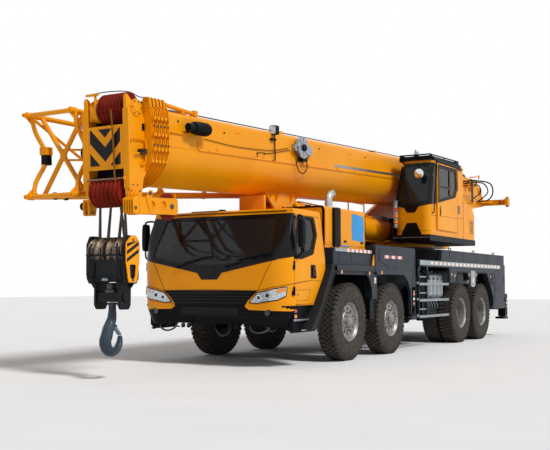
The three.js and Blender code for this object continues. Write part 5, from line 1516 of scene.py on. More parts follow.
def makeDoor(name):
    bag = []
    glass = rounded(onSide(doorGlass), [0.03, 0.05, 0.05, 0.04, 0.05], 4)
    skin(bag, rounded(onSide(doorPanel), 0.02, 3), cabSkin, 0.045, "yellow", [grown(glass, 1.05)])
    frameEdge = rounded(onSide([(-1.690, 1.50), (-1.500, 2.108), (-1.00, 2.108), (-0.965, 1.86),
        (-1.145, 1.575), (-1.50, 1.50)]), [0.02, 0.04, 0.05, 0.04, 0.06, 0.05], 4)
    skin(bag, frameEdge, cabSkin, 0.012, "black", [glass], depth=-0.007)
    # The divider of the sliding pane, the inner trim and the recessed handle.
    skin(bag, onSide(strip([(-1.40, 1.575), (-1.335, 2.075)], 0.022)), cabSkin, 0.02, "black", depth=-0.005)
    lining = onSide([(-1.66, 0.95), (-1.66, 1.50), (-1.20, 1.56), (-0.90, 1.56), (-0.86, 1.42),
        (-1.12, 0.93)])
    skin(bag, lining, cabSkin, 0.006, "black", depth=0.044)
    handle = onSide([(-1.235, 1.235), (-1.235, 1.425), (-1.10, 1.425), (-1.06, 1.235)])
    skin(bag, rounded(handle, 0.02, 4), cabSkin, 0.008, "black", depth=-0.004)
    pull = onSide([(-1.185, 1.265), (-1.185, 1.395), (-1.145, 1.395), (-1.12, 1.265)])
    skin(bag, rounded(pull, 0.012, 4), cabSkin, 0.012, "blackGloss", depth=-0.016)
    corners = [(-1.66, 1.075), (-1.66, 0.925), (-1.27, 0.925), (-1.22, 1.075), (-1.66, 1.075)]
    for line in (*[corners[k : k + 2] for k in range(4)], [(-1.692, 1.165), (-1.2, 1.21), (-0.93, 1.20)]):
        skin(bag, onSide(strip(line, 0.004)), cabSkin, 0.003, "black", depth=-0.0015)
    skin(bag, rounded(onSide([(-1.60, 1.00), (-1.60, 1.02), (-1.55, 1.02), (-1.55, 1.00)]), 0.004, 2),
        cabSkin, 0.003, "redLens", depth=-0.003)
    for z in (1.0, 1.35):
        disc(bag, "z", (1.268, -1.70, 0), 0.0118, z + 0.0605, z + 0.1205, "black", 12, 0.002)
        block(bag, (1.225, 1.268), (-1.696, -1.680), (z + 0.0605, z + 0.1205), "black")
    # Mirror head on two arms: an oval shell with its glass to the rear.
    mirrorX, mirrorY, mirrorZ = mirrorFacts["x"], mirrorFacts["y"], mirrorFacts["z"]
    rings = []
    for t, grow in [(0.0, 0.55), (0.10, 0.86), (0.28, 1.0), (0.75, 1.0), (0.92, 0.97), (1.0, 0.92)]:
        y = mirrorY - 0.055 + 0.11 * t
        wide, tall = mirrorFacts["wide"] * grow, mirrorFacts["high"] * (0.9 + 0.1 * grow)
        ring = []
        for u, v in ringPoints(1, 32):
            x = mirrorX + wide * math.copysign(abs(u) ** 0.6, u)
            z = mirrorZ + tall * math.copysign(abs(v) ** 0.6, v)
            ring.append(Vector((x, y, z)))
        rings.append(ring)
    loft(bag, rings, "black")
    for low, high in ((-0.185, 0.05), (0.07, 0.185)):
        pane = rounded(rect(mirrorX - 0.034, mirrorX + 0.034, mirrorZ + low, mirrorZ + high), 0.015, 3)
        slab(bag, "y", pane, mirrorY + 0.053, mirrorY + 0.058, "mirror")
    arms = [
        (0.014, (1.20, -1.48, 2.085), (1.28, -1.60, 2.10), 2.08, 2.02),
        (0.013, (1.262, -1.66, 1.525), (1.30, -1.66, 1.53), 1.58, 1.68),
    ]
    for thick, foot, elbow, z0, z1 in arms:
        arm = smoothPath([foot, elbow, (mirrorX, mirrorY, z0), (mirrorX, mirrorY, z1)], 5)
        tube(bag, arm, thick, "black", 8)
    place = ground if name == "door_left" else ground @ mirrorAll
    makePiece(name + "_pressed", bag, name, place, [name], 0.003, 50)
    bag = []
    skin(bag, glass, cabSkin, 0.006, "glass", depth=0.012)
    makePiece(name + "_glass", bag, name, place, ())


def makeCabInterior():
    bag = []
    floor = cabFacts["floor"] + 0.052
    block(bag, (-1.13, 1.13), (-1.62, -1.17), (floor, floor + 0.03), "mat")
    dash = rounded([(-1.745, 1.15), (-1.745, 1.33), (-1.62, 1.385), (-1.52, 1.27), (-1.56, floor + 0.01),
        (-1.64, floor + 0.01)], [0.02, 0.03, 0.05, 0.05, 0.02, 0.02], 4)
    slab(bag, "x", dash, -1.02, 1.02, "black")
    block(bag, (0.42, 0.88), (-1.60, -1.53), (1.36, 1.41), "black")
    for x, r in [(0.56, 0.05), (0.68, 0.035), (0.78, 0.035)]:
        disc(bag, "y", (x, 0, 1.335), r, -1.535, -1.522, "white", 24, 0.003)
    slab(bag, "x", [(-1.56, 1.20), (-1.51, 1.33), (-1.50, 1.32), (-1.545, 1.19)], -0.30, 0.25, "glassDark")
    # Column, wheel and its three spokes.
    bar(bag, (0.65, -1.60, 1.28), (0.65, -1.475, 1.52), 0.03, "black")
    hub = Matrix.Translation((0.65, -1.47, 1.525)) @ Matrix.Rotation(math.radians(25), 4, "X")
    wheel = []
    tube(wheel, [(x, y, 0) for x, y in ringPoints(0.215, 40)], 0.014, "black", 10, closed=True)
    disc(wheel, "z", (0, 0, 0), 0.06, -0.02, 0.02, "black", 24, 0.006)
    for a in (math.pi / 2 * 3, math.radians(20), math.radians(160)):
        tube(wheel, [(0.05 * math.cos(a), 0.05 * math.sin(a), 0),
            (0.21 * math.cos(a), 0.21 * math.sin(a), 0)], 0.011, "black", 8)
    bag += moved(wheel, hub)
    for side in (1, -1):
        block(bag, (side * 0.46, side * 0.84), (-1.35, -1.10), (floor, floor + 0.10), "black")
        for k in range(4):
            z = floor + 0.11 + 0.045 * k
            fold = [(side * 0.5, -1.30, z), (side * 0.8, -1.30, z), (side * 0.8, -1.14, z),
                (side * 0.5, -1.14, z)]
            tube(bag, smoothPath(fold, 4), 0.016, "rubber", 8, closed=True)
        block(bag, (side * 0.44, side * 0.86), (-1.38, -1.02), (1.205, 1.235), "black")
        belt = strip([(-1.0, 1.93), (-0.99, 1.6), (-1.02, 1.38)], 0.004)
        slab(bag, "x", belt, side * 0.47, side * 0.515, "rubber")
    block(bag, (-0.30, 0.30), (-1.38, -1.0), (floor, 1.22), "black")
    makePiece("cab_dash_and_wheel", bag, "carrier", ground, ["cab_interior"], 0.006)
    for name, x in (("driver", 0.65), ("mate", -0.65)):
        places = {"seat": (Matrix.Translation((x, -1.19, 1.292)), (0.49, 0.44, 0.10), 3),
            "back": (Matrix.Translation((x, -0.955, 1.625)) @ Matrix.Rotation(math.radians(82), 4, "X"),
            (0.47, 0.58, 0.09), 5), "headrest": (Matrix.Translation((x, -0.918,
            1.99)) @ Matrix.Rotation(math.radians(84), 4, "X"), (0.27, 0.14, 0.07), 1),}
        for part, (at, size, channels) in places.items():
            cushion = makePiece(f"{name}_{part}_cushion", cushionBag(size, channels, 0.018), "carrier",
                ground @ at, (), 0, 70)


makeCabShell()
makeDoor("door_left")
makeDoor("door_right")
makeCabInterior()
print("driver's cab made")


# Bumper: it follows the cab's corners and draws in towards its lower edge.
def bumperSkin(s, z, depth):
    x, y, _ = cabSkin(s, 1.2, depth)
    draw = min(1, max(0, (0.86 - z) / 0.29))
    return (x * (1 - 0.085 * draw), y + 0.05 * draw * draw, z)


def makeBumper():
    bag = []
    lower = [(-1.50, 0.858), (1.50, 0.858), (1.46, 0.60), (1.30, 0.575), (0.85, 0.575), (0.74, 0.60),
        (-0.74, 0.60), (-0.85, 0.575), (-1.30, 0.575), (-1.46, 0.60)]
    skin(bag, lower, bumperSkin, 0.05, "black", depth=-0.002)
    skin(bag, strip([(-1.40, 0.70), (0, 0.70), (1.40, 0.70)], 0.012), bumperSkin, 0.006, "blackGloss",
        depth=-0.006)
    skin(bag, rounded(rect(-0.50, 0.50, 0.715, 0.83), 0.02, 3), bumperSkin, 0.006, "blackGloss", depth=-0.008)
    for x in (-0.34, 0.34):
        skin(bag, rounded(rect(x - 0.045, x + 0.045, 0.63, 0.68), 0.015, 3), bumperSkin, 0.008, "rubber",
            depth=-0.010)
    for side in (1, -1):
        at = bumperSkin(side * 0.975, 0.765, 0)
        disc(bag, "y", (at[0], 0, at[2]), 0.058, at[1] - 0.016, at[1] + 0.03, "black", 28, 0.004)
        disc(bag, "y", (at[0], 0, at[2]), 0.044, at[1] - 0.020, at[1], "steel", 28, 0.006)
        # Side skirt under the door, with its step, rails and marker lamps.
        skirt = [(-1.665, 0.84), (-1.665, 0.56), (-1.60, 0.505), (-1.43, 0.505), (-1.13, 0.845)]
        slab(bag, "x", skirt, side * 1.10, side * 1.222, "black")
        slab(bag, "x", [(-1.66, 0.86), (-1.66, 0.845), (-1.12, 0.845), (-1.108, 0.86)], side * 1.09,
            side * 1.235, "black")
        for z, thick, mat in ((0.66, 0.016, "zinc"), (0.50, 0.011, "black")):
            rail = [(side * 1.16, -1.64, z - 0.005), (side * 1.235, -1.60, z), (side * 1.24, -1.3, z),
                (side * 1.235, -1.06, z + 0.004), (side * 1.16, -1.02, z)]
            tube(bag, smoothPath(rail, 4), thick, mat, 8)
        block(bag, (side * 1.13, side * 1.245), (-1.56, -1.08), (0.650, 0.662), "zinc")
        for y in (-1.5, -1.2):
            bar(bag, (side * 1.2, y, 0.50), (side * 1.2, y - 0.06, 0.86), 0.012, "black")
        for low, mat in ((0.765, "redLens"), (0.690, "amber")):
            lens = rounded(rect(-1.65, -1.59, low, low + 0.045), 0.008, 2)
            skin(bag, lens, lambda u, v, d, s=side: (s * (1.245 - d), u, v), 0.02, mat)
        block(bag, (side * 1.19, side * 1.236), (-1.66, -1.58), (0.68, 0.82), "black")
        for x in (0.34, 0.44):
            slab(bag, "x", rounded([(-1.86, 0.60), (-1.86, 0.54), (-1.93, 0.535), (-1.93, 0.60)], 0.02,
                3), side * x, side * (x + 0.02), "black", [ringPoints(0.016, 12, (-1.905, 0.567))])
    # Tow loops hang under the corners.
    for side in (1, -1):
        tube(bag, smoothPath([(side * 0.62, -1.80, 0.60), (side * 0.66, -1.83, 0.52),
            (side * 0.78, -1.84, 0.485), (side * 0.90, -1.82, 0.52), (side * 0.94, -1.78, 0.60)], 5),
            0.014, "steel", 8)
    block(bag, (-0.42, 0.42), (-1.83, -1.52), (0.60, 0.66), "greyDark")
    block(bag, (-1.05, 1.05), (-1.50, -1.48), (0.60, 0.85), "greyDark")
    makePiece("front_bumper_moulded", bag, "carrier", ground, ["front_bumper"], 0.005, 50)


makeBumper()
print("bumper made")

# Engine hood: side panels, air duct, exhaust and louvres.
hoodFacts = {"half": 1.2, "front": -0.70, "rear": 0.75, "foot": 1.692, "top": 2.31, "trough": 2.03}


def makeHood():
    bag = []
    half, front, rear = hoodFacts["half"], hoodFacts["front"], hoodFacts["rear"]
    foot, top, trough = hoodFacts["foot"], hoodFacts["top"], hoodFacts["trough"]
    face = rounded([(half, foot), (half, top), (0.56, top), (0.50, trough), (-0.50, trough), (-0.56, top),
        (-half, top), (-half, foot)], [0, 0.05, 0.03, 0.03, 0.03, 0.03, 0.05, 0], 4)
    inner = rounded([(half - 0.03, foot - 0.001), (half - 0.03, top - 0.03), (0.585, top - 0.03),
        (0.525, trough - 0.03), (-0.525, trough - 0.03), (-0.585, top - 0.03), (-half + 0.03, top - 0.03),
        (-half + 0.03, foot - 0.001)], [0, 0.04, 0.02, 0.02, 0.02, 0.02, 0.04, 0], 4)
    arch = face + inner[::-1]
    slab(bag, "y", arch, front, rear, "yellow")
    for y in (front, rear - 0.03):
        slab(bag, "y", face, y, y + 0.03, "yellow")
    for side in (1, -1):
        x = side * half
        out = side * (half + 0.012)
        # Raised door panels, their hinges and latches.
        for y0, y1 in [(-0.66, -0.46), (-0.20, 0.70)]:
            slab(bag, "x", rounded(rect(y0, y1, foot + 0.05, top - 0.06), 0.03, 3), x,
                side * (half + 0.006), "yellow")
        duct = rounded([(-0.43, foot + 0.02), (-0.43, top - 0.01), (-0.23, top - 0.01),
            (-0.23, foot + 0.02)], 0.04, 4)
        slab(bag, "x", duct, x, side * (half + 0.045), "black")
        for k in range(14):
            z = foot + 0.07 + 0.037 * k
            block(bag, (side * (half + 0.04), side * (half + 0.053)), (-0.40, -0.26), (z, z + 0.012), "black")
        for z in (foot + 0.12, top - 0.14):
            for y in (-0.19, 0.69):
                disc(bag, "z", (out, y, 0), 0.009, z, z + 0.06, "yellow", 10, 0.002)
        for y in (-0.05, 0.55):
            slab(bag, "x", rounded(rect(y, y + 0.08, foot + 0.10, foot + 0.13), 0.01, 3),
                side * (half + 0.005), side * (half + 0.016), "black")
        block(bag, (side * (half - 0.02), side * (half + 0.01)), (front + 0.01, rear - 0.01),
            (foot + 0.001, foot + 0.022), "yellow")
        for y in (0.0, 0.22, 0.44):
            slab(bag, "z", [(side * x, v) for x, v in rounded(rect(0.72, 1.08, y, y + 0.14), 0.03, 3)],
                top - 0.001, top + 0.010, "black")
            for k in range(4):
                block(bag, (side * 0.74, side * 1.06), (y + 0.018 + 0.03 * k, y + 0.028 + 0.03 * k),
                    (top + 0.008, top + 0.018), "blackGloss")
    slab(bag, "x", rounded([(0.24, 1.84), (0.22, 2.07), (0.25, 2.255), (0.65, 2.225), (0.68, 2.03),
        (0.65, 1.82)], 0.04, 4), half + 0.005, half + 0.009, "blue")
    block(bag, (-0.02 + half, half + 0.008), (-0.12, 0.14), (foot + 0.03, foot + 0.055), "blue")
    # Bent exhaust stack with its clamp and cut end.
    stack = smoothPath([(1.05, -0.25, top - 0.02), (1.05, -0.25, top + 0.05), (1.05, -0.25, top + 0.12),
        (1.05, -0.235, top + 0.165), (1.05, -0.19, top + 0.205), (1.05, -0.13, top + 0.23)], 6)
    tube(bag, stack, 0.055, "exhaust", 24)
    bar(bag, (1.05, -0.14, top + 0.227), (1.05, -0.125, top + 0.233), 0.057, "exhaust", 24)
    bar(bag, (1.05, -0.131, top + 0.2305), (1.05, -0.122, top + 0.2345), 0.046, "black", 24)
    turned(bag, "z", (1.05, -0.25, 0), [(0.060, top + 0.05), (0.064, top + 0.052), (0.064, top + 0.078),
        (0.060, top + 0.08)], "exhaust", 24)
    disc(bag, "z", (1.05, -0.25, 0), 0.085, top - 0.002, top + 0.012, "exhaust", 28, 0.003)
    for x, y, r in [(0.75, -0.35, 0.05), (-0.85, -0.3, 0.06)]:
        disc(bag, "z", (x, y, 0), r, top, top + 0.05, "black", 24, 0.012)
    makePiece("engine_hood_pressed", bag, "carrier", ground, ["engine_hood"], 0.004, 50)


makeHood()
print("engine hood made")


# Gear along the boom: cable drum, lamp, length reel with its hanging lead, cover strips.
boomGear = {"drum": (-9.94, 0.37), "lamp": -7.88, "reel": (-7.09, 0.37), "stripZ": 0.115}


def makeBoomGear():
    bag = []
    half = boomFacts["half"]
    y, z = boomGear["drum"]
    block(bag, (half, half + 0.03), (y - 0.14, y + 0.12), (z - 0.05, z + 0.05), "black")
    turned(bag, "y", (half + 0.105, 0, z), [(0.03, y - 0.24), (0.05, y - 0.235), (0.055, y - 0.12),
        (0.078, y - 0.11), (0.084, y - 0.06), (0.084, y + 0.17), (0.074, y + 0.20), (0.03, y + 0.205)],
        "black", 28)
    for k in range(5):
        at = y - 0.05 + 0.045 * k
        turned(bag, "y", (half + 0.105, 0, z),
            [(0.080, at), (0.089, at + 0.005), (0.089, at + 0.02), (0.080, at + 0.025)], "black", 28)
    # Hose guides in a chain from the collars to the drum.
    for k in range(7):
        at = boomFacts["front"] + 0.06 + 0.055 * k
        disc(bag, "x", (0, at, z - 0.08), 0.016, half, half + 0.022, "yellow", 10, 0.003)
    tube(bag, [(half + 0.018, boomFacts["front"] + 0.04, z - 0.08), (half + 0.018, y - 0.14, z - 0.08),
        (half + 0.04, y - 0.10, z - 0.06)], 0.009, "yellow", 8)
    # Cover strip over the seam, in four lengths with a step at each joint.
    zs = boomGear["stripZ"]
    for start, stop in [(-9.80, -7.95), (-7.92, -6.85), (-6.82, -5.1), (-5.07, -3.2), (-3.17, -0.7)]:
        block(bag, (half, half + 0.016), (start, stop), (zs - 0.012, zs + 0.016), "yellow")
    block(bag, (half, half + 0.02), (-9.82, -9.79), (zs - 0.01, zs + 0.10), "yellow")
    for k in range(16):
        disc(bag, "x", (0, -9.6 + 0.56 * k, zs + 0.002), 0.007, half + 0.01, half + 0.022, "steel", 6)
    block(bag, (half, half + 0.004), (-5.85, -0.9), (0.165, 0.205), "alloy")
    # Work lamp on its stem.
    y = boomGear["lamp"]
    bar(bag, (half + 0.03, y, zs), (half + 0.03, y, 0.50), 0.010, "black", 8)
    bar(bag, (half - 0.01, y, 0.44), (half + 0.035, y, 0.44), 0.012, "black", 8)
    block(bag, (half, half + 0.035), (y - 0.10, y + 0.04), (0.415, 0.445), "black")
    slab(bag, "y", rounded(rect(half - 0.03, half + 0.09, 0.50, 0.64), 0.03, 4), y - 0.05, y + 0.04, "black")
    slab(bag, "y", rounded(rect(half - 0.02, half + 0.08, 0.51, 0.63), 0.025, 4), y - 0.056, y - 0.045,
        "clear")
    # Length reel: spool, cover, mount and lead.
    y, z = boomGear["reel"]
    profile = [(0.06, half + 0.02), (0.165, half + 0.022), (0.17, half + 0.035), (0.15, half + 0.042),
        (0.145, half + 0.07), (0.17, half + 0.078), (0.168, half + 0.09), (0.05, half + 0.094)]
    turned(bag, "x", (0, y, z), profile, "alloy", 36)
    for inner, outer in zip(ringPoints(0.04, 8, (y, z)), ringPoints(0.155, 8, (y, z))):
        bar(bag, (half + 0.095, *inner), (half + 0.095, *outer), 0.006, "alloy", 6)
    disc(bag, "x", (0, y, z), 0.055, half + 0.09, half + 0.125, "black", 20, 0.006)
    block(bag, (half, half + 0.075), (y - 0.24, y - 0.10), (z - 0.06, z + 0.04), "alloy")
    block(bag, (half, half + 0.085), (y - 0.02, y + 0.13), (z - 0.21, z - 0.09), "black")
    block(bag, (half, half + 0.055), (y + 0.14, y + 0.36), (z - 0.09, z + 0.05), "alloy")
    bar(bag, (half + 0.07, y - 0.30, z - 0.01), (half + 0.07, y - 0.20, z), 0.012, "alloy", 8)
    for k in range(4):
        r = 0.10 + 0.012 * k
        turned(bag, "x", (0, y, z), [(r, half + 0.045), (r + 0.012, half + 0.048),
            (r + 0.012, half + 0.064), (r, half + 0.067)], "rubber", 28)
    lead = [(0.05, -0.10, -0.14), (0.045, -0.16, -0.26), (0.045, -0.08, -0.37), (0.045, 0.06, -0.39),
            (0.045, 0.17, -0.31), (0.045, 0.16, -0.21), (0.05, 0.08, -0.15)]
    tube(bag, smoothPath([(half + a, y + b, z + c) for a, b, c in lead]), 0.0085, "rubber", 8)
    # Wires held along the side, and small clips.
    wires = [
        (8, [(0.012, -9.7, 0.27), (0.012, -8.9, 0.235), (0.012, -8.0, 0.26), (0.014, -7.45, 0.34)]),
        (6, [(0.012, -8.35, 0.10), (0.012, -8.32, 0.20), (0.012, -8.0, 0.215), (0.014, -7.38, 0.32)]),
    ]
    for steps, wire in wires:
        tube(bag, smoothPath([(half + off, y, z) for off, y, z in wire], steps), 0.0045, "rubber", 6)
    for y0, z0 in [(-10.25, 0.44), (-9.2, 0.40), (-6.4, 0.42), (-4.6, 0.42), (-8.35, 0.19), (-8.15, 0.20)]:
        disc(bag, "x", (0, y0, z0), 0.012, half, half + 0.014, "black", 10)
    # Folding tube bracket and rope rollers on top, behind the collars.
    top = boomFacts["top"]
    for side in (1, -1):
        bar(bag, (side * 0.38, -10.42, top + 0.075), (side * 0.38, -9.80, top + 0.030), 0.028, "yellow", 12)
        bar(bag, (side * 0.30, -10.40, top + 0.03), (side * 0.30, -9.86, top + 0.015), 0.012, "steel", 8)
        block(bag, (side * 0.34, side * 0.42), (-9.84, -9.76), (top - 0.002, top + 0.07), "yellow")
        block(bag, (side * 0.34, side * 0.42), (-10.10, -10.06), (top - 0.002, top + 0.05), "yellow")
    for y in (-7.2, -3.6, -0.6):
        for side in (1, -1):
            slab(bag, "x", rounded([(y - 0.07, top), (y - 0.04, top + 0.09), (y + 0.04, top + 0.09),
                (y + 0.07, top)], [0, 0.03, 0.03, 0], 4), side * 0.20, side * 0.212, "yellow")
        bar(bag, (-0.2, y, top + 0.055), (0.2, y, top + 0.055), 0.028, "black", 16)
    for x in (-0.09, 0.10):
        tube(bag, [(x, -10.5, top + 0.092), (x, -7.2, top + 0.092), (x, -3.6, top + 0.092),
            (x, -0.5, top + 0.092), (x, -0.15, top + 0.07)], 0.0095, "rope", 8)
    makePiece("boom_side_gear", bag, "boom_base", boomPlace, (), 0.0)


makeBoomGear()
print("boom gear made")

# Operator's cab, laid out flat as (s, z) with s = 0 in the middle of its front.
operatorFacts = {"middle": 0.94, "flat": 0.24, "radius": 0.10, "front": 3.41, "lean": 0.21, "rear": 5.335,
    "floor": 2.085, "wall": 1.72}


def operatorSkin(s, z, depth):
    facts = operatorFacts
    front = facts["front"] + facts["lean"] * max(0, z - 2.65)
    turnLength = facts["radius"] * math.pi / 2
    side, s = (-1 if s < 0 else 1), abs(s)
    if s < facts["flat"]:
        x, y, inX, inY = s, front, 0, 1
    elif s < facts["flat"] + turnLength:
        a = (s - facts["flat"]) / facts["radius"]
        x = facts["flat"] + facts["radius"] * math.sin(a)
        y = front + facts["radius"] * (1 - math.cos(a))
        inX, inY = -math.sin(a), math.cos(a)
    else:
        reach = (s - facts["flat"] - turnLength) / facts["wall"]
        x = facts["flat"] + facts["radius"]
        y = front + facts["radius"] + reach * (facts["rear"] - front - facts["radius"])
        inX, inY = -1, 0
    x = facts["middle"] + side * (x + inX * depth)
    if side < 0:
        x += 0.08 * max(0, z - 2.65) / 0.8 * min(1, s / facts["flat"])
    return (x, y + inY * depth, z)


def operatorS(y, z):
    facts = operatorFacts
    front = facts["front"] + facts["lean"] * max(0, z - 2.65)
    back, whole = y - front - facts["radius"], facts["rear"] - front - facts["radius"]
    return facts["flat"] + facts["radius"] * math.pi / 2 + facts["wall"] * back / whole


def onOperator(outline):
    return [(operatorS(y, z), z) for y, z in outline]


def makeOperatorCab():
    facts = operatorFacts
    bag = []
    end = facts["flat"] + facts["radius"] * math.pi / 2 + facts["wall"]
    low, high = facts["floor"], 3.46
    screen = [(-0.37, 2.69), (-0.31, 3.44), (0.31, 3.44), (0.37, 2.69)]
    doorway = onOperator([(3.83, 2.22), (3.83, 3.42), (4.86, 3.42), (4.86, 2.22)])
    right = flipped(onOperator([(3.85, 2.72), (3.85, 3.40), (5.0, 3.40), (5.0, 2.72)]))
    holes = [screen, doorway, right]
    skin(bag, [(-end, low), (end, low), (end, high), (-end, high)], operatorSkin, 0.04, "yellow", holes)
    # Dark lining inside the shell, roof and rear wall: partly trim, partly painted shade, so that the inside
    # seen through the glass is dark.
    lining = [(-end + 0.03, low + 0.045), (end - 0.03, low + 0.045), (end - 0.03, high - 0.01),
        (-end + 0.03, high - 0.01)]
    skin(bag, lining, operatorSkin, 0.004, "mat", [grown(hole, 1.006) for hole in holes], depth=0.0405)
    block(bag, (0.645, 1.235), (3.62, 5.23), (3.462, 3.468), "mat")
    slab(bag, "y", rect(0.645, 1.23, low + 0.05, 3.45), facts["rear"] - 0.047, facts["rear"] - 0.041,
        "mat", [rounded(rect(0.69, 1.18, 2.79, 3.39), 0.05, 4)])
    ring = [operatorSkin(-end + 2 * end * k / 48, high, 0) for k in range(49)]
    # The roof rises a little towards the rear.
    rings = []
    for z, inset, rise in [(3.455, 0.0, 0), (3.50, 0.01, 0.022), (3.535, 0.05, 0.022), (3.555, 0.15, 0.022)]:
        rings.append([Vector((facts["middle"] + (x - facts["middle"]) * (1 - inset),
            y + (inset * 0.45 if y < 4.4 else -inset * 0.45), z + rise * (y - 3.5))) for x, y, _ in ring])
    loft(bag, rings, "yellow")
    edge = strip(rounded([(0.625, 5.22), (0.625, 3.56), (1.255, 3.56), (1.255, 5.22)], [0, 0.10, 0.10, 0],
        4), 0.05)
    slab(bag, "z", edge, 3.50, 3.566, "black")
    slab(bag, "z", rect(1.205, 1.258, 4.3, 5.22), 3.52, 3.590, "black")
    window = rounded(rect(0.70, 1.17, 2.80, 3.38), 0.05, 4)
    slab(bag, "y", rect(0.62, 1.275, low, 3.47), facts["rear"] - 0.04, facts["rear"], "yellow", [window])
    block(bag, (0.62, 1.27), (3.50, 5.26), (low, low + 0.04), "greyDark")
    for line in ([(3.50, 2.45), (4.4, 2.47), (5.285, 2.50)], [(5.0, 2.12), (5.0, 3.3)]):
        skin(bag, onOperator(strip(line, 0.006)), operatorSkin, 0.003, "black", depth=-0.0015)
    skin(bag, strip([(-0.38, 2.16), (0.40, 2.16)], 0.006), operatorSkin, 0.003, "black", depth=-0.0015)
    block(bag, (1.272, 1.315), (3.765, 5.25), (3.474, 3.50), "black")
    makePiece("operator_cab_pressed", bag, "upper_works", ground, ["operator_cab"], 0.005, 50)

    bag = []
    glass = rounded([(-0.325, 2.71), (-0.27, 3.40), (0.29, 3.40), (0.32, 2.71)], 0.04, 4)
    wrap = [(operatorS(3.775, z), z) for z in (3.455, 2.69)]
    border = [(-0.46, 2.67), (-0.44, 3.455), (0.40, 3.455), *wrap, (0.40, 2.66), (0.13, 2.615),
        (0.06, 2.505), (-0.10, 2.505), (-0.16, 2.60), (-0.44, 2.655)]
    skin(bag, rounded(border, 0.015, 2), operatorSkin, 0.03, "blackGloss", [glass], depth=-0.005)
    skin(bag, rounded([(-0.105, 2.31), (0.085, 2.31), (0.19, 2.085), (-0.225, 2.085)],
        [0.02, 0.02, 0.0, 0.0], 3), operatorSkin, 0.006, "black", depth=-0.004)
    for k in range(5):
        skin(bag, rect(-0.14 + 0.02 * k / 4, 0.11 - 0.02 * k / 4, 2.11 + 0.038 * k, 2.122 + 0.038 * k),
            operatorSkin, 0.006, "blackGloss", depth=-0.009)
    skin(bag, onOperator([(4.906, 2.985), (4.906, 3.44), (5.02, 3.455), (5.035, 3.06), (4.99, 3.02)]),
        operatorSkin, 0.004, "black", depth=-0.001)
    # Grab bars beside the glass, door post bar, side vent and the window surrounds.
    for s in (-0.40, -0.455):
        tube(bag, [operatorSkin(s, z, -0.035) for z in (2.70, 2.9, 3.1, 3.3, 3.42)], 0.013, "black", 8)
    tube(bag, smoothPath([operatorSkin(0.43, 3.40, -0.02), operatorSkin(0.43, 3.38, -0.045),
        operatorSkin(0.43, 2.75, -0.045), operatorSkin(0.425, 2.52, -0.045),
        operatorSkin(0.425, 2.49, -0.012)], 5), 0.012, "black", 8)
    vent = onOperator([(5.02, 2.58), (5.02, 2.74), (5.13, 2.74), (5.13, 2.58)])
    skin(bag, vent, operatorSkin, 0.004, "greyDark", depth=-0.001)
    for k in range(5):
        skin(bag, onOperator(rect(5.03, 5.12, 2.595 + 0.028 * k, 2.607 + 0.028 * k)), operatorSkin, 0.003,
            "zinc", depth=-0.0025)
    rightPane = flipped(onOperator([(3.86, 2.74), (3.86, 3.39), (4.98, 3.39), (4.98, 2.74)]))
    skin(bag, rightPane, operatorSkin, 0.006, "glass", depth=0.01)
    rearPane = rounded(rect(0.72, 1.15, 2.82, 3.36), 0.05, 4)
    slab(bag, "y", rearPane, facts["rear"] - 0.02, facts["rear"] - 0.014, "glass")
    slab(bag, "y", rounded(rect(0.68, 1.19, 2.78, 3.40), 0.06, 4), facts["rear"] - 0.002,
        facts["rear"] + 0.006, "rubber", [rearPane])
    # Roof rack with its posts, visor and beacon.
    for x0, x1, y0, y1 in [(0.66, 1.26, 3.52, 3.52), (1.26, 1.26, 3.52, 5.12), (1.26, 0.66, 5.12, 5.12),
            (0.66, 0.66, 5.12, 3.52)]:
        for z, r in ((3.60, 0.014), (3.565, 0.012)):
            bar(bag, (x0, y0, z + 0.025 * (y0 - 3.5)), (x1, y1, z + 0.025 * (y1 - 3.5)), r, "black", 8)
    for x in (0.66, 0.96, 1.26):
        for y in (3.52, 4.3, 5.12):
            bar(bag, (x, y, 3.50), (x, y, 3.60 + 0.025 * (y - 3.5)), 0.011, "black", 8)
    bar(bag, (1.26, 3.52, 3.60), (1.30, 3.70, 3.50), 0.012, "black", 8)
    slab(bag, "z", rounded([(0.64, 3.53), (1.27, 3.53), (1.27, 3.74), (0.64, 3.74)], 0.05, 3), 3.565,
        3.58, "blackGloss")
    slab(bag, "z", rounded([(0.70, 3.9), (1.18, 3.9), (1.18, 4.9), (0.70, 4.9)], 0.06, 3), 3.552, 3.58,
        "black")
    for y in [4.0 + 0.1 * k for k in range(9)]:
        block(bag, (0.74, 1.14), (y, y + 0.03), (3.578, 3.588), "blackGloss")
    disc(bag, "z", (0.92, 3.70, 0), 0.055, 3.55, 3.615, "black", 24, 0.006)
    turned(bag, "z", (0.92, 3.70, 0), [(0.046, 3.612), (0.044, 3.68), (0.034, 3.715), (0.016, 3.732)],
        "alloy", 24)
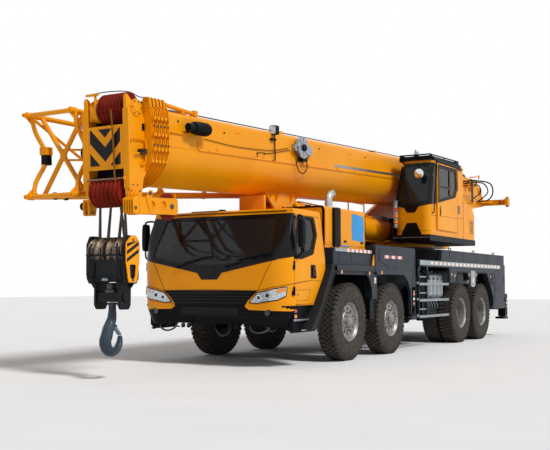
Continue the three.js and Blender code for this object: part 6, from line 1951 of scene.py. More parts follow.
    # Round mirror, wiper and load-state lamp column.
    tube(bag, smoothPath([(1.20, 3.55, 3.42), (1.16, 3.40, 3.41), (1.11, 3.35, 3.34),
        (1.11, 3.355, 3.27)], 5), 0.010, "black", 8)
    turned(bag, "y", (1.11, 0, 3.22), [(0.02, 3.375), (0.075, 3.37), (0.098, 3.355), (0.101, 3.345),
        (0.097, 3.337), (0.03, 3.334)], "black", 32)
    turned(bag, "y", (1.11, 0, 3.22), [(0.092, 3.337), (0.089, 3.330), (0.04, 3.322), (0.01, 3.320)],
        "mirror", 32)
    tube(bag, smoothPath([operatorSkin(-0.02, 2.66, -0.02), operatorSkin(-0.10, 2.80, -0.03),
        operatorSkin(-0.22, 3.05, -0.02)], 5), 0.008, "black", 8)
    tube(bag, [operatorSkin(-0.12, 2.78, -0.012), operatorSkin(-0.28, 3.22, -0.012)], 0.008, "rubber", 6)
    column = (0.635, 3.355, 0)
    for k, shade in enumerate(["alloy", "amber", "alloy", "amber", "alloy", "redLens", "alloy", "alloy"]):
        low, high = 2.245 + 0.058 * k, 2.245 + 0.058 * (k + 1) - 0.004
        disc(bag, "z", column, 0.036 if shade == "alloy" else 0.042, low, high, shade, 24, 0.006)
    for r, low, high in ((0.05, 2.215, 2.243), (0.046, 2.712, 2.735)):
        disc(bag, "z", column, r, low, high, "zinc", 24, 0.006)
    for z in (2.23, 2.60):
        block(bag, (0.62, 0.65), (3.40, 3.46), (z, z + 0.02), "black")
    makePiece("operator_cab_fittings", bag, "upper_works", ground, ["operator_windscreen"],
        0.0)
    bag = []
    skin(bag, glass, operatorSkin, 0.006, "glass", depth=0.01)
    makePiece("operator_screen_glass", bag, "upper_works", ground, ())


def makeOperatorDoor():
    bag = []
    x0, x1 = 1.2865, 1.316
    panel = rounded(rect(3.785, 4.90, 2.195, 3.465), [0.03, 0.03, 0.08, 0.05], 4)
    pane = rounded([(3.86, 2.77), (3.86, 3.385), (4.82, 3.385), (4.83, 3.04), (4.72, 2.93)],
        [0.03, 0.05, 0.06, 0.05, 0.05], 4)
    slab(bag, "x", panel, x0, x1 - 0.006, "yellow", [grown(pane, 1.05)])
    surround = rounded([(3.80, 2.70), (3.80, 3.44), (4.87, 3.455), (4.885, 3.03), (4.78, 2.88)],
        [0.02, 0.04, 0.06, 0.06, 0.08], 4)
    slab(bag, "x", surround, x1 - 0.008, x1, "black", [pane])
    slab(bag, "x", pane, x0 + 0.008, x0 + 0.013, "glass")
    block(bag, (x0 + 0.004, x1 - 0.001), (4.44, 4.47), (2.86, 3.385), "black")
    block(bag, (x0 + 0.004, x1 - 0.001), (3.87, 4.44), (3.02, 3.045), "black")
    slab(bag, "x", ringPoints(0.030, 28, (3.925, 2.55), 3.5), x1 - 0.008, x1 - 0.001, "black")
    slab(bag, "x", ringPoints(0.014, 20, (3.925, 2.55), 5.0), x1 - 0.004, x1 + 0.006, "blackGloss")
    slab(bag, "x", strip([(3.80, 2.455), (4.885, 2.475)], 0.008), x1 - 0.007, x1 - 0.0045, "black")
    for y in (3.9, 4.75):
        disc(bag, "x", (0, y, 3.452), 0.010, x0, x1, "steel", 12)
    makePiece("operator_door_pressed", bag, "operator_door", ground, ["operator_door"], 0.003)


def makeOperatorSeat():
    bag = []
    block(bag, (0.66, 1.21), (3.9, 4.76), (2.13, 2.155), "mat")
    fold = rounded([(0.78, 4.34), (1.09, 4.34), (1.09, 4.66), (0.78, 4.66)], 0.05, 3)
    for k in range(5):
        tube(bag, [(x, y, 2.17 + 0.05 * k) for x, y in fold], 0.018, "rubber", 8, closed=True)
    block(bag, (0.73, 1.14), (4.28, 4.72), (2.42, 2.455), "black")
    for x in (0.655, 1.165):
        slab(bag, "x", rounded(rect(4.15, 4.64, 2.46, 2.67), 0.04, 3), x, x + 0.05, "black")
        block(bag, (x, x + 0.05), (4.4, 4.5), (2.155, 2.48), "black")
        bar(bag, (x + 0.025, 4.24, 2.67), (x + 0.025, 4.20, 2.80), 0.012, "black", 10)
        disc(bag, "z", (x + 0.025, 4.20, 0), 0.024, 2.79, 2.85, "black", 16, 0.01)
    post = rounded([(3.85, 2.56), (3.96, 2.70), (4.01, 2.66), (3.99, 2.16), (3.91, 2.16)], 0.02, 3)
    slab(bag, "x", post, 0.78, 1.09, "black")
    slab(bag, "x", [(3.873, 2.592), (3.945, 2.684), (3.94, 2.69), (3.867, 2.60)], 0.81, 1.06, "glassDark")
    for x in (0.80, 1.02):
        slab(bag, "x", [(3.82, 2.20), (3.90, 2.18), (3.90, 2.195), (3.83, 2.215)], x, x + 0.09, "steel")
    makePiece("operator_controls", bag, "upper_works", ground, ["operator_seat"], 0.004)
    for part, at, size, channels in [("seat", Matrix.Translation((0.935, 4.50, 2.51)), (0.46, 0.46, 0.11),
            3), ("back", Matrix.Translation((0.935, 4.775, 2.87)) @ Matrix.Rotation(math.radians(82), 4,
            "X"), (0.45, 0.58, 0.09), 5), ("headrest",
            Matrix.Translation((0.935, 4.82, 3.235)) @ Matrix.Rotation(math.radians(84), 4, "X"),
            (0.26, 0.13, 0.07), 1),]:
        cushion = makePiece(f"operator_{part}_cushion", cushionBag(size, channels, 0.018), "upper_works",
            ground @ at, (), 0, 70)


makeOperatorCab()
makeOperatorDoor()
makeOperatorSeat()
print("operator's cab made")

# Turntable fittings, winches and their hoses.
winchFacts = {
    "main": {"body": "main_winch", "y": 8.05, "z": 3.45, "drum": 0.20, "flange": 0.318, "half": 0.398},
    "aux": {"body": "aux_winch", "y": 8.69, "z": 3.40, "drum": 0.16, "flange": 0.248, "half": 0.398},
}


def makeWinches():
    for name, facts in winchFacts.items():
        bag = []
        half, centre = facts["half"], (0, facts["y"], facts["z"])
        for side in (1, -1):
            turned(bag, "x", centre, [(0.07, side * (half - 0.03)),
                (facts["flange"], side * (half - 0.03)), (facts["flange"], side * (half - 0.008)),
                (facts["flange"] - 0.02, side * half), (0.07, side * half)], "castBlack", 40)
            disc(bag, "x", centre, 0.058, side * (half - 0.01), side * 0.499, "steel", 24)
            bolts = ringPoints(facts["drum"] * 0.7, 10, centre[1:])
            boltsOn(bag, "x", bolts, 0.012, side * (half - 0.002), side * (half + 0.010), "steel")
        turned(bag, "x", centre, [(facts["drum"] - 0.03, -half + 0.03),
            (facts["drum"] - 0.03, half - 0.03)], "castBlack", 40)
        wraps = int((2 * half - 0.07) / 0.0235)
        profile = []
        for k in range(wraps):
            x = -half + 0.035 + 0.0235 * k
            r = facts["drum"] + 0.028 + 0.006 * math.sin(1.7 * k)
            profile += [(r, x), (r + 0.009, x + 0.006), (r + 0.011, x + 0.012), (r + 0.009, x + 0.018)]
        profile = [(facts["drum"] - 0.02, profile[0][1])] + profile + [(facts["drum"] - 0.02, profile[-1][1])]
        turned(bag, "x", centre, profile, "rope", 40)
        makePiece(name + "_winch_wound", bag, facts["body"], ground, [facts["body"]], 0.0)


def makeTurntableFittings():
    bag = []
    # Black sill under the cab with its bright strip, and step treads.
    block(bag, (0.50, 1.298), (3.392, 6.058), (1.972, 2.084), "black")
    block(bag, (0.56, 1.29), (3.386, 3.394), (2.030, 2.040), "zinc")
    for k in range(7):
        block(bag, (0.58 + 0.1 * k, 0.64 + 0.1 * k), (3.388, 3.394), (1.985, 2.01), "blackGloss")
    block(bag, (-1.256, -0.50), (4.092, 6.058), (1.972, 2.084), "black")
    for k in range(12):
        block(bag, (-1.22, -0.60), (4.4 + 0.13 * k, 4.43 + 0.13 * k), (2.199, 2.206), "blackGloss")
    # Rear cover: rounded cap, seams, latch and louvres.
    cap = rounded([(5.345, 2.10), (5.345, 2.855), (5.86, 2.80), (6.045, 2.62), (6.045, 2.10)],
        [0.01, 0.02, 0.12, 0.12, 0.01], 5)
    slab(bag, "x", cap, 0.595, 1.2785, "yellow")
    slab(bag, "x", rounded(rect(5.69, 5.99, 2.16, 2.55), 0.03, 3), 1.28, 1.291, "yellow")
    for k in range(7):
        slab(bag, "x", rounded(rect(5.73, 5.95, 2.22 + 0.04 * k, 2.235 + 0.04 * k), 0.006, 2), 1.289,
            1.294, "black")
    # Bolted ring under the deck, slew gearbox and hose clutter beside the cylinder.
    boltsOn(bag, "z", ringPoints(0.71, 40, (0, 4.9)), 0.018, 2.008, 2.03, "steel")
    disc(bag, "z", (-0.36, 5.55, 0), 0.13, 2.01, 2.42, "steel", 28, 0.015)
    disc(bag, "z", (-0.36, 5.55, 0), 0.09, 2.42, 2.58, "black", 24, 0.01)
    for k in range(7):
        x = 0.28 + 0.032 * (k % 4)
        tube(bag, smoothPath([(x, 4.0 + 0.04 * k, 2.12), (x + 0.02, 3.92 + 0.03 * k, 2.30 + 0.03 * k),
            (x + 0.05, 4.15 + 0.05 * k, 2.48 + 0.02 * k), (x + 0.02, 4.55 + 0.04 * k, 2.38),
            (x - 0.02, 4.95, 2.06)], 6), 0.013, "rubber", 8)
    block(bag, (0.27, 0.47), (3.93, 4.25), (2.012, 2.13), "steel")
    block(bag, (0.27, 0.49), (4.3, 4.7), (2.012, 2.25), "castBlack")
    slab(bag, "z", [(0.20, 3.80), (0.56, 3.80), (0.56, 4.72), (0.20, 4.72)], 1.985, 2.012, "yellow")
    # Main pivot bosses and stiffeners on the cheeks.
    for side in (1, -1):
        for y, z, r in [(7.0, 3.25, 0.17), (8.05, 3.45, 0.12), (8.69, 3.40, 0.10)]:
            disc(bag, "x", (0, y, z), r, side * 0.57, side * 0.592, "yellow", 36, 0.004)
            disc(bag, "x", (0, y, z), r * 0.55, side * 0.59, side * 0.606, "steel", 28, 0.004)
            boltsOn(bag, "x", ringPoints(r * 0.78, 8, (y, z)), 0.012, side * 0.592, side * 0.602, "steel")
        for line in ([(4.2, 2.25), (5.4, 2.85), (6.6, 3.38), (7.3, 3.55), (8.4, 3.55), (8.92, 3.20)],
                [(5.0, 2.02), (6.4, 2.05), (7.6, 2.96), (8.9, 3.10)]):
            slab(bag, "x", strip(line, 0.03), side * 0.57, side * 0.584, "yellow")
    # Tail beam ends, gusset and the pins that hold counterweight.
    for side in (1, -1):
        block(bag, (side * 1.14, side * 1.215), (8.82, 9.0), (3.055, 3.225), "yellow")
        disc(bag, "z", (side * 1.175, 8.93, 0), 0.035, 3.02, 3.26, "steel", 20, 0.005)
        slab(bag, "z", [(side * 0.57, 8.87), (side * 0.85, 8.87), (side * 0.57, 8.45)], 3.12, 3.15, "yellow")
        disc(bag, "y", (side * 1.04, 0, 3.135), 0.045, 8.80, 8.87, "redLens", 20, 0.006)
    # Hose post and its loops, behind the cab.
    bar(bag, (0.86, 7.25, 2.98), (0.86, 7.25, 3.50), 0.022, "steel", 10)
    slab(bag, "z", [(0.56, 7.20), (0.90, 7.20), (0.90, 7.30), (0.56, 7.30)], 2.97, 3.0, "yellow")
    hoses = [(0.016, [(0.62, 6.9, 3.44), (0.86, 7.25, 3.50), (0.90, 8.2, 3.56), (0.90, 8.62, 3.50),
        (0.88, 8.72, 3.32), (0.80, 8.62, 3.18), (0.62, 8.5, 3.14)]),
        (0.014, [(0.62, 7.0, 3.40), (0.84, 7.30, 3.46), (0.86, 8.0, 3.52), (0.86, 8.36, 3.44),
        (0.84, 8.40, 3.30), (0.62, 8.3, 3.10)]),
        (0.012, [(0.62, 7.1, 3.36), (0.80, 7.4, 3.42), (0.84, 7.8, 3.44), (0.80, 8.0, 3.30),
        (0.62, 7.9, 3.12)]),]
    for radius, line in hoses:
        tube(bag, smoothPath(line, 7), radius, "rubber", 10)
    for y, z in [(6.5, 3.30), (6.75, 3.38), (7.55, 3.50), (7.8, 3.52)]:
        block(bag, (0.57, 0.66), (y, y + 0.12), (z - 0.10, z), "yellow")
        tube(bag, smoothPath([(0.64, y + 0.06, z), (0.70, y + 0.10, z + 0.07), (0.70, y + 0.28, z + 0.04),
            (0.62, y + 0.34, z - 0.06)], 5), 0.012, "rubber", 8)
    tube(bag, smoothPath([(0.60, 7.9, 3.66), (0.62, 8.2, 3.70), (0.62, 8.5, 3.76), (0.58, 8.6, 3.70)], 5),
        0.016, "yellow", 8)
    # Handrails on the right walkway.
    for y in (4.3, 5.1, 5.9):
        bar(bag, (-1.20, y, 2.19), (-1.20, y, 2.95), 0.016, "yellow", 10)
    for z in (2.56, 2.95):
        bar(bag, (-1.20, 4.3, z), (-1.20, 5.9, z), 0.016, "yellow", 10)
    slab(bag, "x", rounded(rect(4.45, 5.85, 2.20, 2.62), 0.04, 3), -0.98, -0.62, "yellow")
    for k in range(8):
        slab(bag, "x", rect(4.6, 5.7, 2.26 + 0.04 * k, 2.27 + 0.04 * k), -0.986, -0.978, "black")
    makePiece("turntable_fittings", bag, "upper_works", ground, (), 0.0)


makeWinches()
makeTurntableFittings()
print("turntable made")


# Carrier decks: front fenders with the box behind them, and the rear deck with its lockers.
deckFacts = {"side": 1.36, "rearSide": 1.37, "box": (0.78, 2.48, 1.79)}


def makeFrontDeck():
    bag = []
    half = deckFacts["side"]
    front, rear, top = deckFacts["box"]
    for side in (1, -1):
        # Fender platform with its rolled lip, riser and the steps of its outer face.
        block(bag, (side * 0.45, side * (half - 0.012)), (-0.64, front), (1.36, 1.45), "greyDark")
        profile = rounded([(half - 0.06, 1.45), (half, 1.44), (half, 1.35), (half - 0.02, 1.35),
            (half - 0.03, 1.40)], [0.01, 0.02, 0.008, 0.005, 0.01], 3)
        slab(bag, "y", [(side * x, z) for x, z in profile], -0.66, front - 0.01, "grey")
        block(bag, (side * 0.45, side * 1.32), (-0.64, 0.715), (1.44, 1.69), "grey")
        lip = rounded([(1.27, 1.69), (1.332, 1.69), (1.332, 1.655), (1.32, 1.64), (1.27, 1.64)],
            [0, 0.012, 0.008, 0.004, 0], 3)
        slab(bag, "y", [(side * x, z) for x, z in lip], -0.645, 0.72, "grey")
        for y in (-0.28, 0.16):
            slab(bag, "x", rounded(rect(y - 0.17, y + 0.17, 1.475, 1.615), 0.02, 3), side * 1.318,
                side * 1.324, "grey")
        # Front arch plate: sweeps down from the ledge to the bumper's height.
        arch = [(-0.755, 1.45), (-0.60, 1.45), (-0.575, 1.36), (-0.655, 1.29), (-1.18, 0.52),
            (-1.395, 0.52), (-1.09, 0.86), (-0.77, 1.37)]
        slab(bag, "x", rounded(arch, [0.04, 0, 0.01, 0.06, 0.02, 0.02, 0.03, 0.08], 4), side * 1.10,
            side * half, "greyDark")
        edge = strip([(-1.19, 0.545), (-0.67, 1.30), (-0.60, 1.352)], 0.026)
        slab(bag, "x", edge, side * (half - 0.02), side * (half + 0.004), "black")
        # Plate between the first two wheels, and the black inner arches over each of them.
        outline = [(-0.63, 1.36), (0.78, 1.36), (0.78, 1.36), (0.90, 1.36), (0.90, 0.92), (0.72, 0.92),
            (0.70, 1.10), (0.62, 1.24), (0.52, 1.30), (-0.50, 1.30)]
        slab(bag, "x", outline, side * (half - 0.055), side * (half - 0.03), "grey")
        # Mid box: side with rounded front, raised outline and skirt that follows the second wheel.
        face = rounded([(front, 1.40), (front, top - 0.01), (rear, top - 0.01), (rear, 0.80),
            (rear - 0.11, 0.62), (rear - 0.19, 0.62), (rear - 0.21, 1.02), (rear - 0.33, 1.20),
            (rear - 0.50, 1.315), (1.1, 1.315), (front + 0.08, 1.30)],
            [0.02, 0.05, 0.05, 0.06, 0.04, 0.02, 0.12, 0.12, 0.10, 0.05, 0.02], 5)
        slab(bag, "x", face, side * (half - 0.05), side * half, "grey")
        raised = rounded([(front + 0.14, 1.72), (1.42, 1.72), (1.52, 1.755), (rear - 0.12, 1.755),
            (rear - 0.12, 1.48), (rear - 0.26, 1.42), (1.30, 1.42), (1.10, 1.50), (front + 0.14, 1.52)],
            [0.06, 0.06, 0.04, 0.07, 0.08, 0.05, 0.12, 0.06, 0.05], 5)
        slab(bag, "x", raised, side * (half - 0.01), side * (half + 0.007), "grey")
        slab(bag, "x", strip(rounded([(rear - 0.04, 1.68), (rear - 0.04, 1.36), (rear - 0.14, 1.10)],
            [0, 0.1, 0], 5), 0.02), side * (half - 0.01), side * (half + 0.005), "grey")
    # Middle body of the box with its chequered top.
    block(bag, (-half + 0.045, half - 0.045), (front, rear), (1.38, top - 0.012), "grey")
    slab(bag, "z", rounded([(-half + 0.03, front + 0.01), (half - 0.03, front + 0.01),
        (half - 0.03, rear - 0.01), (-half + 0.03, rear - 0.01)], 0.03, 3), top - 0.014, top, "greyDark")
    for side in (1, -1):
        for k in range(9):
            block(bag, (side * 0.72, side * 1.27), (front + 0.12 + 0.17 * k, front + 0.15 + 0.17 * k),
                (top - 0.001, top + 0.005), "grey")
        block(bag, (side * 1.285, side * 1.335), (2.27, 2.478), (1.12, 1.40), "greyDark")
    for y in (0.80, 2.33):
        block(bag, (-0.44, 0.44), (y, y + 0.08), (1.0803, 1.39), "greyDark")
    # Dark wheel-arch linings.
    for side in (1, -1):
        for y0, y1 in [(-0.60, 0.60), (0.98, 2.18)]:
            block(bag, (side * 0.48, side * 1.30), (y0, y1), (1.335, 1.36), "black")
        tube(bag, smoothPath([(side * 1.20, 0.66, 1.34), (side * 1.22, 0.70, 1.05),
            (side * 1.16, 0.76, 0.86), (side * 0.9, 0.79, 0.80)], 6), 0.022, "black", 8)
        block(bag, (side * 1.05, side * 1.29), (0.71, 0.87), (0.60, 0.93), "black")
        block(bag, (side * 1.10, side * 1.285), (0.715, 0.865), (0.86, 1.335), "greyDark")
    makePiece("front_deck_pressed", bag, "carrier", ground, ["front_deck"], 0.005)

    bag = []
    # Conspicuity strips, reflectors, side lamps, label and the release handle.
    for side in (1, -1):
        x0, x1 = side * 1.331, side * 1.337
        slab(bag, "x", rect(-0.60, -0.20, 1.640, 1.688), x0, x1, "alloy")
        for k in range(6):
            y = -0.20 + 0.148 * k
            slab(bag, "x", rect(y, y + 0.088, 1.640, 1.688), x0, x1, "white")
            slab(bag, "x", rect(y + 0.088, y + 0.148, 1.640, 1.688), x0, x1, "redLens")
        for k in range(3):
            y = 1.10 + 0.27 * k
            for start, stop, shade in ((0, 0.06, "redLens"), (0.065, 0.165, "white"),
                    (0.17, 0.23, "redLens")):
                slab(bag, "x", rect(y + start, y + stop, 1.578, 1.628), side * 1.362, side * 1.370, shade)
        for y, z in [(-0.44, 1.335), (0.55, 1.325), (1.02, 1.345), (2.40, 1.02)]:
            slab(bag, "x", rounded(rect(y - 0.02, y + 0.02, z - 0.026, z + 0.026), 0.008, 2),
                side * 1.352, side * 1.366, "amber")
        slab(bag, "x", rounded(rect(0.79, 0.85, 1.17, 1.26), 0.006, 2), side * 1.330, side * 1.336, "white")
        slab(bag, "x", rect(0.805, 0.835, 1.19, 1.21), side * 1.335, side * 1.338, "redLens")
        flag = [(0.735, 1.62), (0.755, 1.63), (0.765, 1.46), (0.735, 1.44), (0.68, 1.455)]
        slab(bag, "x", flag, side * 1.338, side * 1.352, "yellow")
        bar(bag, (side * 1.345, 0.745, 1.36), (side * 1.345, 0.745, 1.63), 0.010, "steel", 8)
        for y in (-0.62, 0.71):
            disc(bag, "z", (side * 1.28, y, 0), 0.016, 1.688, 1.70, "steel", 12)
        for y in (0.9, 1.4, 1.9, 2.38):
            disc(bag, "x", (0, y, 1.775), 0.008, side * 1.358, side * 1.366, "steel", 8)
    makePiece("front_deck_lights", bag, "carrier", ground, (), 0.0)


def makeRearDeck():
    bag = []
    half = deckFacts["rearSide"]
    for side in (1, -1):
        skirt = rounded([(2.67, 1.60), (2.67, 1.4805), (4.235, 1.4805), (4.25, 1.20), (4.50, 1.20),
            (4.61, 1.28), (4.71, 1.42), (5.30, 1.42), (5.40, 1.28), (5.52, 1.275), (5.76, 1.275),
            (5.88, 1.28), (5.97, 1.42), (6.61, 1.42), (6.75, 1.28), (7.07, 0.90), (7.08, 0.625),
            (7.965, 0.625), (7.965, 1.60)], [0.02, 0, 0.02, 0.03, 0.03, 0.04, 0.07, 0.07, 0.05, 0.02,
            0.02, 0.05, 0.07, 0.07, 0.06, 0.06, 0.03, 0.03, 0.03], 4)
        slab(bag, "x", skirt, side * (half - 0.05), side * half, "grey")
        # Arch lips, tabs and inner linings.
        for pts in ([(4.62, 1.24), (4.72, 1.405), (5.29, 1.405), (5.41, 1.25)],
                [(5.87, 1.25), (5.98, 1.405), (6.60, 1.405), (6.76, 1.24), (7.06, 0.88), (7.065, 0.64)]):
            slab(bag, "x", strip(rounded(pts, 0.06, 4), 0.03), side * (half - 0.10),
                side * (half + 0.003), "greyDark")
        slab(bag, "x", rounded([(5.50, 1.44), (5.50, 1.16), (5.55, 1.11), (5.74, 1.11), (5.79, 1.16),
            (5.79, 1.44)], [0.0, 0.02, 0.02, 0.02, 0.02, 0.0], 3), side * (half - 0.045),
            side * (half + 0.009), "alloy")
        for y0, y1 in ((4.66, 5.36), (5.92, 6.66)):
            block(bag, (side * 0.66, side * 1.325), (y0, y1), (1.425, 1.475), "black")
        # Locker with its door seam and hinges.
        block(bag, (side * 0.9, side * (half - 0.045)), (7.07, 7.965), (0.63, 1.4805), "grey")
        door = rounded(rect(7.17, 7.90, 0.70, 1.40), 0.04, 4)
        slab(bag, "x", door, side * (half - 0.002), side * (half + 0.006), "grey")
        for z in (0.82, 1.26):
            bar(bag, (side * (half + 0.006), 7.87, z - 0.05), (side * (half + 0.006), 7.87, z + 0.05),
                0.012, "black", 8)
        block(bag, (side * half, side * (half + 0.012)), (7.22, 7.30), (1.02, 1.06), "black")
        # Upper deck box and its edge, set in a little, with a raised lip.
        slab(bag, "x", rounded([(3.83, 1.585), (3.885, 1.815), (7.955, 1.815), (7.965, 1.585)],
            [0, 0.03, 0.03, 0], 3), side * (half - 0.075), side * (half - 0.02), "grey")
        slab(bag, "x", strip([(3.90, 1.806), (7.95, 1.806)], 0.018), side * (half - 0.025),
            side * (half - 0.012), "grey")
        for y in (4.30, 5.1, 5.9, 6.7, 7.5):
            slab(bag, "x", strip([(y, 1.61), (y, 1.795)], 0.007), side * (half - 0.021),
                side * (half - 0.0175), "greyDark")
        for y in (4.45, 5.9, 7.3):
            tube(bag, smoothPath([(side * 1.28, y, 1.815), (side * 1.28, y + 0.01, 1.86),
                (side * 1.28, y + 0.11, 1.86), (side * 1.28, y + 0.12, 1.815)], 4), 0.010, "steel", 8)
        slab(bag, "x", rounded(rect(4.30, 4.60, 1.22, 1.46), 0.02, 3), side * (half - 0.004),
            side * (half + 0.004), "grey")
        for k in range(4):
            slab(bag, "x", rect(6.86 + 0.05 * k, 6.875 + 0.05 * k, 1.16, 1.40), side * (half - 0.001),
                side * (half + 0.003), "greyDark")
    # Chequered top, with the hole of the slewing ring.
    hole = ringPoints(0.80, 48, (0, 4.9))
    slab(bag, "z", [(-1.30, 3.89), (1.30, 3.89), (1.30, 7.95), (-1.30, 7.95)], 1.60, 1.818, "grey", [hole])
    slab(bag, "z", [(-1.325, 2.68), (1.325, 2.68), (1.325, 3.95), (-1.325, 3.95)], 1.4805, 1.598, "greyDark")
    slab(bag, "z", [(-1.325, 3.95), (1.325, 3.95), (1.325, 7.96), (-1.325, 7.96)], 1.4805, 1.61,
        "greyDark", [hole])
    for k in range(23):
        y = 3.98 + 0.17 * k
        for side in (1, -1):
            block(bag, (side * 0.86, side * 1.26), (y, y + 0.028), (1.817, 1.823), "greyDark")
    for k in range(6):
        block(bag, (-1.2, 1.2), (2.76 + 0.18 * k, 2.79 + 0.18 * k), (1.597, 1.604), "grey")
    # Rear face: lamp clusters, plates, tow pin, ladder rungs and a bar across.
    block(bag, (-0.86, 0.86), (7.955, 7.975), (1.42, 1.80), "grey")
    for side in (1, -1):
        slab(bag, "y", [(side * x, z) for x, z in rounded(rect(0.94, 1.33, 0.70, 0.84), 0.02, 3)], 7.965,
            7.99, "black")
        for k, shade in enumerate(["amber", "redLens", "white"]):
            disc(bag, "y", (side * (1.26 - 0.12 * k), 0, 0.77), 0.048, 7.985, 8.0, shade, 24, 0.006)
        slab(bag, "y", [(side * x, z) for x, z in rounded(rect(0.93, 1.31, 0.94, 1.38), 0.03, 3)], 7.964,
            7.974, "grey")
        block(bag, (side * 1.27, side * 1.33), (7.965, 7.985), (1.48, 1.56), "redLens")
    slab(bag, "y", rounded(rect(-0.26, 0.26, 1.50, 1.63), 0.01, 2), 7.974, 7.982, "white")
    makePiece("rear_deck_pressed", bag, "carrier", ground, ["rear_deck"], 0.005)

    bag = []
    for side in (1, -1):
        x0, x1 = side * 1.369, side * 1.375
        slab(bag, "x", rect(2.68, 7.60, 1.505, 1.588), side * 1.367, side * 1.372, "alloy")
        for k in range(19):
            y = 3.22 + 0.23 * k
            slab(bag, "x", rect(y, y + 0.13, 1.522, 1.572), x0, x1, "white")
            slab(bag, "x", rect(y + 0.13, y + 0.18, 1.522, 1.572), x0, x1, "redLens")
        for y, z in [(4.52, 1.33), (5.40, 1.36), (5.86, 1.36), (6.86, 1.33), (4.34, 1.35)]:
            slab(bag, "x", rounded(rect(y - 0.022, y + 0.022, z - 0.024, z + 0.024), 0.008, 2),
                side * 1.369, side * 1.379, "amber")
        slab(bag, "x", rounded(rect(5.60, 5.68, 1.20, 1.28), 0.01, 2), side * 1.378, side * 1.382, "white")
    makePiece("rear_deck_lights", bag, "carrier", ground, (), 0.0)


def makeLadder():
    bag = []
    top = 1.4798
    for y in (2.71, 3.10):
        slab(bag, "x", rounded(rect(y - 0.022, y + 0.022, 0.54, top), 0.006, 2), 1.305, 1.345, "greyDark")
    for z in (1.1625, 0.8725, 0.5825):
        block(bag, (1.30, 1.365), (2.68, 4.20), (z - 0.022, z + 0.022), "alloy")
        for j in range(14):
            disc(bag, "x", (0, 2.84 + 0.1 * j, z), 0.011, 1.362, 1.369, "zinc", 10)
        for y in (2.62, 3.6, 4.16):
            block(bag, (1.10 if y > 3 else 1.28, 1.31), (y, y + 0.03), (z - 0.018, z + 0.018), "greyDark")
        bar(bag, (1.325, 2.73, z + 0.13), (1.325, 3.08, z + 0.13), 0.014, "alloy", 10)
        slab(bag, "x", strip([(2.60, z + 0.02), (2.68, z + 0.02)], 0.04), 1.30, 1.345, "alloy")
    for y in (2.71, 3.10):
        loop = [(1.325, y, 1.44), (1.335, y, 1.50), (1.345, y + 0.01, 1.478), (1.338, y + 0.03, 1.42)]
        tube(bag, smoothPath(loop, 4), 0.010, "zinc", 8)
    for y, z in [(2.66, 1.40), (3.16, 1.34)]:
        slab(bag, "x", rounded(rect(y - 0.03, y + 0.03, z - 0.10, z + 0.06), 0.01, 2), 1.315, 1.350, "black")
    makePiece("access_ladder_welded", bag, "carrier", ground, ["access_ladder"], 0.002)


def makeTank():
    bag = []
    shape = rounded([(0.93, 0.88), (1.265, 0.88), (1.272, 1.375), (0.93, 1.375)], [0.12, 0.13, 0.15, 0.12], 7)
    slab(bag, "y", shape, 3.30, 4.128, "alloy")
    for y in (3.40, 3.62, 3.84, 4.05):
        outline = rounded([(0.921, 0.872), (1.270, 0.872), (1.2795, 1.383), (0.921, 1.383)],
            [0.12, 0.13, 0.15, 0.12], 7)
        slab(bag, "y", outline, y - 0.028, y + 0.028, "zinc")
        block(bag, (1.26, 1.290), (y - 0.02, y + 0.02), (1.24, 1.29), "black")
    disc(bag, "z", (1.10, 3.51, 0), 0.055, 1.37, 1.415, "black", 28, 0.008)
    disc(bag, "z", (1.10, 3.73, 0), 0.03, 1.37, 1.40, "steel", 20, 0.006)
    tube(bag, smoothPath([(1.10, 3.95, 1.37), (1.10, 3.97, 1.43), (0.95, 4.0, 1.44), (0.7, 4.02, 1.38)],
        5), 0.012, "rubber", 8)
    for y in (3.42, 3.92):
        slab(bag, "y", [(0.4403, 0.90), (0.4403, 1.0), (0.94, 1.06), (1.0, 0.95), (1.0, 0.90)], y,
            y + 0.07, "grey")
        bar(bag, (1.265, y + 0.035, 1.0), (1.265, y + 0.035, 1.25), 0.01, "steel", 8)
    # Battery box and air tanks beneath, dark behind the treads.
    for y in (3.36, 3.66, 3.96):
        turned(bag, "y", (0.62, 0, 0.76), [(0.02, y - 0.13), (0.09, y - 0.12), (0.105, y - 0.09),
            (0.105, y + 0.09), (0.09, y + 0.12), (0.02, y + 0.13)], "black", 24)
    block(bag, (0.55, 1.16), (3.34, 4.12), (0.62, 0.86), "black")
    for k in range(5):
        tube(bag, smoothPath([(1.165, 3.42 + 0.15 * k, 0.84), (1.19, 3.44 + 0.15 * k, 0.78),
            (1.165, 3.50 + 0.15 * k, 0.70)], 4), 0.011, "rubber", 6)
    makePiece("fuel_tank_strapped", bag, "carrier", ground, ["fuel_tank"], 0.004, 40)


makeFrontDeck()
makeRearDeck()
makeLadder()
makeTank()
print("decks made")


# Outriggers: a beam with the jack's sleeve on its end, and the jack with its float.
outriggerFacts = {"front": (2.31, 0.77), "rear": (8.0, 0.61), "wall": 0.02, "lane": 0.14,
    "sleeve": (1.19, 1.36), "half": 0.085, "rod": 0.055}


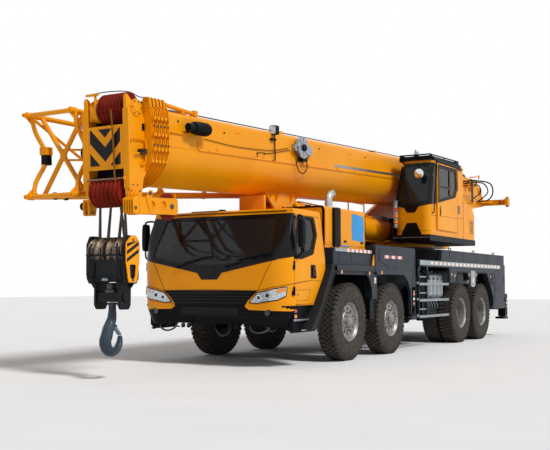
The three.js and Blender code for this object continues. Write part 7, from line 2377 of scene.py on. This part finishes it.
def makeOutriggers():
    facts = outriggerFacts
    for place in ("front", "rear"):
        boxY, z = facts[place]
        low, high = z - 0.17, z + 0.34
        for side, sign in (("left", 1), ("right", -1)):
            y0 = boxY + facts["wall"] + (0 if sign > 0 else facts["lane"] + facts["wall"])
            y1 = y0 + facts["lane"]
            middle = (y0 + y1) / 2
            node = f"outrigger_beam_{place}_{side}"
            bag = []
            block(bag, (sign * -1.16, sign * 1.21), (y0 + 0.001, y1 - 0.001), (z + 0.001, z + 0.269), "grey")
            x0, x1 = facts["sleeve"]
            post = rounded(rect(middle - facts["half"], middle + facts["half"], low, high), 0.02, 3)
            slab(bag, "x", post, sign * x0, sign * x1, "black")
            slab(bag, "x", rounded(rect(middle - 0.055, middle + 0.055, low + 0.16, high - 0.05), 0.012,
                3), sign * (x1 - 0.002), sign * (x1 + 0.005), "black")
            for k in range(3):
                at = low + 0.20 + 0.08 * k
                slab(bag, "x", rect(middle - 0.04, middle + 0.04, at, at + 0.045), sign * (x1 + 0.004),
                    sign * (x1 + 0.007), "white" if k % 2 else "redLens")
            for x, y in ((x0 + 0.03, middle - 0.03), (x0 + 0.09, middle + 0.03)):
                bar(bag, (sign * x, y, high), (sign * x, y, high + 0.022), 0.014, "steel", 10)
            makePiece(node + "_welded", bag, node, ground, [node], 0.004)
            node = f"outrigger_jack_{place}_{side}"
            bag = []
            x, top = sign * (x0 + x1) / 2, low - 0.01
            disc(bag, "z", (x, middle, 0), facts["rod"], top - 0.02, high - 0.04, "chrome", 32)
            disc(bag, "z", (x, middle, 0), 0.075, top - 0.002, top + 0.009, "castBlack", 28, 0.002)
            foot = [(sign * u, v) for u, v in rounded(rect(1.13, 1.37, middle - 0.145, middle + 0.145),
                0.06, 5)]
            slab(bag, "z", foot, top - 0.05, top - 0.002, "castBlack")
            boltsOn(bag, "z", ringPoints(0.092, 6, (x, middle)), 0.010, top - 0.003, top + 0.005, "steel")
            makePiece(node + "_turned", bag, node, ground, [node], 0.003)


makeOutriggers()
print("outriggers made")


# CAD nodes that keep their own shape: softened edges and a finish.
def finishNode(node, mat):
    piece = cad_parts[node]
    piece.data.materials.clear()
    piece.data.materials.append(mats[mat])
    edges = piece.modifiers.new("softEdges", "BEVEL")
    edges.width = 0.006
    edges.segments = 2
    edges.limit_method = "ANGLE"
    edges.angle_limit = math.radians(35)
    edges.use_clamp_overlap = True


nodeFinishes = {
    "yellow": "turntable boom_rest",
    "grey": "frame",
    "greyDark": "axle_1 axle_2 rear_bogie engine_block"
    " knuckle_1_left knuckle_1_right knuckle_2_left knuckle_2_right",
    "castBlack": "slew_ring",
}
for mat, nodeNames in nodeFinishes.items():
    for node in nodeNames.split():
        finishNode(node, mat)
print("frame nodes finished")


# Floor, world and lamps. The background is paler to the camera than the light it gives.
stageFacts = {"floor": "F4F4F4", "backdrop": 1.0, "sky": 0.34, "sunTilt": 44, "sunTurn": 76, "sunPower": 2.4}


def makeStage():
    mesh = bpy.data.meshes.new("floor")
    mesh.from_pydata([(-60, -60, 0), (60, -60, 0), (60, 60, 0), (-60, 60, 0)], [], [(0, 1, 2, 3)])
    floor = bpy.data.objects.new("floor", mesh)
    bpy.context.scene.collection.objects.link(floor)
    material, tree, shader, place = startMaterial("paintedFloor",
        {"Roughness": 0.8, "Specular IOR Level": 0.2})
    tone = addNode(tree, "TexNoise", {"Vector": place, "Scale": scaleFor(900), "Detail": 3.0})
    color = addNode(tree, "ValToRGB", {"Fac": tone.outputs["Fac"]},
        stops=[(0.3, "F1F1F1"), (0.7, stageFacts["floor"])])
    tree.links.new(color.outputs["Color"], shader.inputs["Base Color"])
    mesh.materials.append(material)
    world = bpy.data.worlds.new("studio")
    world.use_nodes = True
    tree = world.node_tree
    tree.nodes.clear()
    rays = addNode(tree, "LightPath")
    seen = addNode(tree, "Math", {0: rays.outputs["Is Camera Ray"],
        1: rays.outputs["Is Transmission Ray"]}, operation="MAXIMUM")
    shown = addNode(tree, "Math", {0: seen.outputs["Value"], 1: rays.outputs["Is Glossy Ray"]},
        operation="MAXIMUM")
    level = addNode(
        tree,
        "MapRange",
        {"Value": shown.outputs["Value"], "To Min": stageFacts["sky"], "To Max": stageFacts["backdrop"]},
    )
    sky = addNode(tree, "Background", {"Color": linear("FFFFFF"), "Strength": level.outputs["Result"]})
    addNode(tree, "OutputWorld", {"Surface": sky.outputs["Background"]})
    bpy.context.scene.world = world
    sun = bpy.data.lights.new("sun", "SUN")
    sun.energy = stageFacts["sunPower"]
    sun.angle = math.radians(12)
    lamp = bpy.data.objects.new("sun", sun)
    lamp.rotation_euler = (math.radians(stageFacts["sunTilt"]), 0, math.radians(stageFacts["sunTurn"]))
    bpy.context.scene.collection.objects.link(lamp)
    bpy.context.scene.view_settings.view_transform = "Standard"


makeStage()
print("stage made")
